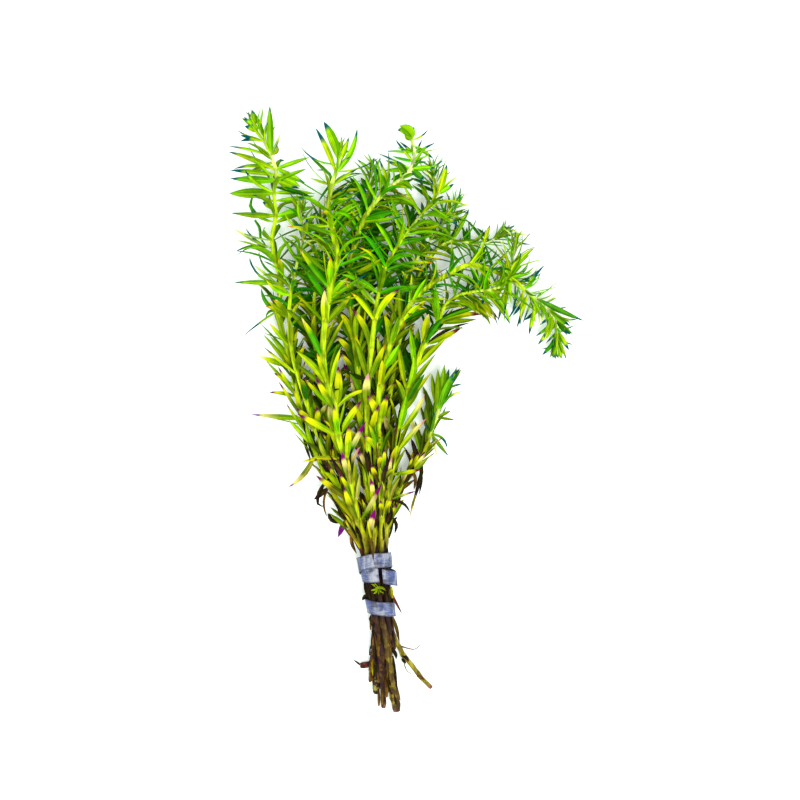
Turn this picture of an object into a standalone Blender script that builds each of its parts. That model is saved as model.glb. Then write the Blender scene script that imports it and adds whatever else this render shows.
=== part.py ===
"""A tied bunch of an aquatic stem plant, cut and laid flat on a surface.

Twelve leafy stems run from their growing tips through two soft metal strips to their cut ends.
Each stem is one solid: a square stem, as this plant family has, with a whorl of leaves at its nodes.
The bunch lies along Y with its growing tips at +Y, and the surface is at Z = 0.
"""

import math
import random
from dataclasses import dataclass, field

import bmesh
import bpy
import numpy as np
from mathutils import Matrix, Vector

MM = 0.001
UP = Vector((0.0, 0.0, 1.0))

# The bunch's middle, taken off every place so that the origin is below the middle of its box
MIDDLE = Vector((-0.4, 0.38, 0.0))

# The tie: the axis of the bundle from the upper strip's top edge to the lower strip's bottom edge
TIE_TOP = Vector((-11.6, -49.0, 6.5))
TIE_FOOT = Vector((-8.8, -73.0, 5.45))
TOP_RING = 4.1
FOOT_RING = 3.1
INNER_SHARE = 0.4
TIE_RADIUS = 0.85

# Stems
STEM_GAP = 0.35
ROUTE_STEP = 2.4
TIP_RADIUS = 0.4
TIP_POINT = 1.5
RING_HEIGHT = 1.1
BARE_STEP = 9.0
THICKENS_AT = (0.0, 14.0, 50.0)
YOUNG_SHARE = 0.7
ENTRY_POINTS = 4
PARTING_ROUNDS = 160
PARTING_SHARE = (0.35, 0.35, 0.6)
NEAREST_AXES = 0.05
LEVEL_CROSSING = 0.1
SURFACE_GAP = 0.1
LOOK_AHEAD = 0.7
STEM_SPHERE_STEPS = (0.0, 0.25, 0.5, 0.75)

# Leaves, by their distance from the growing tip
FROM_TIP = (0.0, 8.0, 20.0, 45.0, 75.0, 110.0)
LEAF_LENGTH = (7.5, 11.0, 14.5, 15.5, 14.5, 14.0)
LEAF_WIDTH = (0.8, 1.0, 1.4, 2.0, 2.35, 2.4)
LEAF_PITCH = (22.0, 48.0, 72.0, 66.0, 42.0, 33.0)
WHORL_STEP = (3.0, 4.5, 6.5, 9.0, 11.0, 11.0)
LEAVES_IN_WHORL = 4
WHORL_CATCH = 3.6
LEAF_THICKNESS = 0.6
NEEDLE_WIDTH = 1.3
WIDEST_AT = 0.45
LEAF_GAP = 0.25
BLADE_RADIUS = 0.45
FOOT_REACH = 3.2
BARE_BELOW = -44.0
OLD_ZONE = 34.0
TRIES = 14
ROOTED_AT = 0.8
FIRST_WHORL = 0.6
SAME_NODE = 0.3
BEND = (2.0, 12.0)
LENGTH_SPREAD = (0.9, 1.1)
WIDTH_SPREAD = (0.92, 1.08)
TURN_SPREAD = 4.0
SPREAD_GROWTH = 2.2
LENGTH_LOSS = 0.02
LEAST_PITCH = 12.0
OLD_SHORTER = 0.3
OLD_NARROWER = 0.2
OLD_FLATTER = 8.0
WHORL_TURN = 45.0
WHORL_SWAY = 12.0
LIFT_TRIES = 24
LIFT_STEP = 0.7
LEAST_OUTWARD = 2.0
UPRIGHT_SHARE = 2.5
TURNED_TO_LIGHT = 0.6
LEAST_LEVEL = 0.2
WRONG_WAY = -0.25
SPHERE_STEP = 0.9
SPHERE_SPREAD = 0.75
FOOT_BREADTH = 0.5
TIP_BREADTH = 0.1
ONE_SPHERE_WIDE = 0.5

# Plain colours: the leaves' green and the strips' grey
LEAF_GREEN = (0.36, 0.55, 0.03)
LEAF_ROUGHNESS = 0.5
STRIP_GREY = (0.45, 0.5, 0.6)
STRIP_ROUGHNESS = 0.42
STRIP_METALLIC = 0.9


@dataclass(frozen=True)
class Known:
    """A leaf whose root and tip are known, seen from above, in millimetres."""

    root: tuple
    tip: tuple
    width: float
    bow: float = 0.0
    rise: float = 0.0


@dataclass(frozen=True)
class StemPlan:
    """Where one stem runs, from its growing tip down to its cut end, in millimetres."""

    name: str
    tie_angle: float
    outer: bool
    girth: float
    foot_girth: float
    nodes: tuple
    foot: tuple
    known: tuple = ()
    leafage: float = 1.0


@dataclass
class Stem:
    """A stem's smooth route and what grows on it."""

    plan: StemPlan
    points: np.ndarray
    radii: np.ndarray
    held: np.ndarray
    nodes: list
    leaves: list = field(default_factory=list)


@dataclass(frozen=True)
class Leaf:
    """One leaf: its start at the stem, its widest place and its tip."""

    index: float
    start: Vector
    outward: Vector
    middle: Vector
    tip: Vector
    side: Vector
    width: float
    needle: bool


FRONT_LEAVES = (
    Known((-24.0, 86.0), (-29.3, 101.0), 2.6),
    Known((-24.5, 84.0), (-32.1, 98.9), 1.4),
    Known((-24.5, 84.0), (-17.2, 98.9), 1.4, -0.1),
    Known((-25.6, 80.5), (-37.5, 92.6), 1.4, -0.15),
    Known((-24.3, 85.0), (-20.4, 95.6), 1.8),
    Known((-26.8, 43.2), (-26.7, 53.6), 2.6),
    Known((-27.1, 37.1), (-20.5, 46.4), 2.8),
    Known((-28.6, 31.0), (-28.6, 41.8), 2.5),
    Known((-28.8, 27.5), (-38.6, 40.3), 2.3),
    Known((-28.8, 27.5), (-19.1, 40.3), 2.2),
    Known((-29.2, 19.0), (-36.8, 32.4), 2.0),
    Known((-29.0, 20.0), (-21.6, 33.0), 2.2),
    Known((-25.4, 0.9), (-23.9, 15.6), 2.6),
    Known((-25.6, 0.9), (-36.1, 11.6), 2.2),
    Known((-25.0, 0.9), (-12.3, 7.0), 1.9, 0.1),
    Known((-24.2, -8.5), (-27.1, 3.2), 2.9),
    Known((-24.3, -9.0), (-38.2, -1.2), 2.2),
    Known((-23.7, -8.4), (-15.5, 3.7), 2.3),
    Known((-21.8, -16.6), (-14.4, -3.5), 2.0),
    Known((-21.9, -16.8), (-36.5, -18.2), 1.8, 0.08),
    Known((-18.8, -30.0), (-24.3, -17.3), 2.4),
    Known((-19.0, -31.5), (-31.9, -22.6), 2.5),
    Known((-17.0, -38.5), (-28.1, -27.3), 2.5),
    Known((-16.5, -39.0), (-22.0, -26.2), 2.3),
    Known((-16.4, -38.5), (-8.1, -24.8), 2.2),
    Known((-14.4, -45.0), (-10.9, -34.1), 2.4),
)
ARCH_LEAVES = (
    Known((46.8, 38.3), (62.3, 30.9), 2.0, 0.06),
    Known((48.3, 37.0), (56.3, 36.4), 0.8),
    Known((43.0, 41.2), (48.4, 51.1), 1.0),
    Known((40.0, 43.0), (45.5, 46.8), 1.2),
    Known((33.5, 47.0), (31.5, 31.0), 1.6),
    Known((28.0, 49.5), (26.2, 35.8), 1.4),
    Known((37.5, 44.8), (34.0, 32.4), 1.3),
    Known((41.5, 41.9), (39.3, 29.4), 1.4),
    Known((45.5, 39.0), (42.9, 26.2), 1.8),
    Known((51.8, 32.0), (45.6, 23.0), 1.8),
    Known((52.5, 24.0), (47.3, 19.4), 1.2),
    Known((52.5, 24.0), (54.2, 18.1), 1.8),
    Known((52.6, 25.0), (58.3, 23.2), 1.2),
    Known((52.6, 28.0), (58.6, 29.7), 1.2),
)
INNER_RIGHT_LEAVES = (
    Known((-6.6, -64.2), (-1.8, -71.6), 1.3, 0.12, -0.4),
    Known((35.8, 48.0), (44.3, 56.9), 2.0, 0.1),
    Known((10.9, 31.0), (26.4, 33.7), 2.7, 0.05),
    Known((10.5, 30.5), (8.5, 41.5), 2.4),
    Known((6.0, 23.4), (22.3, 30.5), 1.3, 0.08),
    Known((5.8, 23.2), (19.6, 29.4), 2.3, -0.03, -2.0),
    Known((5.6, 23.2), (7.7, 34.0), 2.8),
    Known((3.0, 15.5), (14.4, 25.5), 2.3),
    Known((2.9, 15.6), (3.6, 28.4), 2.9),
    Known((0.7, 7.8), (10.5, 19.8), 2.1),
    Known((0.6, 7.8), (-3.0, 23.3), 2.2),
    Known((-0.6, 2.8), (9.0, 13.6), 2.3),
    Known((-2.6, -6.0), (6.0, 6.0), 2.0, -0.06),
    Known((-4.0, -13.5), (7.1, -2.9), 1.9),
    Known((-5.6, -22.8), (5.4, -20.6), 1.6),
    Known((-6.2, -28.5), (3.2, -28.2), 1.5),
    Known((-6.3, -29.5), (1.2, -36.0), 1.2, 0.15),
)
FAR_LEFT_LEAVES = (
    Known((-52.2, 99.0), (-54.6, 105.8), 1.6),
    Known((-51.8, 98.2), (-57.6, 102.2), 1.2, 0.15),
    Known((-48.8, 91.5), (-48.3, 107.0), 2.6, -0.06),
    Known((-48.0, 90.0), (-62.8, 92.4), 1.2, 0.05),
    Known((-47.0, 87.5), (-63.1, 90.4), 2.0, 0.04),
    Known((-46.6, 86.5), (-60.8, 84.4), 1.6, 0.1),
    Known((-46.2, 80.5), (-62.3, 81.4), 2.4),
    Known((-46.6, 75.4), (-62.5, 75.8), 2.9),
    Known((-45.9, 67.4), (-62.1, 69.5), 2.3),
    Known((-47.2, 58.5), (-61.8, 64.2), 1.8),
    Known((-46.6, 54.5), (-60.8, 55.5), 1.8, 0.1),
    Known((-45.2, 48.0), (-55.4, 54.8), 1.5, -0.22),
    Known((-44.2, 43.8), (-61.1, 44.6), 2.7),
    Known((-44.9, 36.0), (-50.9, 42.9), 1.8, -0.15),
    Known((-44.6, 33.0), (-57.9, 25.3), 1.1),
    Known((-42.5, 21.5), (-50.6, 27.2), 1.9),
    Known((-40.2, 13.5), (-52.0, 19.0), 2.3),
    Known((-39.2, 8.5), (-46.9, 13.1), 1.2),
    Known((-37.0, 1.5), (-48.5, 6.5), 2.0),
    Known((-36.0, -2.5), (-54.7, -1.6), 1.9),
    Known((-45.8, 83.5), (-33.7, 88.6), 1.7),
    Known((-45.8, 84.5), (-35.6, 79.6), 1.5),
    Known((-46.5, 76.6), (-31.9, 75.8), 1.6),
    Known((-45.6, 71.6), (-31.9, 71.8), 2.4),
    Known((-33.5, -10.5), (-37.0, -3.0), 1.3),
    Known((-30.8, -17.5), (-41.7, -27.1), 1.9, -0.05),
    Known((-26.0, -28.2), (-32.6, -31.3), 1.8),
    Known((-26.8, -26.8), (-27.6, -37.5), 2.4, 0.15),
    Known((-21.5, -37.5), (-24.3, -44.6), 1.5),
)
MIDDLE_RIGHT_LEAVES = (
    Known((10.8, 78.5), (14.0, 86.2), 2.2),
    Known((10.6, 75.8), (16.5, 79.5), 1.6),
)
LEFT_LEAVES = (
    Known((-38.2, 52.0), (-45.0, 62.0), 1.8),
    Known((-40.5, 22.0), (-48.0, 30.5), 1.8),
)
LOW_RIGHT_LEAVES = (
    Known((11.5, 1.0), (13.4, 16.4), 2.6, -0.05),
    Known((15.6, 9.8), (17.6, 13.9), 1.6),
    Known((14.8, 8.4), (19.2, 9.3), 1.0),
    Known((12.3, 3.3), (19.8, 6.7), 1.0, 0.1),
    Known((9.9, -3.2), (15.6, -0.2), 1.4),
    Known((9.8, -3.6), (16.8, -3.4), 1.4),
    Known((8.9, -6.2), (14.3, -13.8), 1.1, 0.18),
    Known((7.4, -10.2), (14.5, -16.3), 1.6),
    Known((6.6, -12.5), (0.8, -1.5), 2.0),
)
CENTRE_LEAVES = (
    Known((0.9, 96.4), (-3.4, 98.2), 3.0, 0.2),
    Known((1.6, 94.6), (7.6, 98.5), 0.9, -0.1),
    Known((2.5, 91.5), (10.0, 93.7), 0.9),
    Known((2.6, 90.8), (12.9, 92.1), 0.8),
    Known((2.4, 87.0), (12.9, 87.9), 1.2, -0.1),
    Known((2.5, 90.6), (-7.5, 90.8), 1.3),
    Known((2.3, 87.8), (-10.6, 90.0), 1.0),
    Known((1.4, 84.6), (-7.4, 87.7), 1.4),
    Known((-5.0, 78.4), (-9.6, 87.6), 1.4),
)
RIGHT_LEAVES = (
    Known((25.0, 58.4), (29.0, 65.2), 1.5),
    Known((31.5, 60.8), (44.0, 58.6), 1.0, -0.1),
    Known((16.8, 59.5), (21.7, 70.8), 1.9),
    Known((33.5, 62.0), (42.2, 62.3), 0.8),
)
UPPER_RIGHT_LEAVES = (
    Known((16.4, 71.0), (18.9, 75.0), 1.2),
    Known((17.0, 71.8), (21.9, 72.5), 0.9),
    Known((14.8, 68.6), (19.0, 67.0), 1.4),
)
BACK_LEAVES = (
    Known((-12.2, 84.0), (-9.2, 88.6), 1.2),
    Known((-12.4, 83.0), (-17.5, 88.0), 1.5),
)

PLANS = (
    StemPlan(
        name="stem_front", tie_angle=128.0, outer=True, girth=1.05, foot_girth=1.55,
        nodes=((-23.0, 92.0, 10.0), (-23.4, 88.0, 11.0), (-24.6, 83.5, 12.0), (-26.3, 78.5, 12.5),
               (-27.3, 69.5, 13.5), (-25.9, 62.5, 14.5), (-24.2, 53.4, 16.0), (-26.6, 42.9, 17.0),
               (-28.4, 31.0, 17.5), (-29.2, 19.1, 18.0), (-27.7, 9.8, 18.0), (-25.0, 0.9, 17.5),
               (-24.0, -8.6, 17.0), (-21.5, -16.8, 16.0), (-20.1, -24.2, 14.5), (-18.4, -31.5, 13.0),
               (-17.0, -38.7, 11.5), (-14.8, -45.0, 10.6)),
        foot=((-9.2, -80.3, 6.4), (-8.4, -89.1, 4.4), (-8.0, -97.8, 2.8), (-8.2, -104.6, 1.8)),
        known=FRONT_LEAVES,
    ),
    StemPlan(
        name="stem_arching", tie_angle=48.0, outer=True, girth=0.95, foot_girth=0.9,
        nodes=((52.5, 22.6, 4.5), (52.9, 27.5, 5.0), (52.2, 31.3, 5.5), (49.7, 35.2, 6.0),
               (45.9, 38.7, 6.5), (41.0, 42.2, 7.5), (35.7, 46.0, 8.5), (29.1, 49.2, 10.0),
               (22.1, 50.9, 11.5), (15.1, 48.1, 12.5), (8.4, 43.9, 13.5), (2.1, 38.3, 14.0),
               (-1.8, 31.7, 14.5), (-5.6, 23.3, 15.0), (-8.0, 15.2, 15.5), (-9.5, 8.6, 16.0),
               (-9.6, -3.7, 16.0), (-9.5, -15.2, 15.0), (-9.1, -25.7, 13.5), (-8.8, -37.5, 11.5)),
        foot=((-6.8, -79.0, 6.8), (-6.5, -86.0, 5.0)),
        known=ARCH_LEAVES,
    ),
    StemPlan(
        name="stem_inner_right", tie_angle=8.0, outer=True, girth=0.95, foot_girth=0.95,
        nodes=((37.8, 57.9, 11.0), (37.3, 54.8, 11.0), (36.8, 51.0, 11.5), (36.0, 46.7, 12.5),
               (32.6, 43.2, 12.5), (27.0, 42.0, 11.5), (21.4, 41.2, 10.5), (16.8, 39.7, 10.0),
               (13.3, 36.6, 10.0), (10.9, 31.0, 10.0), (6.2, 23.6, 10.0), (3.0, 15.6, 10.0),
               (0.4, 7.5, 10.0), (-2.8, -6.8, 10.5), (-4.2, -14.5, 10.5), (-5.6, -22.2, 10.0),
               (-6.7, -31.3, 9.0), (-7.3, -40.1, 8.0)),
        foot=((-4.9, -79.6, 4.8), (-3.2, -82.8, 4.0), (-0.7, -87.0, 3.0), (1.4, -89.4, 2.6),
              (4.9, -94.0, 1.8), (8.7, -97.7, 1.2)),
        known=INNER_RIGHT_LEAVES,
    ),
    StemPlan(
        name="stem_far_left", tie_angle=208.0, outer=True, girth=1.0, foot_girth=1.1,
        nodes=((-52.8, 100.6, 6.0), (-51.8, 97.9, 6.0), (-50.2, 94.6, 6.2), (-47.9, 89.5, 6.5),
               (-46.0, 84.6, 7.0), (-46.6, 76.1, 7.5), (-46.0, 68.1, 7.5), (-47.3, 59.7, 7.0),
               (-45.9, 52.0, 7.0), (-44.1, 44.6, 7.0), (-44.8, 34.8, 6.5), (-42.8, 24.7, 6.5),
               (-40.8, 15.6, 6.0), (-38.2, 5.1, 6.0), (-35.6, -5.1, 6.0), (-31.8, -15.6, 6.0),
               (-26.8, -26.8, 6.0), (-21.0, -38.5, 5.8),
               (-17.7, -45.4, 5.4)),
        foot=((-11.0, -80.0, 2.8), (-11.4, -85.0, 2.2), (-12.6, -89.2, 1.8), (-16.5, -89.8, 1.5)),
        known=FAR_LEFT_LEAVES,
    ),
    StemPlan(
        name="stem_middle_right", tie_angle=88.0, outer=True, girth=0.95, foot_girth=1.6,
        nodes=((9.4, 84.0, 7.0), (10.2, 80.5, 8.0), (10.9, 75.8, 9.0), (8.4, 71.6, 10.5),
               (4.9, 68.1, 12.0), (0.4, 62.5, 14.0), (-3.5, 56.9, 15.5), (-7.4, 49.9, 16.5),
               (-9.8, 41.1, 17.0), (-11.2, 31.7, 16.5), (-12.4, 21.9, 16.0), (-13.4, 11.4, 15.5),
               (-13.9, 0.9, 15.0), (-13.6, -10.3, 14.5), (-12.8, -22.6, 13.0), (-11.6, -35.5, 11.5)),
        foot=((-7.6, -79.0, 7.2), (-6.8, -84.0, 5.6), (-6.1, -92.9, 3.6), (-5.3, -97.1, 3.0),
              (-3.4, -105.9, 2.1)),
        known=MIDDLE_RIGHT_LEAVES,
    ),
    StemPlan(
        name="stem_left", tie_angle=168.0, outer=True, girth=0.95, foot_girth=0.7,
        nodes=((-37.5, 71.6, 11.0), (-36.8, 66.0, 11.5), (-36.4, 59.7, 12.0), (-38.2, 52.0, 12.0),
               (-40.3, 42.2, 12.0), (-41.3, 32.4, 12.0), (-40.6, 22.6, 11.5), (-38.5, 13.5, 11.0),
               (-35.4, 3.7, 10.5), (-31.9, -6.8, 10.0), (-27.7, -17.3, 9.0), (-23.5, -27.8, 8.5),
               (-19.2, -38.5, 8.0), (-16.8, -45.0, 7.8)),
        foot=((-11.6, -81.4, 5.0), (-12.3, -87.7, 3.6), (-12.9, -93.1, 2.2), (-13.1, -95.6, 1.6)),
        known=LEFT_LEAVES,
    ),
    StemPlan(
        name="stem_low_right", tie_angle=328.0, outer=True, girth=0.9, foot_girth=0.9,
        nodes=((16.8, 12.1, 5.0), (15.8, 10.0, 5.2), (14.7, 8.2, 5.5), (12.3, 3.3, 6.0),
               (10.2, -2.3, 6.0), (8.1, -8.2, 6.0), (5.3, -15.9, 6.0), (1.1, -21.5, 6.0),
               (-2.9, -27.8, 6.0), (-5.3, -36.8, 5.5)),
        foot=((-5.9, -80.3, 2.8),),
        known=LOW_RIGHT_LEAVES,
        leafage=0.75,
    ),
    StemPlan(
        name="stem_centre", tie_angle=150.0, outer=False, girth=0.95, foot_girth=1.2,
        nodes=((0.6, 97.6, 8.0), (1.6, 94.6, 8.5), (2.6, 90.0, 9.5), (1.3, 84.4, 11.0),
               (-5.7, 77.9, 13.0), (-9.2, 74.7, 14.0), (-14.6, 67.2, 14.0), (-18.2, 57.6, 13.0),
               (-20.3, 47.4, 12.0), (-19.6, 35.9, 12.0), (-18.4, 24.7, 12.0), (-17.2, 14.9, 11.5),
               (-16.5, 5.1, 11.0), (-15.8, -5.4, 10.5), (-15.1, -15.9, 10.0), (-14.0, -27.8, 8.5),
               (-12.8, -39.5, 7.4)),
        foot=((-9.7, -82.0, 4.2), (-10.2, -90.1, 2.8), (-10.3, -99.8, 1.4)),
        known=CENTRE_LEAVES,
    ),
    StemPlan(
        name="stem_left_inner", tie_angle=248.0, outer=True, girth=0.95, foot_girth=0.9,
        nodes=((-29.8, 68.4, 7.0), (-30.5, 61.4, 7.5), (-31.2, 52.0, 8.0), (-32.2, 42.2, 8.0),
               (-32.6, 32.4, 8.0), (-31.9, 22.6, 8.0), (-30.5, 12.8, 7.5), (-28.7, 3.0, 7.0),
               (-27.0, -6.8, 6.5), (-24.5, -17.3, 6.0), (-21.2, -27.8, 5.0), (-17.0, -38.8, 4.2)),
        foot=((-9.6, -84.0, 1.8),),
    ),
    StemPlan(
        name="stem_upper_right", tie_angle=30.0, outer=False, girth=0.9, foot_girth=0.9,
        nodes=((17.5, 72.6, 6.0), (15.1, 69.1, 7.2), (12.3, 65.3, 8.5), (8.8, 60.4, 9.5),
               (4.9, 55.1, 9.5), (1.1, 49.2, 9.0), (-2.5, 42.2, 9.0), (-4.6, 33.8, 9.0),
               (-7.0, 25.5, 9.0), (-8.8, 16.0, 9.0), (-10.0, 6.0, 9.0), (-10.6, -4.5, 9.0),
               (-11.0, -15.0, 9.0), (-10.9, -26.5, 8.2), (-10.3, -38.5, 7.2)),
        foot=((-8.2, -82.5, 4.8),),
        known=UPPER_RIGHT_LEAVES,
    ),
    StemPlan(
        name="stem_right", tie_angle=288.0, outer=True, girth=0.9, foot_girth=0.9,
        nodes=((34.0, 62.5, 5.0), (30.5, 60.0, 5.5), (27.0, 58.3, 6.0), (21.4, 58.8, 6.5),
               (16.1, 59.6, 7.0), (11.6, 57.5, 7.0), (7.4, 53.2, 6.0), (3.9, 46.9, 5.0),
               (1.0, 38.5, 4.5), (-1.5, 29.5, 4.5), (-3.8, 19.5, 4.5), (-5.5, 9.0, 4.5),
               (-6.8, -2.0, 4.5), (-7.6, -13.0, 4.5), (-8.2, -25.0, 4.5), (-8.4, -38.0, 4.0)),
        foot=((-7.4, -79.5, 2.0),),
        known=RIGHT_LEAVES,
    ),
    StemPlan(
        name="stem_back", tie_angle=270.0, outer=False, girth=0.9, foot_girth=0.9,
        nodes=((-11.9, 86.6, 8.0), (-12.6, 81.4, 8.0), (-13.7, 75.1, 8.0), (-15.0, 68.4, 7.5),
               (-15.4, 60.0, 7.0), (-14.4, 51.5, 6.5), (-15.1, 42.5, 6.0), (-15.8, 33.0, 6.0),
               (-15.4, 23.5, 6.0), (-14.4, 13.8, 5.5), (-13.7, 4.0, 5.5), (-13.3, -6.8, 5.0),
               (-13.0, -17.3, 5.0), (-12.6, -28.5, 4.2), (-11.8, -39.5, 4.0)),
        foot=((-8.8, -86.5, 2.2),),
        known=BACK_LEAVES,
    ),
)


def tie_places(plan: StemPlan) -> list:
    """Give the three places where a stem passes through the tie.

    Args:
        plan: The stem's plan.

    Returns:
        Points at the tie's top, middle and foot.
    """
    angle = math.radians(plan.tie_angle)
    across = Vector((math.cos(angle), 0.0, math.sin(angle)))
    places = []
    for share in (0.0, 0.5, 1.0):
        ring = TOP_RING + share * (FOOT_RING - TOP_RING)
        if not plan.outer:
            ring *= INNER_SHARE
        places.append(TIE_TOP.lerp(TIE_FOOT, share) + across * ring)
    return places


def smooth_route(corners: list) -> tuple:
    """Lay a smooth curve through a list of places.

    Args:
        corners: Places that the curve passes through.

    Returns:
        The curve's points as an array, and the point number of each corner.
    """
    places = np.array([tuple(corner) for corner in corners])
    chords = np.linalg.norm(np.diff(places, axis=0), axis=1)
    slopes = np.diff(places, axis=0) / chords[:, None]
    tangents = np.empty_like(places)
    tangents[0] = slopes[0]
    tangents[-1] = slopes[-1]
    before = chords[:-1, None]
    after = chords[1:, None]
    tangents[1:-1] = (slopes[1:] * before + slopes[:-1] * after) / (before + after)
    points = [places[0]]
    numbers = [0]
    for i, chord in enumerate(chords):
        count = max(1, round(chord / ROUTE_STEP))
        for k in range(1, count + 1):
            t = k / count
            start = (2 * t**3 - 3 * t**2 + 1) * places[i]
            leave = (t**3 - 2 * t**2 + t) * chord * tangents[i]
            end = (3 * t**2 - 2 * t**3) * places[i + 1]
            arrive = (t**3 - t**2) * chord * tangents[i + 1]
            points.append(start + leave + end + arrive)
        numbers.append(len(points) - 1)
    return np.array(points), numbers


def lay_stem(plan: StemPlan) -> Stem:
    """Lay one stem's route from its growing tip to its cut end.

    Args:
        plan: The stem's plan.

    Returns:
        The stem with its points, its thickness at each and the numbers of its nodes.
    """
    tie = tie_places(plan)
    corners = list(plan.nodes) + tie + list(plan.foot)
    points, numbers = smooth_route(corners)
    first = numbers[len(plan.nodes)]
    last = numbers[len(plan.nodes) + 2]
    count = len(points)
    arc = arc_lengths(points)
    radii = np.interp(arc, THICKENS_AT, (TIP_RADIUS, YOUNG_SHARE * plan.girth, plan.girth))
    stages = (first - ENTRY_POINTS, first, last, count - 1)
    foot = np.interp(np.arange(count), stages, (0.0, 1.0, 1.0, 2.0))
    in_tie = np.clip(foot, 0.0, 1.0)
    below = np.clip(foot - 1.0, 0.0, 1.0)
    radii = radii * (1.0 - in_tie) + TIE_RADIUS * in_tie
    radii = radii * (1.0 - below) + plan.foot_girth * below
    held = np.zeros(count, dtype=bool)
    held[first:last + 1] = True
    return Stem(plan, points, radii, held, numbers[:len(plan.nodes)])


def arc_lengths(points: np.ndarray) -> np.ndarray:
    """Give each point's distance along the route from its first point.

    Args:
        points: The route's points.

    Returns:
        The distances.
    """
    steps = np.linalg.norm(np.diff(points, axis=0), axis=1)
    return np.concatenate(([0.0], np.cumsum(steps)))


def part_stems(stems: list) -> None:
    """Move crossing stems apart, mostly up and down, and keep them above the surface.

    Args:
        stems: All the stems, whose points are changed.
    """
    share = np.array(PARTING_SHARE)
    start = np.concatenate([stem.points for stem in stems])
    radii = np.concatenate([stem.radii for stem in stems])
    held = np.concatenate([stem.held for stem in stems])
    owner = np.concatenate([np.full(len(stem.points), i) for i, stem in enumerate(stems)])
    needed = radii[:, None] + radii[None, :] + STEM_GAP
    others = owner[:, None] < owner[None, :]
    shift = np.zeros_like(start)
    for _ in range(PARTING_ROUNDS):
        places = start + shift
        squares = (places**2).sum(axis=1)
        apart = squares[:, None] + squares[None, :] - 2.0 * places @ places.T
        close = others & (apart < needed**2)
        first, second = np.nonzero(close)
        between = places[first] - places[second]
        length = np.maximum(np.linalg.norm(between, axis=1), NEAREST_AXES)
        lack = (needed[first, second] - length) / length
        push = between * lack[:, None] * share
        level = np.abs(between[:, 2]) < LEVEL_CROSSING
        push[level, 2] += LEVEL_CROSSING
        np.add.at(shift, first, push)
        np.add.at(shift, second, -push)
        shift = smooth_shift(shift, owner)
        low = start[:, 2] + shift[:, 2] < radii + SURFACE_GAP
        shift[low, 2] = (radii + SURFACE_GAP - start[:, 2])[low]
        shift[held] = 0.0
    places = start + shift
    for i, stem in enumerate(stems):
        stem.points = places[owner == i]


def smooth_shift(shift: np.ndarray, owner: np.ndarray) -> np.ndarray:
    """Even out how far neighbouring points of one stem move.

    Args:
        shift: How far each point has moved.
        owner: The stem number of each point.

    Returns:
        The smoothed moves.
    """
    smooth = shift.copy()
    same = (owner[:-2] == owner[2:])[:, None]
    average = 0.25 * shift[:-2] + 0.5 * shift[1:-1] + 0.25 * shift[2:]
    smooth[1:-1] = np.where(same, average, shift[1:-1])
    return smooth


def place_at(stem: Stem, index: float) -> Vector:
    """Give the place on a stem's axis at a point number that may lie between two points."""
    low = min(int(index), len(stem.points) - 2)
    share = index - low
    return Vector(stem.points[low]).lerp(Vector(stem.points[low + 1]), share)


def along_at(stem: Stem, index: float) -> Vector:
    """Give the unit direction towards the growing tip at a point number."""
    last = len(stem.points) - 1
    ahead = place_at(stem, max(index - LOOK_AHEAD, 0.0))
    behind = place_at(stem, min(index + LOOK_AHEAD, last))
    return (ahead - behind).normalized()


def radius_at(stem: Stem, index: float) -> float:
    """Give a stem's corner radius at a point number."""
    return float(np.interp(index, np.arange(len(stem.radii)), stem.radii))


class Crowd:
    """All that already stands somewhere, as small spheres, each with the number of its stem."""

    def __init__(self) -> None:
        """Start with nothing."""
        self.places = np.empty((0, 3))
        self.radii = np.empty(0)
        self.owners = np.empty(0, dtype=int)

    def add(self, places: np.ndarray, radii: np.ndarray, owner: int) -> None:
        """Add spheres.

        Args:
            places: Their centres.
            radii: Their radii.
            owner: The number of the stem that they belong to.
        """
        self.places = np.concatenate((self.places, places))
        self.radii = np.concatenate((self.radii, radii))
        self.owners = np.concatenate((self.owners, np.full(len(places), owner)))

    def is_clear(self, places: np.ndarray, radius: float, allowed: int | None) -> bool:
        """Tell whether spheres of one radius keep the leaf gap to all that stands there.

        Args:
            places: Their centres.
            radius: Their radius.
            allowed: The number of a stem that they may touch, or None.

        Returns:
            True where nothing is too near.
        """
        reach = radius + LEAF_GAP + float(self.radii.max())
        low = places.min(axis=0) - reach
        high = places.max(axis=0) + reach
        near = np.all((self.places > low) & (self.places < high), axis=1)
        if allowed is not None:
            near &= self.owners != allowed
        if not near.any():
            return True
        offsets = places[:, None, :] - self.places[near][None, :, :]
        distances = np.sqrt((offsets**2).sum(axis=2))
        return bool((distances - self.radii[near][None, :] - radius > LEAF_GAP).all())

    def has_room(self, leaf: Leaf, owner: int) -> bool:
        """Tell whether a leaf is clear of all others, and its foot of all but its own stem."""
        foot, blade = blade_points(leaf)
        return self.is_clear(blade, BLADE_RADIUS, None) and self.is_clear(foot, BLADE_RADIUS, owner)

    def add_leaf(self, leaf: Leaf, owner: int) -> None:
        """Add a leaf's foot and blade."""
        for points in blade_points(leaf):
            self.add(points, np.full(len(points), BLADE_RADIUS), owner)


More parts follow.
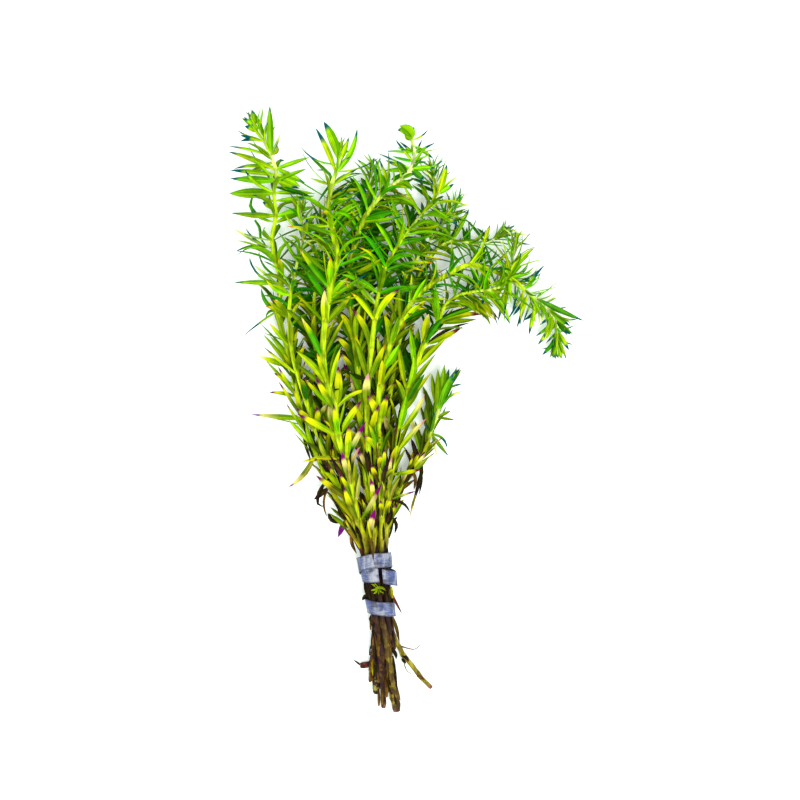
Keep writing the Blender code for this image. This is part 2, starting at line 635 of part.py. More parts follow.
def blade_points(leaf: Leaf) -> tuple:
    """Give points all over a leaf.

    Args:
        leaf: The leaf.

    Returns:
        The points of its foot near the stem and those of its blade, as two arrays.
    """
    foot = [tuple(leaf.start)]
    blade = [tuple(leaf.tip)]
    lower = (leaf.middle - leaf.start).length
    upper = (leaf.tip - leaf.middle).length
    for length, start, end, broad in (
        (lower, leaf.start, leaf.middle, (FOOT_BREADTH, 1.0)),
        (upper, leaf.middle, leaf.tip, (1.0, TIP_BREADTH)),
    ):
        count = max(2, math.ceil(length / SPHERE_STEP))
        for k in range(1, count + 1):
            t = k / count
            is_foot = start is leaf.start and t * length < FOOT_REACH
            centre = start.lerp(end, t)
            half = 0.5 * leaf.width * (broad[0] + (broad[1] - broad[0]) * t)
            beside = (-SPHERE_SPREAD, 0.0, SPHERE_SPREAD)
            across = beside if half > ONE_SPHERE_WIDE else (0.0,)
            for share in across:
                (foot if is_foot else blade).append(tuple(centre + leaf.side * (share * half)))
    return np.array(foot), np.array(blade)


def shape_leaf(stem: Stem, index: float, outward: Vector, path: tuple, width: float) -> Leaf:
    """Complete a leaf from its path.

    Args:
        stem: The stem that it grows on.
        index: The node's point number.
        outward: The direction away from the stem.
        path: Its start at the stem, its widest place and its tip.
        width: Its greatest width.

    Returns:
        The leaf, with its lowest parts on the surface where it would reach below it.
    """
    start, middle, tip = path
    along = along_at(stem, index)
    heading = (tip - start).normalized()
    side = blade_side(along.cross(outward), heading, TURNED_TO_LIGHT)
    if min(start.z, middle.z) < abs(side.z) * 0.5 * width + LEAF_THICKNESS:
        side = blade_side(along.cross(outward), heading, 1.0)
        middle.z = max(middle.z, 0.5 * LEAF_THICKNESS)
    tip.z = max(tip.z, SURFACE_GAP)
    return Leaf(index, start, outward, middle, tip, side, width, width < NEEDLE_WIDTH)


def draw_size(draw: random.Random, size: tuple, attempt: int) -> tuple:
    """Vary a leaf's size and pitch a little, and more with each attempt to find room.

    Args:
        draw: The source of the differences.
        size: The wanted length, width and pitch.
        attempt: The attempt's number.

    Returns:
        The length, the width, the pitch and the largest turn, in degrees.
    """
    length, width, pitch = size
    spread = TURN_SPREAD + SPREAD_GROWTH * attempt
    return (
        length * draw.uniform(*LENGTH_SPREAD) * (1.0 - LENGTH_LOSS * attempt),
        width * draw.uniform(*WIDTH_SPREAD),
        max(LEAST_PITCH, pitch + draw.uniform(-spread, spread)),
        spread,
    )


def make_leaf(stem: Stem, index: float, turn: float, size: tuple, draw: random.Random) -> Leaf:
    """Shape one leaf at a node.

    Args:
        stem: The stem that it grows on.
        index: The node's point number.
        turn: The direction round the stem, in radians.
        size: The leaf's length, width and pitch in degrees.
        draw: The source of the small differences between leaves.

    Returns:
        The leaf.
    """
    length, width, pitch = size
    along = along_at(stem, index)
    first = along.cross(UP).normalized()
    second = first.cross(along)
    outward = first * math.cos(turn) + second * math.sin(turn)
    bend = math.radians(draw.uniform(*BEND))
    steep = math.radians(pitch)
    lower = along * math.cos(steep - bend) + outward * math.sin(steep - bend)
    upper = along * math.cos(steep + bend) + outward * math.sin(steep + bend)
    start = place_at(stem, index) + outward * (ROOTED_AT * radius_at(stem, index))
    middle = start + lower * (WIDEST_AT * length)
    tip = middle + upper * ((1.0 - WIDEST_AT) * length)
    return shape_leaf(stem, index, outward, (start, middle, tip), width)


def known_leaf(stem: Stem, index: float, known: Known, lift: float) -> Leaf:
    """Shape a leaf whose root and tip are known from above.

    Args:
        stem: The stem that it grows on.
        index: The node's point number.
        known: The leaf's places.
        lift: How far its tip is raised to find room, in millimetres.

    Returns:
        The leaf.
    """
    root = place_at(stem, index)
    along = along_at(stem, index)
    tip = Vector((*known.tip, max(SURFACE_GAP, root.z + known.rise + lift)))
    outward = tip - root
    outward = outward - along * outward.dot(along)
    if outward.length < LEAST_OUTWARD:
        outward += UP * (UPRIGHT_SHARE if lift >= 0.0 else -UPRIGHT_SHARE)
        outward = outward - along * outward.dot(along)
    outward.normalize()
    start = root + outward * (ROOTED_AT * radius_at(stem, index))
    chord = tip - start
    bulge = UP.cross(chord).normalized()
    if bulge.dot(along) < 0.0:
        bulge.negate()
    middle = start.lerp(tip, WIDEST_AT) + bulge * (known.bow * chord.length)
    return shape_leaf(stem, index, outward, (start, middle, tip), known.width)


def blade_side(natural: Vector, heading: Vector, share: float) -> Vector:
    """Turn a blade's cross direction part of the way towards level, as leaves turn to light.

    Args:
        natural: The cross direction of a blade that faces its stem.
        heading: The leaf's direction.
        share: How far it turns, from 0 to 1.

    Returns:
        The blade's cross direction, square to its heading.
    """
    level = UP.cross(heading)
    if level.length > LEAST_LEVEL:
        level.normalize()
        if level.dot(natural) < WRONG_WAY:
            level.negate()
        natural = natural.lerp(level, share)
    side = natural - heading * natural.dot(heading)
    return side.normalized()


def leaf_nodes(stem: Stem) -> list:
    """Find where whorls grow: at the plan's nodes and between them where they lie far apart.

    Args:
        stem: The stem.

    Returns:
        Point numbers from the growing tip down.
    """
    arc = arc_lengths(stem.points)
    places = [float(stem.nodes[0]) + FIRST_WHORL]
    for upper, lower in zip(stem.nodes[:-1], stem.nodes[1:]):
        span = arc[lower] - arc[upper]
        step = float(np.interp(arc[upper], FROM_TIP, WHORL_STEP))
        count = max(1, round(span / step))
        places += [upper + (lower - upper) * k / count for k in range(1, count + 1)]
    return [index for index in places if place_at(stem, index).y > BARE_BELOW]


def place_known(stem: Stem, number: int, nodes: list, crowd: Crowd) -> None:
    """Put a stem's known leaves at its nodes, adding nodes for leaves far from any.

    Args:
        stem: The stem.
        number: The stem's number.
        nodes: The point numbers of its nodes, to which new ones are added.
        crowd: What stands there already, to which the leaves are added.
    """
    arc = arc_lengths(stem.points)
    counts = np.arange(len(arc))
    for known in stem.plan.known:
        offsets = stem.points[:, :2] - np.array(known.root)
        index = float(np.argmin((offsets**2).sum(axis=1)))
        place = np.interp(index, counts, arc)
        taken = [leaf.index for leaf in stem.leaves]
        near = [
            node for node in nodes
            if abs(np.interp(node, counts, arc) - place) < WHORL_CATCH
            and taken.count(node) < LEAVES_IN_WHORL - 1
        ]
        if near:
            index = min(near, key=lambda node: abs(np.interp(node, counts, arc) - place))
        elif index not in nodes:
            nodes.append(index)
        for attempt in range(LIFT_TRIES):
            lift = LIFT_STEP * math.ceil(attempt / 2) * (-1.0) ** attempt
            leaf = known_leaf(stem, index, known, lift)
            if crowd.has_room(leaf, number):
                stem.leaves.append(leaf)
                crowd.add_leaf(leaf, number)
                break
    nodes.sort()


def grow_leaves(stem: Stem, number: int, nodes: list, crowd: Crowd) -> None:
    """Grow the rest of a stem's leaves, leaving out those that find no room.

    Args:
        stem: The stem.
        number: The stem's number.
        nodes: The point numbers of its nodes.
        crowd: What stands there already, to which the leaves are added.
    """
    draw = random.Random(stem.plan.name)
    arc = arc_lengths(stem.points)
    for place, index in enumerate(nodes):
        distance = float(np.interp(index, np.arange(len(arc)), arc))
        height = place_at(stem, index).y - BARE_BELOW
        age = min(max(0.0, 1.0 - height / OLD_ZONE), 1.0)
        length = float(np.interp(distance, FROM_TIP, LEAF_LENGTH)) * (1.0 - OLD_SHORTER * age)
        width = float(np.interp(distance, FROM_TIP, LEAF_WIDTH)) * (1.0 - OLD_NARROWER * age)
        pitch = float(np.interp(distance, FROM_TIP, LEAF_PITCH)) - OLD_FLATTER * age
        size = (length * stem.plan.leafage, width, pitch)
        offset = math.radians(WHORL_TURN * (place % 2) + draw.uniform(-WHORL_SWAY, WHORL_SWAY))
        turns = [offset + 2.0 * math.pi * k / LEAVES_IN_WHORL for k in range(LEAVES_IN_WHORL)]
        for leaf in [grown for grown in stem.leaves if grown.index == index]:
            turns = without_nearest(stem, turns, leaf)
        if height < 0.0:
            turns = []
        whorl = []
        for turn in turns:
            leaf = find_room(stem, number, index, turn, size, crowd, draw)
            if leaf is not None:
                whorl.append(leaf)
        for leaf in whorl:
            crowd.add_leaf(leaf, number)
        stem.leaves += whorl


def without_nearest(stem: Stem, turns: list, leaf: Leaf) -> list:
    """Leave out the direction round the stem that a leaf already takes.

    Args:
        stem: The stem.
        turns: The directions, in radians.
        leaf: The leaf.

    Returns:
        The remaining directions.
    """
    along = along_at(stem, leaf.index)
    first = along.cross(UP).normalized()
    second = first.cross(along)
    taken = math.atan2(leaf.outward.dot(second), leaf.outward.dot(first))
    nearest = min(turns, key=lambda turn: -math.cos(turn - taken))
    return [turn for turn in turns if turn is not nearest]


def find_room(
    stem: Stem, number: int, index: float, turn: float, size: tuple, crowd: Crowd,
    draw: random.Random,
) -> Leaf | None:
    """Try a leaf in slightly different directions until one is clear of its neighbours.

    Args:
        stem: The stem.
        number: The stem's number.
        index: The node's point number.
        turn: The wanted direction round the stem.
        size: The wanted length, width and pitch.
        crowd: What stands there already.
        draw: The source of the differences.

    Returns:
        The leaf, or None where there is no room.
    """
    for attempt in range(TRIES):
        length, width, pitch, spread = draw_size(draw, size, attempt)
        way = turn + math.radians(draw.uniform(-spread, spread))
        leaf = make_leaf(stem, index, way, (length, width, pitch), draw)
        if crowd.has_room(leaf, number):
            return leaf
    return None


def frame_at(stem: Stem, index: float, previous: Vector | None) -> Matrix:
    """Give the frame of a stem's cross-section, turned as little as possible from the last one.

    Args:
        stem: The stem.
        index: The point number.
        previous: The last section's first cross direction, or None at the start.

    Returns:
        A matrix whose columns are two cross directions, the direction to the tip and the place.
    """
    along = along_at(stem, index)
    guide = previous if previous is not None else UP
    first = (guide - along * guide.dot(along)).normalized()
    second = along.cross(first)
    place = place_at(stem, index)
    columns = (first.to_4d(), second.to_4d(), along.to_4d(), place.to_4d())
    frame = Matrix(columns).transposed()
    frame[3][0] = 0.0
    frame[3][1] = 0.0
    frame[3][2] = 0.0
    return frame


def section_list(stem: Stem) -> list:
    """List a stem's cross-sections from the cut end to the tip.

    Args:
        stem: The stem.

    Returns:
        Pairs of a point number and whether a ring of leaf bases starts there.
    """
    arc = arc_lengths(stem.points)
    numbers = np.arange(len(arc))
    half = 0.5 * RING_HEIGHT
    last = len(arc) - 1
    rings = sorted({leaf.index for leaf in stem.leaves}, reverse=True)
    marks = [(float(last), False)]
    for ring in rings + [0.0]:
        centre = float(np.interp(ring, numbers, arc))
        lower = float(np.interp(centre + half, arc, numbers))
        upper = float(np.interp(centre - half, arc, numbers))
        from_arc = float(np.interp(marks[-1][0], numbers, arc))
        gap = from_arc - centre - half
        pieces = max(1, round(gap / BARE_STEP))
        for k in range(1, pieces):
            marks.append((float(np.interp(from_arc - gap * k / pieces, arc, numbers)), False))
        if ring > 0.0:
            marks.append((lower, True))
            marks.append((upper, False))
        else:
            marks.append((0.0, False))
    return marks


def build_stem(stem: Stem, group: bpy.types.Collection) -> bpy.types.Object:
    """Build one stem with its leaves as a single closed solid.

    Args:
        stem: The stem.
        group: The collection that it goes into.

    Returns:
        The object.
    """
    mesh_edit = bmesh.new()
    marks = section_list(stem)
    frame = frame_at(stem, marks[0][0], None)
    start_radius = radius_at(stem, marks[0][0])
    square = frame @ Matrix.Rotation(math.radians(45.0), 4, "Z")
    bmesh.ops.create_circle(mesh_edit, cap_ends=True, segments=4, radius=start_radius, matrix=square)
    end = mesh_edit.faces[:][0]
    radius = start_radius
    rings = {}
    for (lower, is_ring), (upper, _) in zip(marks[:-1], marks[1:]):
        next_frame = frame_at(stem, upper, frame.col[0].to_3d())
        next_radius = radius_at(stem, upper)
        region = [end, *end.edges, *end.verts]
        made = bmesh.ops.extrude_face_region(mesh_edit, geom=region)["geom"]
        end = next(item for item in made if isinstance(item, bmesh.types.BMFace))
        to_local = frame.inverted()
        for corner in end.verts:
            local = to_local @ corner.co
            corner.co = next_frame @ (local * (next_radius / radius))
        if is_ring:
            rings[0.5 * (lower + upper)] = [
                face for edge in end.edges for face in edge.link_faces if face is not end
            ]
        frame = next_frame
        radius = next_radius
    mesh_edit.faces.ensure_lookup_table()
    mesh_edit.normal_update()
    for centre, faces in rings.items():
        members = [leaf for leaf in stem.leaves if abs(leaf.index - centre) < SAME_NODE]
        root_leaves(mesh_edit, stem, members, faces)
    point = bmesh.ops.poke(mesh_edit, faces=[end])["verts"][0]
    point.co = place_at(stem, 0.0) + along_at(stem, 0.0) * TIP_POINT
    bmesh.ops.recalc_face_normals(mesh_edit, faces=mesh_edit.faces[:])
    bmesh.ops.translate(mesh_edit, vec=-MIDDLE, verts=mesh_edit.verts[:])
    bmesh.ops.scale(mesh_edit, vec=(MM, MM, MM), verts=mesh_edit.verts[:])
    mesh = bpy.data.meshes.new(stem.plan.name)
    mesh_edit.to_mesh(mesh)
    mesh_edit.free()
    built = bpy.data.objects.new(stem.plan.name, mesh)
    group.objects.link(built)
    return built


def root_leaves(mesh_edit: bmesh.types.BMesh, stem: Stem, members: list, faces: list) -> None:
    """Draw each leaf of a whorl out of the side face of the node that faces its way.

    Args:
        mesh_edit: The stem's mesh.
        stem: The stem.
        members: The whorl's leaves.
        faces: The node's four side faces.
    """
    free = list(faces)
    for leaf in members:
        if not free:
            return
        face = max(free, key=lambda item: item.normal.dot(leaf.outward))
        free.remove(face)
        draw_leaf(mesh_edit, stem, leaf, face)


def draw_leaf(
    mesh_edit: bmesh.types.BMesh, stem: Stem, leaf: Leaf, face: bmesh.types.BMFace
) -> None:
    """Extrude a side face to a leaf's widest section and bring it to a point.

    Args:
        mesh_edit: The stem's mesh.
        stem: The stem.
        leaf: The leaf.
        face: The side face that the leaf starts from.
    """
    along = along_at(stem, leaf.index)
    normal = (face.normal - along * face.normal.dot(along)).normalized()
    across = along.cross(normal)
    centre = face.calc_center_median()
    end = face
    if not leaf.needle:
        end = bmesh.ops.extrude_discrete_faces(mesh_edit, faces=[face])["faces"][0]
        heading = (leaf.tip - leaf.start).normalized()
        lift = heading.cross(leaf.side)
        for corner in end.verts:
            offset = corner.co - centre
            wide = math.copysign(0.5 * leaf.width, offset.dot(across))
            thick = math.copysign(0.5 * LEAF_THICKNESS, offset.dot(along))
            corner.co = leaf.middle + leaf.side * wide + lift * thick
            corner.co.z = max(corner.co.z, 0.0)
    point = bmesh.ops.poke(mesh_edit, faces=[end])["verts"][0]
    point.co = leaf.tip


@dataclass(frozen=True)
class StripPlan:
    """One wound strip: where its middle line runs, by turns round the bundle, in millimetres."""

    name: str
    turns: tuple
    heights: tuple
    layers: tuple
    width: float


STRIP_THICKNESS = 0.5
STRIP_LAP = 0.75
STRIPS = (
    StripPlan(
        name="metal_strip_upper",
        turns=(0.03, 0.12, 0.25, 0.5, 0.75, 1.0, 1.25, 1.5, 1.75, 1.965),
        heights=(-57.8, -58.4, -59.0, -56.9, -54.4, -52.3, -52.2, -55.0, -57.6, -57.4),
        layers=(0.6, 1.4, 2.2, 1.0, 1.0, 1.0, 0.5, 0.0, 0.0, 0.0),
        width=5.1,
    ),
    StripPlan(
        name="metal_strip_lower",
        turns=(0.56, 0.75, 1.0, 1.25, 1.5, 1.66),
        heights=(-68.6, -68.2, -69.4, -69.8, -69.0, -68.7),
        layers=(0.0, 0.0, 0.0, 0.2, 0.9, 1.0),
        width=4.9,
    ),
)
STRIP_CLEARANCE = 0.35
STEPS_A_TURN = 24


def strip_point(plan: StripPlan, turn: float, across: float) -> Vector:
    """Give a point of a strip's inner face.

    Args:
        plan: The strip's plan.
        turn: Turns round the bundle from the front, by way of the right side.
        across: Place across the strip, from -1 at the foot to 1 at the top.

    Returns:
        The point in millimetres.
    """
    height = float(np.interp(turn, plan.turns, plan.heights)) + across * 0.5 * plan.width
    layer = float(np.interp(turn, plan.turns, plan.layers))
    share = (TIE_TOP.y - height) / (TIE_TOP.y - TIE_FOOT.y)
    centre = TIE_TOP.lerp(TIE_FOOT, share)
    ring = TOP_RING + share * (FOOT_RING - TOP_RING) + TIE_RADIUS + STRIP_CLEARANCE
    ring += layer * STRIP_LAP
    angle = 2.0 * math.pi * turn
    point = Vector((centre.x + ring * math.sin(angle), height, centre.z + ring * math.cos(angle)))
    point.z = max(point.z, STRIP_THICKNESS + (1.0 - min(layer, 1.0)) * STRIP_LAP)
    return point


def build_strip(plan: StripPlan, group: bpy.types.Collection) -> bpy.types.Object:
    """Wind a flat strip round the bundle and give it its thickness.

    Args:
        plan: The strip's plan.
        group: The collection that it goes into.

    Returns:
        The object.
    """
    steps = round((plan.turns[-1] - plan.turns[0]) * STEPS_A_TURN)
    bpy.ops.mesh.primitive_grid_add(x_subdivisions=steps, y_subdivisions=1, size=2.0)
    strip = bpy.context.object
    strip.name = plan.name
    strip.data.name = plan.name
    for vertex in strip.data.vertices:
        share = 0.5 * (vertex.co.x + 1.0)
        turn = plan.turns[0] + share * (plan.turns[-1] - plan.turns[0])
        vertex.co = (strip_point(plan, turn, vertex.co.y) - MIDDLE) * MM
    strip.data.shade_smooth()
    solidify = strip.modifiers.new("thickness", "SOLIDIFY")
    solidify.thickness = STRIP_THICKNESS * MM
    solidify.offset = 1.0
    for collection in strip.users_collection:
        collection.objects.unlink(strip)
    group.objects.link(strip)
    return strip


def plain_material(name: str, colour: tuple, roughness: float, metallic: float) -> bpy.types.Material:
    """Make a plain material.

    Args:
        name: Its name.
        colour: Its base colour.
        roughness: Its roughness.
        metallic: Its metallic value.

    Returns:
        The material.
    """
    material = bpy.data.materials.new(name)
    material.use_nodes = True
    shader = material.node_tree.nodes["Principled BSDF"]
    shader.inputs["Base Color"].default_value = (*colour, 1.0)
    shader.inputs["Roughness"].default_value = roughness
    shader.inputs["Metallic"].default_value = metallic
    return material


def grow_bunch() -> list:
    """Lay all the stems, part them and grow their leaves.

    Returns:
        The stems.
    """
    stems = [lay_stem(plan) for plan in PLANS]
    part_stems(stems)
    crowd = Crowd()
    for number, stem in enumerate(stems):
        for share in STEM_SPHERE_STEPS:
            places = stem.points[:-1] * (1.0 - share) + stem.points[1:] * share
            radii = stem.radii[:-1] * (1.0 - share) + stem.radii[1:] * share
            crowd.add(places, radii, number)
    nodes = [leaf_nodes(stem) for stem in stems]
    for number, stem in enumerate(stems):
        place_known(stem, number, nodes[number], crowd)
    for number, stem in enumerate(stems):
        grow_leaves(stem, number, nodes[number], crowd)
    return stems


def main() -> None:
    """Build the bunch."""
    for old in list(bpy.data.objects):
        bpy.data.objects.remove(old)
    group = bpy.data.collections.new("tied_stem_plant_bunch")
    bpy.context.scene.collection.children.link(group)
    for stem in grow_bunch():
        built = build_stem(stem, group)
        name = stem.plan.name + "_green"
        built.data.materials.append(plain_material(name, LEAF_GREEN, LEAF_ROUGHNESS, 0.0))
    for plan in STRIPS:
        built = build_strip(plan, group)
        name = plan.name + "_metal"
        metal = plain_material(name, STRIP_GREY, STRIP_ROUGHNESS, STRIP_METALLIC)
        built.data.materials.append(metal)


main()
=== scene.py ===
"""The looks of a tied bunch of aquatic stem plants that lies on a pale surface.

Twelve leafy stems run from their growing tips at +Y through two soft metal strips to their cut ends.
Every stem is one piece with all its leaves. Its route and its main leaves are those of its solid, and
finer leaves, leaf remains and hair roots are added between them.
Lengths are in millimetres until a mesh is made, and in metres from there on.
"""

import logging
import math
import random
from dataclasses import dataclass, field, replace
from enum import Enum

import bpy
import numpy as np
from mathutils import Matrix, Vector


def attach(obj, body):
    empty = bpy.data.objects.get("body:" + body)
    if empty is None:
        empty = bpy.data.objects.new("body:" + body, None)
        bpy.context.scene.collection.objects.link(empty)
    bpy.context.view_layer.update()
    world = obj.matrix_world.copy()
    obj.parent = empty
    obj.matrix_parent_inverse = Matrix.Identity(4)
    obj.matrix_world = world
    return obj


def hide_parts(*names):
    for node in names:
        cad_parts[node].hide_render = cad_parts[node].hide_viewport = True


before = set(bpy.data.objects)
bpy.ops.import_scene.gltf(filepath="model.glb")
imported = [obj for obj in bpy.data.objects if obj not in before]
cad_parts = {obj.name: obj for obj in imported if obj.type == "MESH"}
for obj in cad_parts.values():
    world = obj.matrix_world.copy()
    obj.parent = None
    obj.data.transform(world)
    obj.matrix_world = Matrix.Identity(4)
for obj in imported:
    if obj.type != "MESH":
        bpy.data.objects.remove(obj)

LOG = logging.getLogger("stem_bunch")

MM = 0.001
UP = Vector((0.0, 0.0, 1.0))
MIDDLE = Vector((-0.4, 0.38, 0.0))

# The tie: the axis of the bundle from the upper strip's top edge to the lower strip's bottom edge
TIE_TOP = Vector((-11.6, -49.0, 6.5))
TIE_FOOT = Vector((-8.8, -73.0, 5.45))
TOP_RING = 4.1
FOOT_RING = 3.1
INNER_SHARE = 0.4
TIE_RADIUS = 0.85

# Stems
STEM_GAP = 0.35
ROUTE_STEP = 2.4
TIP_RADIUS = 0.4
THICKENS_AT = (0.0, 14.0, 50.0)
YOUNG_SHARE = 0.7
ENTRY_POINTS = 4
PARTING_ROUNDS = 160
PARTING_SHARE = (0.35, 0.35, 0.6)
NEAREST_AXES = 0.05
LEVEL_CROSSING = 0.1
SURFACE_GAP = 0.1
LOOK_AHEAD = 0.7
STEM_SPHERE_STEPS = (0.0, 0.25, 0.5, 0.75)

# Leaves, by their distance from the growing tip
FROM_TIP = (0.0, 8.0, 20.0, 45.0, 75.0, 110.0)
LEAF_LENGTH = (7.5, 11.0, 14.5, 15.5, 14.5, 14.0)
LEAF_WIDTH = (0.8, 1.0, 1.4, 2.0, 2.35, 2.4)
LEAF_PITCH = (22.0, 48.0, 72.0, 66.0, 42.0, 33.0)
WHORL_STEP = (3.0, 4.5, 6.5, 9.0, 11.0, 11.0)
FINE_LEAVES = (6, 6, 8, 7, 6, 5)
FINE_STEP = (1.8, 2.4, 3.0, 4.0, 4.6, 5.0)
LEAVES_IN_WHORL = 4
WHORL_CATCH = 3.6
LEAF_THICKNESS = 0.6
WIDEST_AT = 0.45
LEAF_GAP = 0.25
BLADE_RADIUS = 0.45
FINE_RADIUS = 0.16
FINE_GAP = 0.02
FOOT_REACH = 3.2
BARE_BELOW = -44.0
OLD_ZONE = 34.0
TRIES = 14
FINE_TRIES = 5
FINE_BOLDNESS = 2
ROOTED_AT = 0.8
FIRST_WHORL = 0.6
BEND = (2.0, 12.0)
LENGTH_SPREAD = (0.9, 1.1)
WIDTH_SPREAD = (0.92, 1.08)
TURN_SPREAD = 4.0
SPREAD_GROWTH = 2.2
LENGTH_LOSS = 0.02
LEAST_PITCH = 12.0
OLD_SHORTER = 0.3
OLD_NARROWER = 0.2
OLD_FLATTER = 8.0
WHORL_TURN = 45.0
WHORL_SWAY = 12.0
LIFT_TRIES = 24
LIFT_STEP = 0.7
LEAST_OUTWARD = 2.0
UPRIGHT_SHARE = 2.5
TURNED_TO_LIGHT = 0.6
LEAST_LEVEL = 0.2
WRONG_WAY = -0.25
SPHERE_STEP = 0.9
SPHERE_SPREAD = 0.75
FOOT_BREADTH = 0.5
TIP_BREADTH = 0.1
ONE_SPHERE_WIDE = 0.5


def paint(red: int, green: int, blue: int) -> tuple:
    """Turn a colour of 0 to 255 parts into the linear one that shaders take.

    Args:
        red: Its red part.
        green: Its green part.
        blue: Its blue part.

    Returns:
        The linear colour.
    """
    return tuple(((part / 255.0 + 0.055) / 1.055) ** 2.4 if part > 10 else part / 3295.0
                 for part in (red, green, blue))


YELLOW_GREEN = paint(194, 222, 6)
LIME = paint(150, 220, 0)
GREEN = paint(72, 178, 0)
DEEP_GREEN = paint(16, 112, 8)
OLIVE = paint(120, 128, 14)
MOSS = paint(132, 166, 8)
STRAW = paint(206, 208, 12)
TEAL = paint(0, 84, 86)
PURPLE = paint(100, 12, 70)
MAGENTA = paint(124, 6, 102)
PINK = paint(214, 140, 150)
CREAM = paint(246, 232, 130)
ORANGE = paint(206, 120, 14)
YELLOW = paint(226, 228, 10)
BROWN = paint(84, 56, 18)
NEAR_BLACK = paint(34, 18, 26)
MAROON = paint(106, 24, 38)
PALE = paint(214, 240, 112)
WHITISH = paint(240, 255, 190)
# Painted shade colours by height along the bunch, for leaves that lie under others
SHADE_PAINTS = (paint(40, 22, 14), paint(40, 46, 6), paint(22, 84, 0))
STEM_GREEN = paint(180, 214, 16)
PALE_STRAW = paint(222, 208, 96)
SLIM_HEIGHTS = (24.0, 44.0)
SOOT = paint(44, 25, 24)


class Tone(Enum):
    """How a leaf is coloured towards its tip."""

    BY_PLACE = "by its place"
    PLAIN = "plain"
    TEAL = "blue-green tip"
    ORANGE = "orange tip"
    PURPLE = "purple tip with a cream band"
    PINK = "pinkish tip"
    MAGENTA = "magenta tip"
    CREAM = "cream upper half"
    SPOTTED = "yellow with brown spots"
    DARK = "dark and decaying"
    MAROON = "maroon all over"
    RED = "dark red tip"
    VIOLET = "violet upper half"
    VIOLET_END = "violet tip"
    PALE = "pale and thin"
    BROWN = "brown and dry"
    GREEN = "even green"
    SHADED = "under the others"


@dataclass(frozen=True)
class TipLook:
    """A leaf's tip: its colour, where it starts, how strong the pale band below it is, and spots."""

    paint: tuple
    start: float
    band: float
    spots: float = 0.0
    body: tuple | None = None
    band_paint: tuple = YELLOW


TIPS = {
    Tone.PLAIN: TipLook(LIME, 1.3, 0.0),
    Tone.SHADED: TipLook(LIME, 1.3, 0.0),
    Tone.TEAL: TipLook(TEAL, 0.74, 0.0),
    Tone.ORANGE: TipLook(ORANGE, 0.92, 0.7, 0.1),
    Tone.PURPLE: TipLook(PURPLE, 0.8, 0.8),
    Tone.PINK: TipLook(PINK, 0.82, 0.8, band_paint=CREAM),
    Tone.MAGENTA: TipLook(MAGENTA, 0.64, 0.8, band_paint=CREAM),
    Tone.CREAM: TipLook(CREAM, 0.86, 0.6, 0.2),
    Tone.SPOTTED: TipLook(ORANGE, 0.95, 0.4, 0.9),
    Tone.VIOLET: TipLook(paint(112, 6, 120), 0.35, 0.0),
    Tone.VIOLET_END: TipLook(paint(120, 40, 150), 0.8, 0.8, band_paint=CREAM),
    Tone.DARK: TipLook(NEAR_BLACK, 0.6, 0.0, 0.3, paint(48, 36, 16)),
    Tone.RED: TipLook(MAROON, 0.72, 0.7),
    Tone.GREEN: TipLook(TEAL, 0.8, 0.0, 0.0, paint(80, 160, 18)),
    Tone.MAROON: TipLook(NEAR_BLACK, 0.8, 0.0, 0.4, MAROON),
    Tone.PALE: TipLook(PALE, 0.6, 0.0, 0.0, paint(186, 222, 104)),
    Tone.BROWN: TipLook(BROWN, 0.5, 0.0, 0.5, paint(132, 92, 34)),
}


@dataclass(frozen=True)
class Known:
    """A leaf whose root and tip are known, seen from above."""

    root: tuple
    tip: tuple
    width: float
    bow: float = 0.0
    rise: float = 0.0
    tone: Tone = Tone.BY_PLACE
    broad: float = 1.0
    sway: float = 0.0


@dataclass(frozen=True)
class Curl:
    """A curled or crushed leaf, or a leaf remain, along a path of its own."""

    path: tuple
    width: float
    tone: Tone
    fold: float = 25.0


@dataclass(frozen=True)
class Root:
    """A hair root along a path, with its thickness."""

    path: tuple
    thickness: float
    colour: tuple


@dataclass(frozen=True)
class StemPlan:
    """Where one stem runs, from its growing tip down to its cut end, and what colours its foot."""

    name: str
    tie_angle: float
    outer: bool
    girth: float
    foot_girth: float
    nodes: tuple
    foot: tuple
    known: tuple = ()
    leafage: float = 1.0
    extra: tuple = ()
    curls: tuple = ()
    roots: tuple = ()
    foot_paint: tuple = BROWN
    foot_shape: tuple = (1.0, 1.0, 1.22, 1.0)
    bark: float = 1.0
    fine: float = 1.0
    fine_low: float = 0.3
    fine_tip: float = 0.5
    teal: float = 1.0
    broad: float = 1.0
    slender: float = 1.0
    slender_low: float = 1.0
    short: float = 1.0
    short_tip: float = 1.0
    tip_reach: float = 8.0
    lean: float = 0.0
    slim: float = 0.85
    body: tuple | None = None
    whitish_to: float = 14.0


def known_leaves(*rows: tuple) -> tuple:
    """Make leaves whose places are known from above.

    Args:
        rows: For each leaf the x and y of its root and of its tip, its width and the name of its tone,
            and where they aren't the usual ones its bow, its breadth, its sway and its rise.

    Returns:
        The leaves.
    """
    usual = (0.0, 1.0, 0.0, 0.0)
    made = []
    for x, y, tip_x, tip_y, width, tone, *rest in rows:
        bow, broad, sway, rise = (*rest, *usual[len(rest):])
        made.append(Known((x, y), (tip_x, tip_y), width, bow, rise, Tone[tone], broad, sway))
    return tuple(made)


def curled_leaves(*rows: tuple) -> tuple:
    """Make curled leaves.

    Args:
        rows: For each its width, the name of its tone, its fold in degrees, and then the x, y and z of
            each place of its path.

    Returns:
        The curled leaves.
    """
    return tuple(Curl(tuple(zip(*[iter(places)] * 3)), width, Tone[tone], fold)
                 for width, tone, fold, *places in rows)


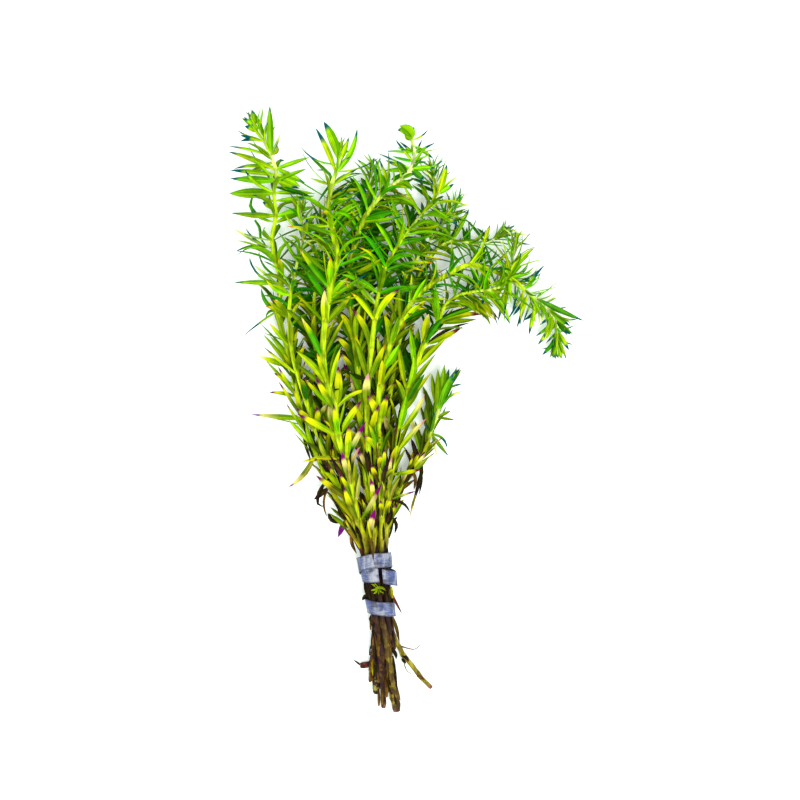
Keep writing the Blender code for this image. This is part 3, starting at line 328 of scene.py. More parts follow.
FRONT_LEAVES = known_leaves(
    (-24, 86, -29.3, 101, 2.6, "TEAL", 0, 1.45, 0.03), (-24.5, 84, -32.1, 98.9, 1.4, "TEAL", 0, 1.5),
    (-24.5, 84, -17.2, 98.9, 1.4, "TEAL", -0.1, 1.4),
    (-25.6, 80.5, -37.5, 92.6, 1.4, "TEAL", -0.15, 0.3, 0.06), (-24.3, 85, -20.4, 95.6, 1.8, "TEAL"),
    (-26.8, 43.2, -26.7, 53.6, 2.6, "ORANGE"), (-27.1, 37.1, -20.5, 46.4, 2.8, "SPOTTED"),
    (-28.6, 31, -28.6, 41.8, 2.5, "PINK"), (-28.8, 27.5, -38.6, 40.3, 2.3, "ORANGE"),
    (-28.8, 27.5, -19.1, 40.3, 2.2, "ORANGE"), (-29.2, 19, -36.8, 32.4, 2, "CREAM"),
    (-29, 20, -21.6, 33, 2.2, "ORANGE"), (-25.4, 0.9, -23.9, 15.6, 2.6, "PURPLE"),
    (-25.6, 0.9, -36.1, 11.6, 2.2, "PURPLE"), (-25, 0.9, -12.3, 7, 1.9, "RED", 0.1, 0.7),
    (-24.2, -8.5, -27.1, 3.2, 2.9, "PINK"), (-24.3, -9, -38.2, -1.2, 2.2, "PURPLE"),
    (-23.7, -8.4, -15.5, 3.7, 2.3, "PURPLE"), (-21.8, -16.6, -14.4, -3.5, 2, "MAGENTA"),
    (-21.9, -16.8, -36.5, -18.2, 1.8, "SPOTTED", 0.08), (-18.8, -30, -24.3, -17.3, 2.4, "PINK"),
    (-19, -31.5, -31.9, -22.6, 2.5, "PURPLE"), (-17, -38.5, -28.1, -27.3, 2.5, "CREAM"),
    (-16.5, -39, -22, -26.2, 2.3, "PURPLE"), (-16.4, -38.5, -8.1, -24.8, 2.2, "MAGENTA"),
    (-14.4, -45, -10.9, -34.1, 2.4, "MAGENTA"),
)
ARCH_LEAVES = known_leaves(
    (46.8, 38.3, 62.3, 30.9, 2, "GREEN", 0.06, 0.9, -0.07), (48.3, 37, 56.3, 36.4, 0.8, "TEAL"),
    (43, 41.2, 48.4, 51.1, 1, "TEAL"), (40, 43, 45.5, 46.8, 1.2, "TEAL"), (33.5, 47, 31.5, 31, 1.6, "TEAL"),
    (28, 49.5, 26.2, 35.8, 1.4, "TEAL"), (37.5, 44.8, 34, 32.4, 1.3, "TEAL"),
    (41.5, 41.9, 39.3, 29.4, 1.4, "TEAL"), (45.5, 39, 42.9, 26.2, 1.8, "TEAL"),
    (51.8, 32, 45.6, 23, 1.8, "TEAL"), (52.5, 24, 47.3, 19.4, 1.2, "TEAL"),
    (52.5, 24, 54.2, 18.1, 1.8, "TEAL"), (52.6, 25, 58.3, 23.2, 1.2, "TEAL"),
    (52.6, 28, 58.6, 29.7, 1.2, "TEAL"),
)
INNER_RIGHT_LEAVES = known_leaves(
    (-6.6, -64.2, -1.8, -71.6, 1.2, "MAROON", 0, 1, 0, -0.4), (35.8, 48, 44.3, 56.9, 2, "TEAL", 0.1),
    (10.9, 31, 26.4, 33.7, 2.7, "RED", 0.05), (10.5, 30.5, 8.5, 41.5, 2.4, "PLAIN"),
    (6, 23.4, 22.3, 30.5, 1.3, "DARK", 0.08), (5.8, 23.2, 19.6, 29.4, 2.3, "RED", -0.03, 1, 0, -2),
    (5.6, 23.2, 7.7, 34, 2.8, "CREAM"), (3, 15.5, 14.4, 25.5, 2.3, "PLAIN"),
    (2.9, 15.6, 3.6, 28.4, 2.9, "PLAIN"), (0.7, 7.8, 10.5, 19.8, 2.1, "PURPLE"),
    (0.6, 7.8, -3, 23.3, 2.2, "PLAIN"), (-0.6, 2.8, 9, 13.6, 2.3, "CREAM"),
    (-2.6, -6, 6, 6, 2, "PINK", -0.06), (-4, -13.5, 7.1, -2.9, 1.9, "PINK"),
    (-5.6, -22.8, 5.4, -20.6, 1.6, "RED"), (-6.2, -28.5, 3.2, -28.2, 1.5, "MAGENTA"),
    (-6.3, -29.5, 1.2, -36, 1.2, "DARK", 0.15),
)
FAR_LEFT_LEAVES = known_leaves(
    (-52.2, 99, -54.6, 105.8, 1.6, "TEAL"), (-51.8, 98.2, -57.6, 102.2, 1.2, "TEAL", 0.15),
    (-48.8, 91.5, -48.3, 107, 2.6, "TEAL", -0.06, 1, -0.09), (-48, 90, -62.8, 92.4, 1.2, "TEAL", 0.05),
    (-47, 87.5, -63.1, 90.4, 2, "TEAL", 0.04), (-46.6, 86.5, -60.8, 84.4, 1.6, "TEAL", 0.1, 0.6),
    (-46.2, 80.5, -62.3, 81.4, 2.4, "TEAL"), (-46.6, 75.4, -62.5, 75.8, 2.9, "PLAIN", 0, 1.7),
    (-45.9, 67.4, -62.1, 69.5, 2.3, "TEAL", 0, 1, -0.05),
    (-47.2, 58.5, -61.8, 64.2, 1.8, "PALE", 0, 0.3, -0.07),
    (-46.6, 54.5, -60.8, 55.5, 1.8, "GREEN", 0.1, 0.35), (-45.2, 48, -55.4, 54.8, 1.5, "TEAL", -0.22, 0.45),
    (-44.2, 43.8, -61.1, 44.6, 2.7, "TEAL", 0, 0.75), (-44.9, 36, -50.9, 42.9, 1.8, "GREEN", -0.15, 0.6),
    (-44.6, 33, -57.9, 25.3, 1.1, "TEAL", 0, 0.6), (-42.5, 21.5, -50.6, 27.2, 1.9, "PLAIN", 0, 0.25),
    (-40.2, 13.5, -52, 19, 2.3, "CREAM", 0, 0.6), (-39.2, 8.5, -46.9, 13.1, 1.2, "PURPLE"),
    (-37, 1.5, -48.5, 6.5, 2, "PURPLE", 0, 0.75), (-36, -2.5, -54.7, -1.6, 1.9, "VIOLET_END", 0, 0.25),
    (-45.8, 83.5, -33.7, 88.6, 1.7, "PLAIN"), (-45.8, 84.5, -35.6, 79.6, 1.5, "TEAL"),
    (-46.5, 76.6, -31.9, 75.8, 1.6, "PLAIN"), (-45.6, 71.6, -31.9, 71.8, 2.4, "PLAIN"),
    (-33.5, -10.5, -37, -3, 1.3, "DARK"),
    (-30.8, -17.5, -41.7, -27.1, 1.9, "VIOLET_END", -0.05, 1.05, -0.03),
    (-26, -28.2, -32.6, -31.3, 1.8, "DARK"), (-26.8, -26.8, -27.6, -37.5, 2.4, "BROWN", 0.15, 0.4),
    (-21.5, -37.5, -24.3, -44.6, 1.8, "VIOLET", 0, 1.3),
)
FAR_LEFT_EXTRA = known_leaves(
    (-47.5, 90, -45.7, 93.4, 1.2, "TEAL", -0.3), (-46.2, 69.5, -50.6, 73, 1.6, "TEAL"),
    (-47.4, 57.2, -56.9, 64.3, 0.6, "TEAL", 0, 1, -0.1),
    (-47.4, 56.2, -61.1, 53, 0.5, "TEAL", 0.1, 1, 0.06),
    (-46.2, 47.2, -52, 56.2, 0.9, "GREEN", 0, 1, -0.18), (-44.4, 34, -49.5, 32.1, 0.8, "GREEN", 0.3),
    (-47.6, 56.6, -61.3, 64.4, 0.75, "PALE", 0, 1, -0.08),
    (-47.2, 55.8, -60.2, 55.7, 0.95, "GREEN", 0, 1, 0.09),
    (-46.4, 45.4, -55.5, 54.4, 0.6, "TEAL", 0, 1, -0.2), (-38.8, 7.5, -50, 17.6, 1.1, "PLAIN"),
    (-36.4, -6.6, -42.6, 2.6, 1.2, "PURPLE"), (-46.3, 79.5, -37.5, 77.9, 1.6, "TEAL"),
    (-46.3, 83, -62.4, 84.4, 1.5, "TEAL"), (-39.5, 5.5, -47.2, 6.8, 1.4, "PURPLE"),
    (-50.5, 95, -58.6, 96.6, 1, "TEAL"), (-50.2, 94.6, -58.6, 94.2, 1, "TEAL", 0.1),
    (-51.5, 97.5, -57, 99.6, 1.6, "TEAL"), (-50.8, 96, -52.6, 103.2, 1.9, "PLAIN"),
    (-45, 83.5, -37.3, 78.3, 1.6, "PLAIN"), (-45.4, 79.6, -33.7, 75, 1.1, "TEAL", -0.1),
    (-45.4, 65.5, -35, 69.3, 2, "PLAIN"), (-46.8, 66.5, -55.2, 73.8, 1.1, "TEAL", 0, 1, -0.2),
    (-39.9, 15.4, -50.8, 26.9, 1, "PLAIN"), (-36.4, 4.4, -46.5, 13.2, 1.2, "PURPLE"),
    (-37.4, -2.2, -55.2, -1.6, 2.8, "VIOLET_END"), (-47.2, 87.6, -56.4, 83.5, 1.7, "PLAIN"),
    (-45.8, 77.9, -33.9, 74.9, 1.3, "SHADED"), (-45.4, 73.6, -32.2, 75.3, 1.4, "PLAIN"),
    (-19.8, -40.2, -27.2, -36, 1.8, "PLAIN"),
)
FRONT_EXTRA = known_leaves(
    (-26, 83, -9.5, 88.7, 0.8, "TEAL", -0.12), (-24.4, 86, -37.4, 92.6, 1, "TEAL", 0, 1, -0.17),
    (-26, 81, -34, 88.6, 1.3, "GREEN"), (-26.4, 79.4, -34, 81, 1.5, "PLAIN"),
    (-26.6, 78.6, -31, 72.6, 1.3, "SHADED"),
)
# The last number of a row is a width from above, and the blade is a little narrower
ARCH_EXTRA = known_leaves(*((*row[:4], 0.85 * row[4], "TEAL") for row in (
    (52.5, 24.5, 50.9, 17.9, 1.4), (52.6, 24.8, 55.9, 17.9, 1.4), (52.9, 27.8, 56.8, 21, 1.6),
    (52.9, 29, 57.6, 26.6, 1.3), (51.5, 31.5, 45.2, 25.9, 1.4), (50.5, 34, 47.9, 25, 1.5),
    (43.4, 40.6, 37, 33, 1.2), (38.5, 44, 36.9, 35.2, 1.2), (47.5, 37.5, 41, 31.6, 1.3),
    (41, 42.2, 34.8, 31.5, 1.2), (43, 40.8, 38, 28.6, 1.3), (44.6, 39.6, 40.4, 30.6, 1.1),
    (36.5, 45.4, 33.2, 36, 1.1), (47, 37.8, 43.4, 33, 1.1), (50.8, 33.4, 46.4, 30, 1.1),
    (52.4, 26.5, 48.6, 23.6, 1), (52.7, 28.5, 56.2, 31, 1), (33, 47.2, 29.8, 38.4, 1.2),
    (39.5, 43.2, 43, 47, 1), (52.4, 23.4, 52, 17.8, 1.3), (52.5, 23.8, 47.6, 21.6, 1),
)))
FAR_LEFT_CURLS = curled_leaves(
    (1.5, "DARK", 25, -27.4, -23.8, 6.8, -29.8, -26.8, 7, -31.4, -30.8, 6.2, -30.9, -33.4, 5, -28.6,
     -33.6, 5),
    (1.2, "DARK", 25, -36.2, -9.3, 6, -35.2, -13.5, 6, -33.6, -18, 6),
    (1.1, "RED", 25, -20.4, -42, 7, -17.6, -46, 8.4, -15.2, -50.4, 9.4),
    (1.7, "DARK", 25, -27.6, -36.2, 5.6, -26.6, -38.3, 5, -23.4, -39.6, 5),
    (0.8, "DARK", 25, -16.2, -89.7, 1.8, -17.4, -88.8, 2, -18.9, -87.7, 2.4),
    (1.4, "GREEN", 25, -54, 75.2, 7.2, -54.9, 71.6, 6.8, -52.8, 68.6, 6.8, -47.6, 67.6, 7),
    (1.2, "GREEN", 25, -53.4, 66.8, 6.6, -51.6, 63.9, 6.6, -51.4, 60.6, 6.4, -49.2, 57.6, 6.4),
    (1.5, "BROWN", 25, -19.6, -42.5, 5.6, -19.3, -46.5, 5.6, -17.6, -50.4, 5.6),
    (1.2, "DARK", 25, -12.4, -72, 5.4, -12.9, -73.2, 5.2, -12.2, -74.6, 5),
)
LEFT_CURLS = curled_leaves(
    (1.1, "BROWN", 25, -11.4, -83, 4.9, -11.4, -88, 4.2, -10.2, -91.6, 3.4),
    (0.9, "ORANGE", 25, -11.8, -86, 4.4, -12.3, -90, 3.8, -11.9, -93.5, 3),
)
LEFT_ROOTS = (
    Root(((-13.1, -95.2, 1.6), (-12.8, -97.0, 1.0), (-12.3, -99.0, 0.3)), 0.28, PALE),
    Root(((-12.0, -91.5, 2.6), (-10.9, -92.9, 2.2), (-11.4, -94.0, 1.4)), 0.2, ORANGE),
)
MIDDLE_RIGHT_LEAVES = known_leaves(
    (10.8, 78.5, 14, 86.2, 2.2, "TEAL"), (10.6, 75.8, 16.5, 79.5, 1.6, "TEAL"),
)
MIDDLE_RIGHT_CURLS = curled_leaves(
    (1, "SPOTTED", 40, -10.4, -62, 10.9, -11.5, -61, 11.3, -12.5, -60.6, 10.9),
    (1, "SPOTTED", 40, -10.4, -62.2, 10.9, -11.5, -62.7, 11.2, -12.7, -62.8, 10.6),
    (0.9, "SPOTTED", 40, -10.3, -62.4, 10.9, -10.9, -63.4, 11.1, -11.8, -64.1, 10.5),
    (1.2, "SPOTTED", 40, -10.1, -61.6, 10.9, -8.9, -61.9, 11.6, -7.3, -63, 10.6),
    (0.9, "SPOTTED", 40, -9.8, -62.4, 10.9, -10.6, -61.2, 11.4, -11.3, -60.2, 11.2),
    (0.8, "SPOTTED", 40, -9.6, -62.6, 10.8, -9.1, -63.2, 11.2, -8, -63.8, 10.4),
    (0.8, "SPOTTED", 40, -10, -62.6, 10.8, -9.8, -63.6, 11, -10, -64.4, 10.4),
    (1.4, "BROWN", 25, -4.9, -72.3, 7.2, -3.6, -76.5, 6.4, -2.6, -81.7, 5),
    (1.6, "DARK", 25, -5.2, -83.6, 6.6, -4, -85.6, 5.6, -3.8, -87.4, 4.6),
    (1.5, "DARK", 25, -5, -86, 5.6, -4.3, -92, 4.2, -3.3, -98.5, 3.4),
    (1.5, "BROWN", 25, -8.4, -81.6, 7.4, -6.6, -83, 7.5, -4.6, -82.2, 6.7),
)
LEFT_LEAVES = known_leaves(
    (-38.2, 52, -45, 62, 1.8, "TEAL"), (-40.5, 22, -48, 30.5, 1.8, "ORANGE"),
)
LOW_RIGHT_LEAVES = known_leaves(
    (11.5, 1, 13.4, 16.4, 2.6, "PLAIN", -0.05), (15.6, 9.8, 17.6, 13.9, 1.6, "TEAL"),
    (14.8, 8.4, 19.2, 9.3, 1, "TEAL"), (12.3, 3.3, 19.8, 6.7, 1, "PALE", 0.1),
    (9.9, -3.2, 15.6, -0.2, 1.4, "PLAIN"), (9.8, -3.6, 16.8, -3.4, 1.4, "TEAL"),
    (8.9, -6.2, 14.3, -13.8, 1.1, "TEAL", 0.18), (7.4, -10.2, 14.5, -16.3, 1.6, "TEAL"),
    (6.6, -12.5, 0.8, -1.5, 2, "PINK"),
)
LOW_RIGHT_EXTRA = known_leaves(
    (13, 5.5, 17.4, 11.3, 1.6, "TEAL", 0.1), (8.9, -6.2, 11, -16.9, 0.8, "PALE", -0.05),
    (6.3, 2, 13.1, 16.2, 2.7, "PLAIN"), (8.8, 1.2, 16.4, 13.6, 2.2, "TEAL"),
    (8.3, -0.4, 14.9, 11.3, 2, "TEAL"), (5.2, -4.4, 6.8, 7.2, 1.8, "SHADED"), (6, -5, 9.8, 5.6, 2, "PLAIN"),
    (8, -3, 5.4, 8.5, 2.4, "SHADED"), (10.5, 0.5, 8.4, 13, 2.5, "PLAIN"),
    (10.5, 0.5, 11, 14.8, 2.6, "PLAIN"), (7, -7, 4, 3, 2, "SHADED"), (11.5, 2.5, 14.6, 14.6, 2.2, "TEAL"),
    (2.4, -19.5, 5.9, -9.6, 1.7, "RED"), (3.6, -18, 1.4, -9.8, 1.8, "DARK"),
    (-0.6, -24, 4.2, -16.8, 2, "SHADED"), (-1.8, -26, 2.6, -19, 1.8, "DARK"),
    (-3.2, -28.5, 3, -24.2, 1.5, "BROWN"), (6, -13.5, 2.8, -3.4, 2, "SHADED"),
    (4.6, -16.6, 6.6, -5.2, 1.8, "SHADED"), (8.6, -7, 6.6, 2.4, 2.2, "SHADED"),
    (2, -20.4, -1.4, -12.6, 1.8, "DARK"), (0.6, -22, 3.2, -12.8, 1.9, "PLAIN"),
)
LOW_RIGHT_CURLS = curled_leaves(
    (1.6, "DARK", 25, 4.4, -16.6, 6.6, 5.3, -19.6, 6.4, 4.2, -25, 5.8, 2.8, -30.2, 5, 1.5, -34.2, 4.2),
    (1, "PINK", 25, 3, -29.6, 5.2, 1.9, -33.4, 4.4, 1.1, -37.6, 3.4),
    (1.2, "DARK", 25, 4.4, -19, 6, 5.1, -23.6, 5.6, 4.3, -29.8, 4.6),
    (1.4, "BROWN", 25, 1.6, -20.5, 6.6, 3, -24, 6.2, 2.4, -28, 5.4),
)
CENTRE_LEAVES = known_leaves(
    (0.9, 96.4, -3.4, 98.2, 3, "TEAL", 0.2), (1.6, 94.6, 7.6, 98.5, 0.9, "TEAL", -0.1),
    (2.5, 91.5, 10, 93.7, 0.9, "TEAL"), (2.6, 90.8, 12.9, 92.1, 0.8, "PALE"),
    (2.4, 87, 12.9, 87.9, 1.2, "TEAL", -0.1), (2.5, 90.6, -7.5, 90.8, 1.3, "TEAL"),
    (2.3, 87.8, -10.6, 90, 1, "TEAL"), (1.4, 84.6, -7.4, 87.7, 1.4, "TEAL"),
    (-5, 78.4, -9.6, 87.6, 1.4, "TEAL"),
)
CENTRE_EXTRA = known_leaves(
    (2.6, 91, 5.3, 94.9, 0.8, "TEAL"), (2.2, 86, 7.6, 89.5, 0.9, "PLAIN"),
    (1.2, 84.4, 9.8, 84.4, 1.6, "TEAL", 0.05), (2.6, 91.4, 9.2, 88.2, 1.4, "TEAL", 0, 1, -0.06),
    (1.8, 89.6, -3.4, 92, 1.4, "PLAIN"), (1.8, 89, -1.6, 91.6, 1.2, "PLAIN"),
    (1.4, 86, -5.2, 88.8, 0.9, "PLAIN"), (0.8, 84.6, -7.8, 84, 1.7, "TEAL"),
    (0.4, 83.6, -3.6, 87, 2.2, "GREEN"), (2.4, 88.2, 5.8, 91.4, 1.2, "PLAIN"),
    (2.2, 87, 6.8, 86.8, 1, "GREEN"), (1.8, 85.4, 5.4, 88.2, 1, "GREEN"),
    (1.6, 84.8, 6, 80.6, 2.2, "GREEN"), (0.2, 83.4, -5.6, 80.6, 2, "SHADED"),
    (2.2, 88.5, -4.2, 94.7, 1, "TEAL"), (2.2, 89, -2.7, 94.2, 1, "TEAL"),
)
RIGHT_LEAVES = known_leaves(
    (25, 58.4, 29, 65.2, 1.5, "TEAL"), (31.5, 60.8, 44, 58.6, 1, "TEAL", -0.1),
    (16.8, 59.5, 21.7, 70.8, 1.9, "TEAL"), (33.5, 62, 42.2, 62.3, 0.8, "PALE"),
)
RIGHT_EXTRA = known_leaves(
    (33.8, 62, 38, 65.1, 0.9, "TEAL"), (33.8, 61.8, 39.1, 63.8, 0.8, "PALE"),
    (32.8, 61.4, 44.8, 61.5, 0.7, "PALE", 0.06), (33.6, 61.6, 34.8, 64.7, 1.2, "TEAL"),
)
UPPER_RIGHT_LEAVES = known_leaves(
    (16.4, 71, 18.9, 75, 1.2, "TEAL"), (17, 71.8, 21.9, 72.5, 0.9, "PALE"),
    (14.8, 68.6, 19, 67, 1.4, "TEAL"),
)
BACK_LEAVES = known_leaves(
    (-12.2, 84, -9.2, 88.6, 1.2, "TEAL"), (-12.4, 83, -17.5, 88, 1.5, "TEAL"),
)
INNER_RIGHT_EXTRA = known_leaves(*((36.4, 46.2, *row[:3], "PLAIN", row[3]) for row in (
    (30.4, 52.6, 1.5, 0.08), (34.6, 54.2, 1.3, -0.06), (39.8, 53, 1.5, 0.1), (43.6, 48.2, 1.2, 0),
    (28.2, 48.8, 1.4, 0.05), (28.4, 43.8, 1.6, -0.08), (31.6, 38.6, 1.4, 0.06), (36.2, 36.8, 1.5, -0.05),
    (41.4, 40.2, 1.3, 0.08),
)),
    (-0.6, -0.5, 4.6, 8, 1.9, "PLAIN"), (10.9, 30.4, 24.5, 32, 2, "PLAIN"),
    (37, 47.6, 42.9, 54.6, 1.8, "PLAIN"), (2.6, 10, 9.8, 19.4, 1.8, "PLAIN"),
)
INNER_RIGHT_CURLS = curled_leaves(
    (1.4, "DARK", 25, -4.9, -37.6, 7.4, -3.7, -39.9, 7.8, -4.3, -43.2, 7.2),
    (1.5, "ORANGE", 25, -5, -65.6, 9.2, -5.6, -63.2, 9.9, -5.2, -61.2, 9.8),
    (1.5, "DARK", 25, -1.6, -86.2, 3.9, -0.2, -86.9, 4.2, 0.7, -88.3, 3.4),
    (1.3, "DARK", 25, -1.9, -87.2, 3.8, -1, -88.2, 3.9, -0.3, -89, 3.2),
    (1.3, "BROWN", 25, 3.4, -93.4, 2.6, 5, -93.8, 3, 6.1, -94.9, 2.4),
)
INNER_RIGHT_ROOTS = (
    Root(((-1.9, -82.9, 4.0), (0.4, -83.6, 3.4), (2.4, -84.0, 2.4), (3.8, -83.4, 1.4),
          (4.8, -82.3, 0.6)), 0.62, paint(112, 74, 70)),
    Root(((-0.9, -88.4, 2.4), (-0.6, -90.4, 1.4), (0.3, -92.0, 0.8), (1.5, -92.9, 0.3)),
         0.5, paint(120, 96, 50)),
)
FRONT_CURLS = curled_leaves(
    (1.1, "BROWN", 25, -12.6, -44.6, 12, -12, -48.4, 13.2, -11.7, -52.4, 13.3),
    (1.8, "DARK", 25, -10.9, -80.6, 6.2, -11.3, -85.6, 5.6, -10.6, -90, 4.6),
    (1.6, "DARK", 25, -7.2, -96.2, 4, -5.6, -98.4, 4.2, -4.2, -101.2, 3.4),
    (2.2, "BROWN", 25, -7.2, -88, 4.6, -6.8, -93.5, 3.6, -6.7, -100, 2.6),
    (1.2, "DARK", 25, -7.6, -84, 5.6, -7, -90, 4.6, -6.4, -96, 3.6),
)
CENTRE_CURLS = curled_leaves(
    (4.4, "PLAIN", 24, 1.7, 95.2, 9.4, 1.5, 96.4, 10.6, 0.2, 97.9, 11.2, -2.5, 99.6, 10.6),
    (1.8, "PLAIN", 25, 1.2, 94.6, 9, 0, 95.6, 9.6, -0.9, 96.6, 9.6),
    (1.7, "PALE", 8, 2.5, 88, 10, 2.1, 92, 9.4, 1.6, 95.4, 9),
    (1.6, "DARK", 25, -13.8, -64.4, 6.6, -14.9, -65.4, 6.8, -15.8, -66.6, 6.2),
    (1.5, "BROWN", 25, -10.6, -82, 5.4, -11.2, -86, 5, -10.7, -90.5, 4),
)

HOLES = (
    (2.3, 34.6, 2.6, 2.6), (-0.5, 29.9, 4, 2.1), (7.2, 21, 2.3, 2.6), (3.3, 13.3, 1.6, 1.6),
    (-3.2, 15.2, 1.8, 3.5), (1, -7, 2.8, 3), (12.2, 52.3, 2, 4.7), (18.2, 53.9, 2.5, 3),
    (15.2, 44.6, 1.6, 1.4), (-2.6, 71.6, 1.9, 1.8), (5.6, 69.3, 3.1, 1.9), (1.4, 74.9, 1.4, 1.2),
    (-38.2, 76.1, 7, 9), (-42.5, 59, 3.5, 8), (-38.9, 37.1, 1.2, 3), (7, 4, 4, 9),
)

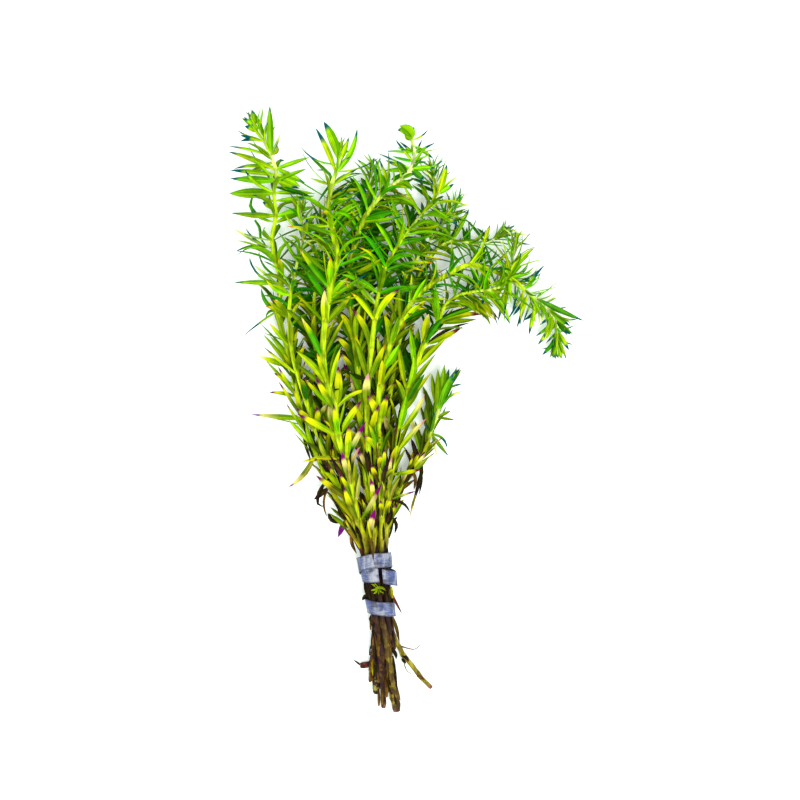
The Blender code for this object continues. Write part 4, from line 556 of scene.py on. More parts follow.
PLANS = (
    StemPlan(
        name="stem_front", tie_angle=128, outer=True, girth=1.05, foot_girth=1.55,
        nodes=((-23, 92, 10), (-23.4, 88, 11), (-24.6, 83.5, 12), (-26.3, 78.5, 12.5), (-27.3, 69.5, 13.5),
               (-25.9, 62.5, 14.5), (-24.2, 53.4, 16), (-26.6, 42.9, 17), (-28.4, 31, 17.5),
               (-29.2, 19.1, 18), (-27.7, 9.8, 18), (-25, 0.9, 17.5), (-24, -8.6, 17), (-21.5, -16.8, 16),
               (-20.1, -24.2, 14.5), (-18.4, -31.5, 13), (-17, -38.7, 11.5), (-14.8, -45, 10.6)),
        foot=((-9.2, -80.3, 6.4), (-8.4, -89.1, 4.4), (-8, -97.8, 2.8), (-8.2, -104.6, 1.8)),
        known=FRONT_LEAVES, slim=1.1, extra=FRONT_EXTRA, curls=FRONT_CURLS, foot_shape=(0.62, 1, 1.22, 1),
        fine_tip=0.1, short_tip=0.6, whitish_to=8,
    ),
    StemPlan(
        name="stem_arching", tie_angle=48, outer=True, girth=0.95, foot_girth=0.9,
        nodes=((52.5, 22.6, 4.5), (52.9, 27.5, 5), (52.2, 31.3, 5.5), (49.7, 35.2, 6), (45.9, 38.7, 6.5),
               (41, 42.2, 7.5), (35.7, 46, 8.5), (29.1, 49.2, 10), (22.1, 50.9, 11.5), (15.1, 48.1, 12.5),
               (8.4, 43.9, 13.5), (2.1, 38.3, 14), (-1.8, 31.7, 14.5), (-5.6, 23.3, 15), (-8, 15.2, 15.5),
               (-9.5, 8.6, 16), (-9.6, -3.7, 16), (-9.5, -15.2, 15), (-9.1, -25.7, 13.5),
               (-8.8, -37.5, 11.5)),
        foot=((-6.8, -79, 6.8), (-6.5, -86, 5)),
        known=ARCH_LEAVES, extra=ARCH_EXTRA, broad=1.2, fine=0.8, fine_tip=0.6, slender=0.54, short=0.76,
        whitish_to=22,
    ),
    StemPlan(
        name="stem_inner_right", tie_angle=8, outer=True, girth=0.95, foot_girth=0.95,
        nodes=((37.8, 57.9, 11), (37.3, 54.8, 11), (36.8, 51, 11.5), (36, 46.7, 12.5), (32.6, 43.2, 12.5),
               (27, 42, 11.5), (21.4, 41.2, 10.5), (16.8, 39.7, 10), (13.3, 36.6, 10), (10.9, 31, 10),
               (6.2, 23.6, 10), (3, 15.6, 10), (0.4, 7.5, 10), (-2.8, -6.8, 10.5), (-4.2, -14.5, 10.5),
               (-5.6, -22.2, 10), (-6.7, -31.3, 9), (-7.3, -40.1, 8)),
        foot=((-4.9, -79.6, 4.8), (-3.2, -82.8, 4), (-0.7, -87, 3), (1.4, -89.4, 2.6), (4.9, -94, 1.8),
              (8.7, -97.7, 1.2)),
        known=INNER_RIGHT_LEAVES, slim=0.6, extra=INNER_RIGHT_EXTRA, curls=INNER_RIGHT_CURLS,
        roots=INNER_RIGHT_ROOTS, foot_paint=paint(156, 142, 36), foot_shape=(0.8, 0.84, 1, 1), bark=0.3,
        slender=0.8,
    ),
    StemPlan(
        name="stem_far_left", tie_angle=208, outer=True, girth=1, foot_girth=1.1,
        nodes=((-52.8, 100.6, 6), (-51.8, 97.9, 6), (-50.2, 94.6, 6.2), (-47.9, 89.5, 6.5), (-46, 84.6, 7),
               (-46.6, 76.1, 7.5), (-46, 68.1, 7.5), (-47.3, 59.7, 7), (-45.9, 52, 7), (-44.1, 44.6, 7),
               (-44.8, 34.8, 6.5), (-42.8, 24.7, 6.5), (-40.8, 15.6, 6), (-38.2, 5.1, 6), (-35.6, -5.1, 6),
               (-31.8, -15.6, 6), (-26.8, -26.8, 6), (-21, -38.5, 5.8), (-17.7, -45.4, 5.4)),
        foot=((-11, -80, 2.8), (-11.4, -85, 2.2), (-12.6, -89.2, 1.8), (-16.5, -89.8, 1.5)),
        known=FAR_LEFT_LEAVES, slim=1, extra=FAR_LEFT_EXTRA, curls=FAR_LEFT_CURLS, fine=0.2, fine_tip=0.12,
        broad=1.4, slender_low=0.65, body=paint(166, 212, 10), foot_paint=paint(120, 44, 30),
        foot_shape=(1, 1, 0.75, 0.8),
    ),
    StemPlan(
        name="stem_middle_right", tie_angle=88, outer=True, girth=0.95, foot_girth=1.6,
        nodes=((9.4, 84, 7), (10.2, 80.5, 8), (10.9, 75.8, 9), (8.4, 71.6, 10.5), (4.9, 68.1, 12),
               (0.4, 62.5, 14), (-3.5, 56.9, 15.5), (-7.4, 49.9, 16.5), (-9.8, 41.1, 17),
               (-11.2, 31.7, 16.5), (-12.4, 21.9, 16), (-13.4, 11.4, 15.5), (-13.9, 0.9, 15),
               (-13.6, -10.3, 14.5), (-12.8, -22.6, 13), (-11.6, -35.5, 11.5)),
        foot=((-7.6, -79, 7.2), (-6.8, -84, 5.6), (-6.1, -92.9, 3.6), (-5.3, -97.1, 3), (-3.4, -105.9,
              2.1)),
        known=MIDDLE_RIGHT_LEAVES, slim=0.6, teal=0.4, curls=MIDDLE_RIGHT_CURLS,
        foot_paint=paint(126, 108, 34), bark=0.65,
    ),
    StemPlan(
        name="stem_left", tie_angle=168, outer=True, girth=0.95, foot_girth=0.7,
        nodes=((-37.5, 71.6, 11), (-36.8, 66, 11.5), (-36.4, 59.7, 12), (-38.2, 52, 12), (-40.3, 42.2, 12),
               (-41.3, 32.4, 12), (-40.6, 22.6, 11.5), (-38.5, 13.5, 11), (-35.4, 3.7, 10.5),
               (-31.9, -6.8, 10), (-27.7, -17.3, 9), (-23.5, -27.8, 8.5), (-19.2, -38.5, 8),
               (-16.8, -45, 7.8)),
        foot=((-11.6, -81.4, 5), (-12.3, -87.7, 3.6), (-12.9, -93.1, 2.2), (-13.1, -95.6, 1.6)),
        known=LEFT_LEAVES, curls=LEFT_CURLS, roots=LEFT_ROOTS, foot_paint=paint(132, 88, 24),
        foot_shape=(0.7, 0.7, 0.7, 0.8), bark=0.8, short=0.8, teal=0.4,
    ),
    StemPlan(
        name="stem_low_right", tie_angle=328, outer=True, girth=0.9, foot_girth=0.9,
        nodes=((16.8, 12.1, 5), (15.8, 10, 5.2), (14.7, 8.2, 5.5), (12.3, 3.3, 6), (10.2, -2.3, 6),
               (8.1, -8.2, 6), (5.3, -15.9, 6), (1.1, -21.5, 6), (-2.9, -27.8, 6), (-5.3, -36.8, 5.5)),
        foot=((-5.9, -80.3, 2.8),),
        known=LOW_RIGHT_LEAVES, extra=LOW_RIGHT_EXTRA, curls=LOW_RIGHT_CURLS, fine=0.5, fine_low=0.5,
        fine_tip=0.3, lean=0.45, short=0.85, body=DEEP_GREEN, leafage=0.75,
    ),
    StemPlan(
        name="stem_centre", tie_angle=150, outer=False, girth=0.95, foot_girth=1.2,
        nodes=((0.6, 97.6, 8), (1.6, 94.6, 8.5), (2.6, 90, 9.5), (1.3, 84.4, 11), (-5.7, 77.9, 13),
               (-9.2, 74.7, 14), (-14.6, 67.2, 14), (-18.2, 57.6, 13), (-20.3, 47.4, 12), (-19.6, 35.9, 12),
               (-18.4, 24.7, 12), (-17.2, 14.9, 11.5), (-16.5, 5.1, 11), (-15.8, -5.4, 10.5),
               (-15.1, -15.9, 10), (-14, -27.8, 8.5), (-12.8, -39.5, 7.4)),
        foot=((-9.7, -82, 4.2), (-10.2, -90.1, 2.8), (-10.3, -99.8, 1.4)),
        known=CENTRE_LEAVES, slim=1, extra=CENTRE_EXTRA, curls=CENTRE_CURLS, fine_tip=0.05, short_tip=0.5,
        tip_reach=26, foot_paint=paint(146, 144, 66), whitish_to=22,
    ),
    StemPlan(
        name="stem_left_inner", tie_angle=248, outer=True, girth=0.95, foot_girth=0.9,
        nodes=((-29.8, 68.4, 7), (-30.5, 61.4, 7.5), (-31.2, 52, 8), (-32.2, 42.2, 8), (-32.6, 32.4, 8),
               (-31.9, 22.6, 8), (-30.5, 12.8, 7.5), (-28.7, 3, 7), (-27, -6.8, 6.5), (-24.5, -17.3, 6),
               (-21.2, -27.8, 5), (-17, -38.8, 4.2)),
        foot=((-9.6, -84, 1.8),),
        teal=0.2, fine=1.6, fine_low=1.6,
    ),
    StemPlan(
        name="stem_upper_right", tie_angle=30, outer=False, girth=0.9, foot_girth=0.9,
        nodes=((17.5, 72.6, 6), (15.1, 69.1, 7.2), (12.3, 65.3, 8.5), (8.8, 60.4, 9.5), (4.9, 55.1, 9.5),
               (1.1, 49.2, 9), (-2.5, 42.2, 9), (-4.6, 33.8, 9), (-7, 25.5, 9), (-8.8, 16, 9), (-10, 6, 9),
               (-10.6, -4.5, 9), (-11, -15, 9), (-10.9, -26.5, 8.2), (-10.3, -38.5, 7.2)),
        foot=((-8.2, -82.5, 4.8),),
        known=UPPER_RIGHT_LEAVES, slim=0.55, teal=0.5, slender=0.8, short=0.9,
    ),
    StemPlan(
        name="stem_right", tie_angle=288, outer=True, girth=0.9, foot_girth=0.9,
        nodes=((34, 62.5, 5), (30.5, 60, 5.5), (27, 58.3, 6), (21.4, 58.8, 6.5), (16.1, 59.6, 7),
               (11.6, 57.5, 7), (7.4, 53.2, 6), (3.9, 46.9, 5), (1, 38.5, 4.5), (-1.5, 29.5, 4.5),
               (-3.8, 19.5, 4.5), (-5.5, 9, 4.5), (-6.8, -2, 4.5), (-7.6, -13, 4.5), (-8.2, -25, 4.5),
               (-8.4, -38, 4)),
        foot=((-7.4, -79.5, 2),),
        known=RIGHT_LEAVES, slim=0.65, extra=RIGHT_EXTRA, fine=1.5, fine_low=1.6, fine_tip=0.35,
        slender=0.75, short=0.8,
    ),
    StemPlan(
        name="stem_back", tie_angle=270, outer=False, girth=0.9, foot_girth=0.9,
        nodes=((-11.9, 86.6, 8), (-12.6, 81.4, 8), (-13.7, 75.1, 8), (-15, 68.4, 7.5), (-15.4, 60, 7),
               (-14.4, 51.5, 6.5), (-15.1, 42.5, 6), (-15.8, 33, 6), (-15.4, 23.5, 6), (-14.4, 13.8, 5.5),
               (-13.7, 4, 5.5), (-13.3, -6.8, 5), (-13, -17.3, 5), (-12.6, -28.5, 4.2), (-11.8, -39.5, 4)),
        foot=((-8.8, -86.5, 2.2),),
        known=BACK_LEAVES, slim=0.7, teal=0.2, fine=1.6, fine_low=1.6, fine_tip=0, short_tip=0.45,
    ),
)


@dataclass
class Stem:
    """A stem's smooth route and what grows on it."""

    plan: StemPlan
    number: int
    points: np.ndarray
    radii: np.ndarray
    held: np.ndarray
    nodes: list
    leaves: list = field(default_factory=list)
    fine: list = field(default_factory=list)


@dataclass(frozen=True)
class Leaf:
    """One leaf: its start at the stem, its widest place and its tip."""

    index: float
    start: Vector
    outward: Vector
    middle: Vector
    tip: Vector
    side: Vector
    width: float
    facing: Vector
    tone: Tone = Tone.BY_PLACE
    broad: float = 1.0
    sway: float = 0.0


def tie_places(plan: StemPlan) -> list:
    """Give the three places where a stem passes through the tie.

    Args:
        plan: The stem's plan.

    Returns:
        Points at the tie's top, middle and foot.
    """
    angle = math.radians(plan.tie_angle)
    across = Vector((math.cos(angle), 0.0, math.sin(angle)))
    places = []
    for share in (0.0, 0.5, 1.0):
        ring = TOP_RING + share * (FOOT_RING - TOP_RING)
        if not plan.outer:
            ring *= INNER_SHARE
        places.append(TIE_TOP.lerp(TIE_FOOT, share) + across * ring)
    return places


def smooth_route(corners: list, step: float = ROUTE_STEP) -> tuple:
    """Lay a smooth curve through a list of places.

    Args:
        corners: Places that the curve passes through.
        step: The wanted distance between its points.

    Returns:
        The curve's points as an array, and the point number of each corner.
    """
    places = np.array([tuple(corner) for corner in corners])
    chords = np.linalg.norm(np.diff(places, axis=0), axis=1)
    slopes = np.diff(places, axis=0) / chords[:, None]
    tangents = np.empty_like(places)
    tangents[0] = slopes[0]
    tangents[-1] = slopes[-1]
    before = chords[:-1, None]
    after = chords[1:, None]
    tangents[1:-1] = (slopes[1:] * before + slopes[:-1] * after) / (before + after)
    points = [places[0]]
    numbers = [0]
    for i, chord in enumerate(chords):
        count = max(1, round(chord / step))
        for k in range(1, count + 1):
            t = k / count
            start = (2 * t**3 - 3 * t**2 + 1) * places[i]
            leave = (t**3 - 2 * t**2 + t) * chord * tangents[i]
            end = (3 * t**2 - 2 * t**3) * places[i + 1]
            arrive = (t**3 - t**2) * chord * tangents[i + 1]
            points.append(start + leave + end + arrive)
        numbers.append(len(points) - 1)
    return np.array(points), numbers


def lay_stem(plan: StemPlan, number: int) -> Stem:
    """Lay one stem's route from its growing tip to its cut end.

    Args:
        plan: The stem's plan.
        number: The stem's number in the bunch.

    Returns:
        The stem with its points, its thickness at each and the numbers of its nodes.
    """
    points, numbers = smooth_route([*plan.nodes, *tie_places(plan), *plan.foot])
    first = numbers[len(plan.nodes)]
    last = numbers[len(plan.nodes) + 2]
    count = len(points)
    arc = arc_lengths(points)
    radii = np.interp(arc, THICKENS_AT, (TIP_RADIUS, YOUNG_SHARE * plan.girth, plan.girth))
    stages = (first - ENTRY_POINTS, first, last, count - 1)
    foot = np.interp(np.arange(count), stages, (0.0, 1.0, 1.0, 2.0))
    in_tie = np.clip(foot, 0.0, 1.0)
    below = np.clip(foot - 1.0, 0.0, 1.0)
    radii = radii * (1.0 - in_tie) + TIE_RADIUS * in_tie
    radii = radii * (1.0 - below) + plan.foot_girth * below
    held = np.zeros(count, dtype=bool)
    held[first:last + 1] = True
    return Stem(plan, number, points, radii, held, numbers[:len(plan.nodes)])


def arc_lengths(points: np.ndarray) -> np.ndarray:
    """Give each point's distance along the route from its first point.

    Args:
        points: The route's points.

    Returns:
        The distances.
    """
    steps = np.linalg.norm(np.diff(points, axis=0), axis=1)
    return np.concatenate(([0.0], np.cumsum(steps)))


def part_stems(stems: list) -> None:
    """Move crossing stems apart, mostly up and down, and keep them above the surface.

    Args:
        stems: All the stems, whose points are changed.
    """
    share = np.array(PARTING_SHARE)
    start = np.concatenate([stem.points for stem in stems])
    radii = np.concatenate([stem.radii for stem in stems])
    held = np.concatenate([stem.held for stem in stems])
    owner = np.concatenate([np.full(len(stem.points), i) for i, stem in enumerate(stems)])
    needed = radii[:, None] + radii[None, :] + STEM_GAP
    others = owner[:, None] < owner[None, :]
    shift = np.zeros_like(start)
    for _ in range(PARTING_ROUNDS):
        places = start + shift
        squares = (places**2).sum(axis=1)
        apart = squares[:, None] + squares[None, :] - 2.0 * places @ places.T
        close = others & (apart < needed**2)
        first, second = np.nonzero(close)
        between = places[first] - places[second]
        length = np.maximum(np.linalg.norm(between, axis=1), NEAREST_AXES)
        lack = (needed[first, second] - length) / length
        push = between * lack[:, None] * share
        level = np.abs(between[:, 2]) < LEVEL_CROSSING
        push[level, 2] += LEVEL_CROSSING
        np.add.at(shift, first, push)
        np.add.at(shift, second, -push)
        shift = smooth_shift(shift, owner)
        low = start[:, 2] + shift[:, 2] < radii + SURFACE_GAP
        shift[low, 2] = (radii + SURFACE_GAP - start[:, 2])[low]
        shift[held] = 0.0
    places = start + shift
    for i, stem in enumerate(stems):
        stem.points = places[owner == i]


def smooth_shift(shift: np.ndarray, owner: np.ndarray) -> np.ndarray:
    """Even out how far neighbouring points of one stem move.

    Args:
        shift: How far each point has moved.
        owner: The stem number of each point.

    Returns:
        The smoothed moves.
    """
    smooth = shift.copy()
    same = (owner[:-2] == owner[2:])[:, None]
    average = 0.25 * shift[:-2] + 0.5 * shift[1:-1] + 0.25 * shift[2:]
    smooth[1:-1] = np.where(same, average, shift[1:-1])
    return smooth


def place_at(stem: Stem, index: float) -> Vector:
    """Give the place on a stem's axis at a point number that may lie between two points."""
    low = min(int(index), len(stem.points) - 2)
    return Vector(stem.points[low]).lerp(Vector(stem.points[low + 1]), index - low)


def along_at(stem: Stem, index: float) -> Vector:
    """Give the unit direction towards the growing tip.

    Args:
        stem: The stem.
        index: A point number, which may lie between two points.

    Returns:
        The direction.
    """
    ahead = place_at(stem, max(index - LOOK_AHEAD, 0.0))
    behind = place_at(stem, min(index + LOOK_AHEAD, len(stem.points) - 1))
    return (ahead - behind).normalized()


def radius_at(stem: Stem, index: float) -> float:
    """Give a stem's corner radius at a point number."""
    return float(np.interp(index, np.arange(len(stem.radii)), stem.radii))


def ways_at(stem: Stem, index: float) -> tuple:
    """Give the direction along a stem and the two directions square to it.

    Args:
        stem: The stem.
        index: A point number, which may lie between two points.

    Returns:
        The direction towards the growing tip, the level one and the one that points up.
    """
    along = along_at(stem, index)
    level = along.cross(UP).normalized()
    return along, level, level.cross(along)


def nearest_point(stem: Stem, root: tuple) -> float:
    """Give the number of the stem's point that is nearest to a leaf's root, seen from above."""
    offsets = stem.points[:, :2] - np.array(root)
    return float(np.argmin((offsets**2).sum(axis=1)))


def index_at(stem: Stem, height: float) -> float:
    """Give the point number at which a stem passes a place along Y."""
    return float(np.interp(-height, -stem.points[:, 1], np.arange(len(stem.points))))


def by_distance(distance: float, values: tuple) -> float:
    """Read a measure of the leaves at a distance from the growing tip."""
    return float(np.interp(distance, FROM_TIP, values))


def age_at(height: float) -> float:
    """Tell how old leaves are, from 0 to 1, at a height above the bare part of the stems."""
    return min(max(0.0, 1.0 - height / OLD_ZONE), 1.0)


def within(x: float, y: float, oval: tuple, margin: float = 1.0) -> bool:
    """Tell whether a place lies in an oval that is given by its centre and its half widths."""
    middle_x, middle_y, across, along = oval
    return math.hypot((x - middle_x) / across, (y - middle_y) / along) < margin


class Crowd:
    """All that already stands somewhere, as small spheres, and how the next leaves look for room."""

    def __init__(self) -> None:
        """Start with nothing, for leaves of full size."""
        self.places = np.empty((0, 3))
        self.radii = np.empty(0)
        self.owners = np.empty(0, dtype=int)
        self.gap = LEAF_GAP
        self.radius = BLADE_RADIUS
        self.tries = TRIES
        self.boldness = 1

    def go_finer(self) -> None:
        """Go on with finer leaves, which stand closer and change more from try to try."""
        self.gap = FINE_GAP
        self.radius = FINE_RADIUS
        self.tries = FINE_TRIES
        self.boldness = FINE_BOLDNESS

    def add(self, places: np.ndarray, radii: np.ndarray, owner: int) -> None:
        """Add spheres.

        Args:
            places: Their centres.
            radii: Their radii.
            owner: The number of the stem that they belong to.
        """
        self.places = np.concatenate((self.places, places))
        self.radii = np.concatenate((self.radii, radii))
        self.owners = np.concatenate((self.owners, np.full(len(places), owner)))

    def is_clear(self, places: np.ndarray, allowed: int | None) -> bool:
        """Tell whether a leaf's spheres keep the gap to all that stands there.

        Args:
            places: Their centres.
            allowed: The number of a stem that they may touch, or None.

        Returns:
            True where nothing is too near.
        """
        reach = self.radius + self.gap + float(self.radii.max())
        low = places.min(axis=0) - reach
        high = places.max(axis=0) + reach
        near = np.all((self.places > low) & (self.places < high), axis=1)
        if allowed is not None:
            near &= self.owners != allowed
        if not near.any():
            return True
        offsets = places[:, None, :] - self.places[near][None, :, :]
        distances = np.sqrt((offsets**2).sum(axis=2))
        return bool((distances - self.radii[near][None, :] - self.radius > self.gap).all())

    def height_above(self, place: Vector, reach: float = 2.0) -> float:
        """Tell how far the crowd rises above a place.

        Args:
            place: The place.
            reach: How far to the sides it looks.

        Returns:
            The height in millimetres, 0 where nothing is above it.
        """
        offsets = self.places[:, :2] - np.array(place[:2])
        above = self.places[(offsets**2).sum(axis=1) < reach**2, 2]
        return max(0.0, float(above.max()) - place.z) if len(above) else 0.0

    def has_room(self, leaf: Leaf, owner: int) -> bool:
        """Tell whether a leaf is clear of all others, and its foot of all but its own stem."""
        foot, blade = blade_points(leaf)
        return self.is_clear(blade, None) and self.is_clear(foot, owner)

    def add_leaf(self, leaf: Leaf, owner: int) -> None:
        """Add a leaf's foot and blade."""
        for points in blade_points(leaf):
            self.add(points, np.full(len(points), self.radius), owner)

    def keep_finer(self, leaf: Leaf, stem: Stem) -> None:
        """Give a stem a finer leaf and add it to the crowd."""
        stem.fine.append(leaf)
        self.add_leaf(leaf, stem.number)


def blade_points(leaf: Leaf) -> tuple:
    """Give points all over a leaf.

    Args:
        leaf: The leaf.

    Returns:
        The points of its foot near the stem and those of its blade, as two arrays.
    """
    foot = [tuple(leaf.start)]
    blade = [tuple(leaf.tip)]
    lower = (leaf.middle - leaf.start).length
    upper = (leaf.tip - leaf.middle).length
    for length, start, end, broad in (
        (lower, leaf.start, leaf.middle, (FOOT_BREADTH, 1.0)),
        (upper, leaf.middle, leaf.tip, (1.0, TIP_BREADTH)),
    ):
        count = max(2, math.ceil(length / SPHERE_STEP))
        for k in range(1, count + 1):
            t = k / count
            is_foot = start is leaf.start and t * length < FOOT_REACH
            centre = start.lerp(end, t)
            half = 0.5 * leaf.width * (broad[0] + (broad[1] - broad[0]) * t)
            beside = (-SPHERE_SPREAD, 0.0, SPHERE_SPREAD)
            across = beside if half > ONE_SPHERE_WIDE else (0.0,)
            for share in across:
                (foot if is_foot else blade).append(tuple(centre + leaf.side * (share * half)))
    return np.array(foot), np.array(blade)


def shape_leaf(stem: Stem, index: float, outward: Vector, path: tuple, width: float,
               tone: Tone = Tone.BY_PLACE) -> Leaf:
    """Complete a leaf from its path.

    Args:
        stem: The stem that it grows on.
        index: The node's point number.
        outward: The direction away from the stem.
        path: Its start at the stem, its widest place and its tip.
        width: Its greatest width.
        tone: How it is coloured.

    Returns:
        The leaf, with its lowest parts on the surface where it would reach below it.
    """
    start, middle, tip = path
    along = along_at(stem, index)
    heading = (tip - start).normalized()
    side = blade_side(along.cross(outward), heading, TURNED_TO_LIGHT)
    if min(start.z, middle.z) < abs(side.z) * 0.5 * width + LEAF_THICKNESS:
        side = blade_side(along.cross(outward), heading, 1.0)
        middle.z = max(middle.z, 0.5 * LEAF_THICKNESS)
    tip.z = max(tip.z, SURFACE_GAP)
    return Leaf(index, start, outward, middle, tip, side, width, along, tone)


def draw_size(draw: random.Random, size: tuple, attempt: int) -> tuple:
    """Vary a leaf's size and pitch a little, and more with each attempt to find room.

    Args:
        draw: The source of the differences.
        size: The wanted length, width and pitch.
        attempt: The attempt's number.

    Returns:
        The length, the width, the pitch and the largest turn, in degrees.
    """
    length, width, pitch = size
    spread = TURN_SPREAD + SPREAD_GROWTH * attempt
    return (
        length * draw.uniform(*LENGTH_SPREAD) * (1.0 - LENGTH_LOSS * attempt),
        width * draw.uniform(*WIDTH_SPREAD),
        max(LEAST_PITCH, pitch + draw.uniform(-spread, spread)),
        spread,
    )


def make_leaf(stem: Stem, index: float, turn: float, size: tuple, draw: random.Random) -> Leaf:
    """Shape one leaf at a node.

    Args:
        stem: The stem that it grows on.
        index: The node's point number.
        turn: The direction round the stem, in radians.
        size: The leaf's length, width and pitch in degrees.
        draw: The source of the small differences between leaves.

    Returns:
        The leaf.
    """
    length, width, pitch = size
    along, first, second = ways_at(stem, index)
    outward = first * math.cos(turn) + second * math.sin(turn)
    bend = math.radians(draw.uniform(*BEND))
    steep = math.radians(pitch)
    lower = along * math.cos(steep - bend) + outward * math.sin(steep - bend)
    upper = along * math.cos(steep + bend) + outward * math.sin(steep + bend)
    start = place_at(stem, index) + outward * (ROOTED_AT * radius_at(stem, index))
    middle = start + lower * (WIDEST_AT * length)
    tip = middle + upper * ((1.0 - WIDEST_AT) * length)
    return shape_leaf(stem, index, outward, (start, middle, tip), width)


def known_leaf(stem: Stem, index: float, known: Known, lift: float) -> Leaf:
    """Shape a leaf whose root and tip are known from above.

    Args:
        stem: The stem that it grows on.
        index: The node's point number.
        known: The leaf's places.
        lift: How far its tip is raised to find room, in millimetres.

    Returns:
        The leaf.
    """
    root = place_at(stem, index)
    along = along_at(stem, index)
    tip = Vector((*known.tip, max(SURFACE_GAP, root.z + known.rise + lift)))
    outward = tip - root
    outward = outward - along * outward.dot(along)
    if outward.length < LEAST_OUTWARD:
        outward += UP * (UPRIGHT_SHARE if lift >= 0.0 else -UPRIGHT_SHARE)
        outward = outward - along * outward.dot(along)
    outward.normalize()
    start = root + outward * (ROOTED_AT * radius_at(stem, index))
    chord = tip - start
    bulge = UP.cross(chord).normalized()
    if bulge.dot(along) < 0.0:
        bulge.negate()
    middle = start.lerp(tip, WIDEST_AT) + bulge * (known.bow * chord.length)
    leaf = shape_leaf(stem, index, outward, (start, middle, tip), known.width, known.tone)
    return replace(leaf, broad=known.broad, sway=known.sway)


def try_known(stem: Stem, index: float, known: Known, crowd: Crowd) -> tuple:
    """Raise and lower the tip of a known leaf until it is clear of its neighbours.

    Args:
        stem: The stem that it grows on.
        index: The node's point number.
        known: The leaf's places.
        crowd: What stands there already.

    Returns:
        The leaf as it was tried last, and whether it found room.
    """
    for attempt in range(LIFT_TRIES):
        lift = LIFT_STEP * math.ceil(attempt / 2) * (-1.0) ** attempt
        leaf = known_leaf(stem, index, known, lift)
        if crowd.has_room(leaf, stem.number):
            return leaf, True
    return leaf, False


def blade_side(natural: Vector, heading: Vector, share: float) -> Vector:
    """Turn a blade's cross direction part of the way towards level, as leaves turn to light.

    Args:
        natural: The cross direction of a blade that faces its stem.
        heading: The leaf's direction.
        share: How far it turns, from 0 to 1.

    Returns:
        The blade's cross direction, square to its heading.
    """
    level = UP.cross(heading)
    if level.length > LEAST_LEVEL:
        level.normalize()
        if level.dot(natural) < WRONG_WAY:
            level.negate()
        natural = natural.lerp(level, share)
    side = natural - heading * natural.dot(heading)
    return side.normalized()


def leaf_nodes(stem: Stem) -> list:
    """Find where whorls grow: at the plan's nodes and between them where they lie far apart.

    Args:
        stem: The stem.

    Returns:
        Point numbers from the growing tip down.
    """
    arc = arc_lengths(stem.points)
    places = [float(stem.nodes[0]) + FIRST_WHORL]
    for upper, lower in zip(stem.nodes[:-1], stem.nodes[1:]):
        span = arc[lower] - arc[upper]
        step = by_distance(arc[upper], WHORL_STEP)
        count = max(1, round(span / step))
        places += [upper + (lower - upper) * k / count for k in range(1, count + 1)]
    return [index for index in places if place_at(stem, index).y > BARE_BELOW]


def place_known(stem: Stem, nodes: list, crowd: Crowd) -> None:
    """Put a stem's known leaves at its nodes, adding nodes for leaves far from any.

    Args:
        stem: The stem.
        nodes: The point numbers of its nodes, to which new ones are added.
        crowd: What stands there already, to which the leaves are added.
    """
    arc = arc_lengths(stem.points)
    counts = np.arange(len(arc))
    for known in stem.plan.known:
        index = nearest_point(stem, known.root)
        place = np.interp(index, counts, arc)
        taken = [leaf.index for leaf in stem.leaves]
        near = [
            node for node in nodes
            if abs(np.interp(node, counts, arc) - place) < WHORL_CATCH
            and taken.count(node) < LEAVES_IN_WHORL - 1
        ]
        if near:
            index = min(near, key=lambda node: abs(np.interp(node, counts, arc) - place))
        elif index not in nodes:
            nodes.append(index)
        leaf, has_room = try_known(stem, index, known, crowd)
        if has_room:
            stem.leaves.append(leaf)
            crowd.add_leaf(leaf, stem.number)
    nodes.sort()


def grow_leaves(stem: Stem, nodes: list, crowd: Crowd) -> None:
    """Grow the rest of a stem's leaves, leaving out those that find no room.

    Args:
        stem: The stem.
        nodes: The point numbers of its nodes.
        crowd: What stands there already, to which the leaves are added.
    """
    draw = random.Random(stem.plan.name)
    arc = arc_lengths(stem.points)
    for place, index in enumerate(nodes):
        distance = float(np.interp(index, np.arange(len(arc)), arc))
        height = place_at(stem, index).y - BARE_BELOW
        age = age_at(height)
        length = by_distance(distance, LEAF_LENGTH) * (1.0 - OLD_SHORTER * age)
        width = by_distance(distance, LEAF_WIDTH) * (1.0 - OLD_NARROWER * age)
        pitch = by_distance(distance, LEAF_PITCH) - OLD_FLATTER * age
        size = (length * stem.plan.leafage, width, pitch)
        offset = math.radians(WHORL_TURN * (place % 2) + draw.uniform(-WHORL_SWAY, WHORL_SWAY))
        turns = [offset + 2.0 * math.pi * k / LEAVES_IN_WHORL for k in range(LEAVES_IN_WHORL)]
        for leaf in [grown for grown in stem.leaves if grown.index == index]:
            turns = without_nearest(stem, turns, leaf)
        if height < 0.0:
            turns = []
        tried = [find_room(stem, index, turn, size, crowd, draw) for turn in turns]
        whorl = [leaf for leaf in tried if leaf is not None]
        for leaf in whorl:
            crowd.add_leaf(leaf, stem.number)
        stem.leaves += whorl


def without_nearest(stem: Stem, turns: list, leaf: Leaf) -> list:
    """Leave out the direction round the stem that a leaf already takes.

    Args:
        stem: The stem.
        turns: The directions, in radians.
        leaf: The leaf.

    Returns:
        The remaining directions.
    """
    _, first, second = ways_at(stem, leaf.index)
    taken = math.atan2(leaf.outward.dot(second), leaf.outward.dot(first))
    nearest = min(turns, key=lambda turn: -math.cos(turn - taken))
    return [turn for turn in turns if turn is not nearest]


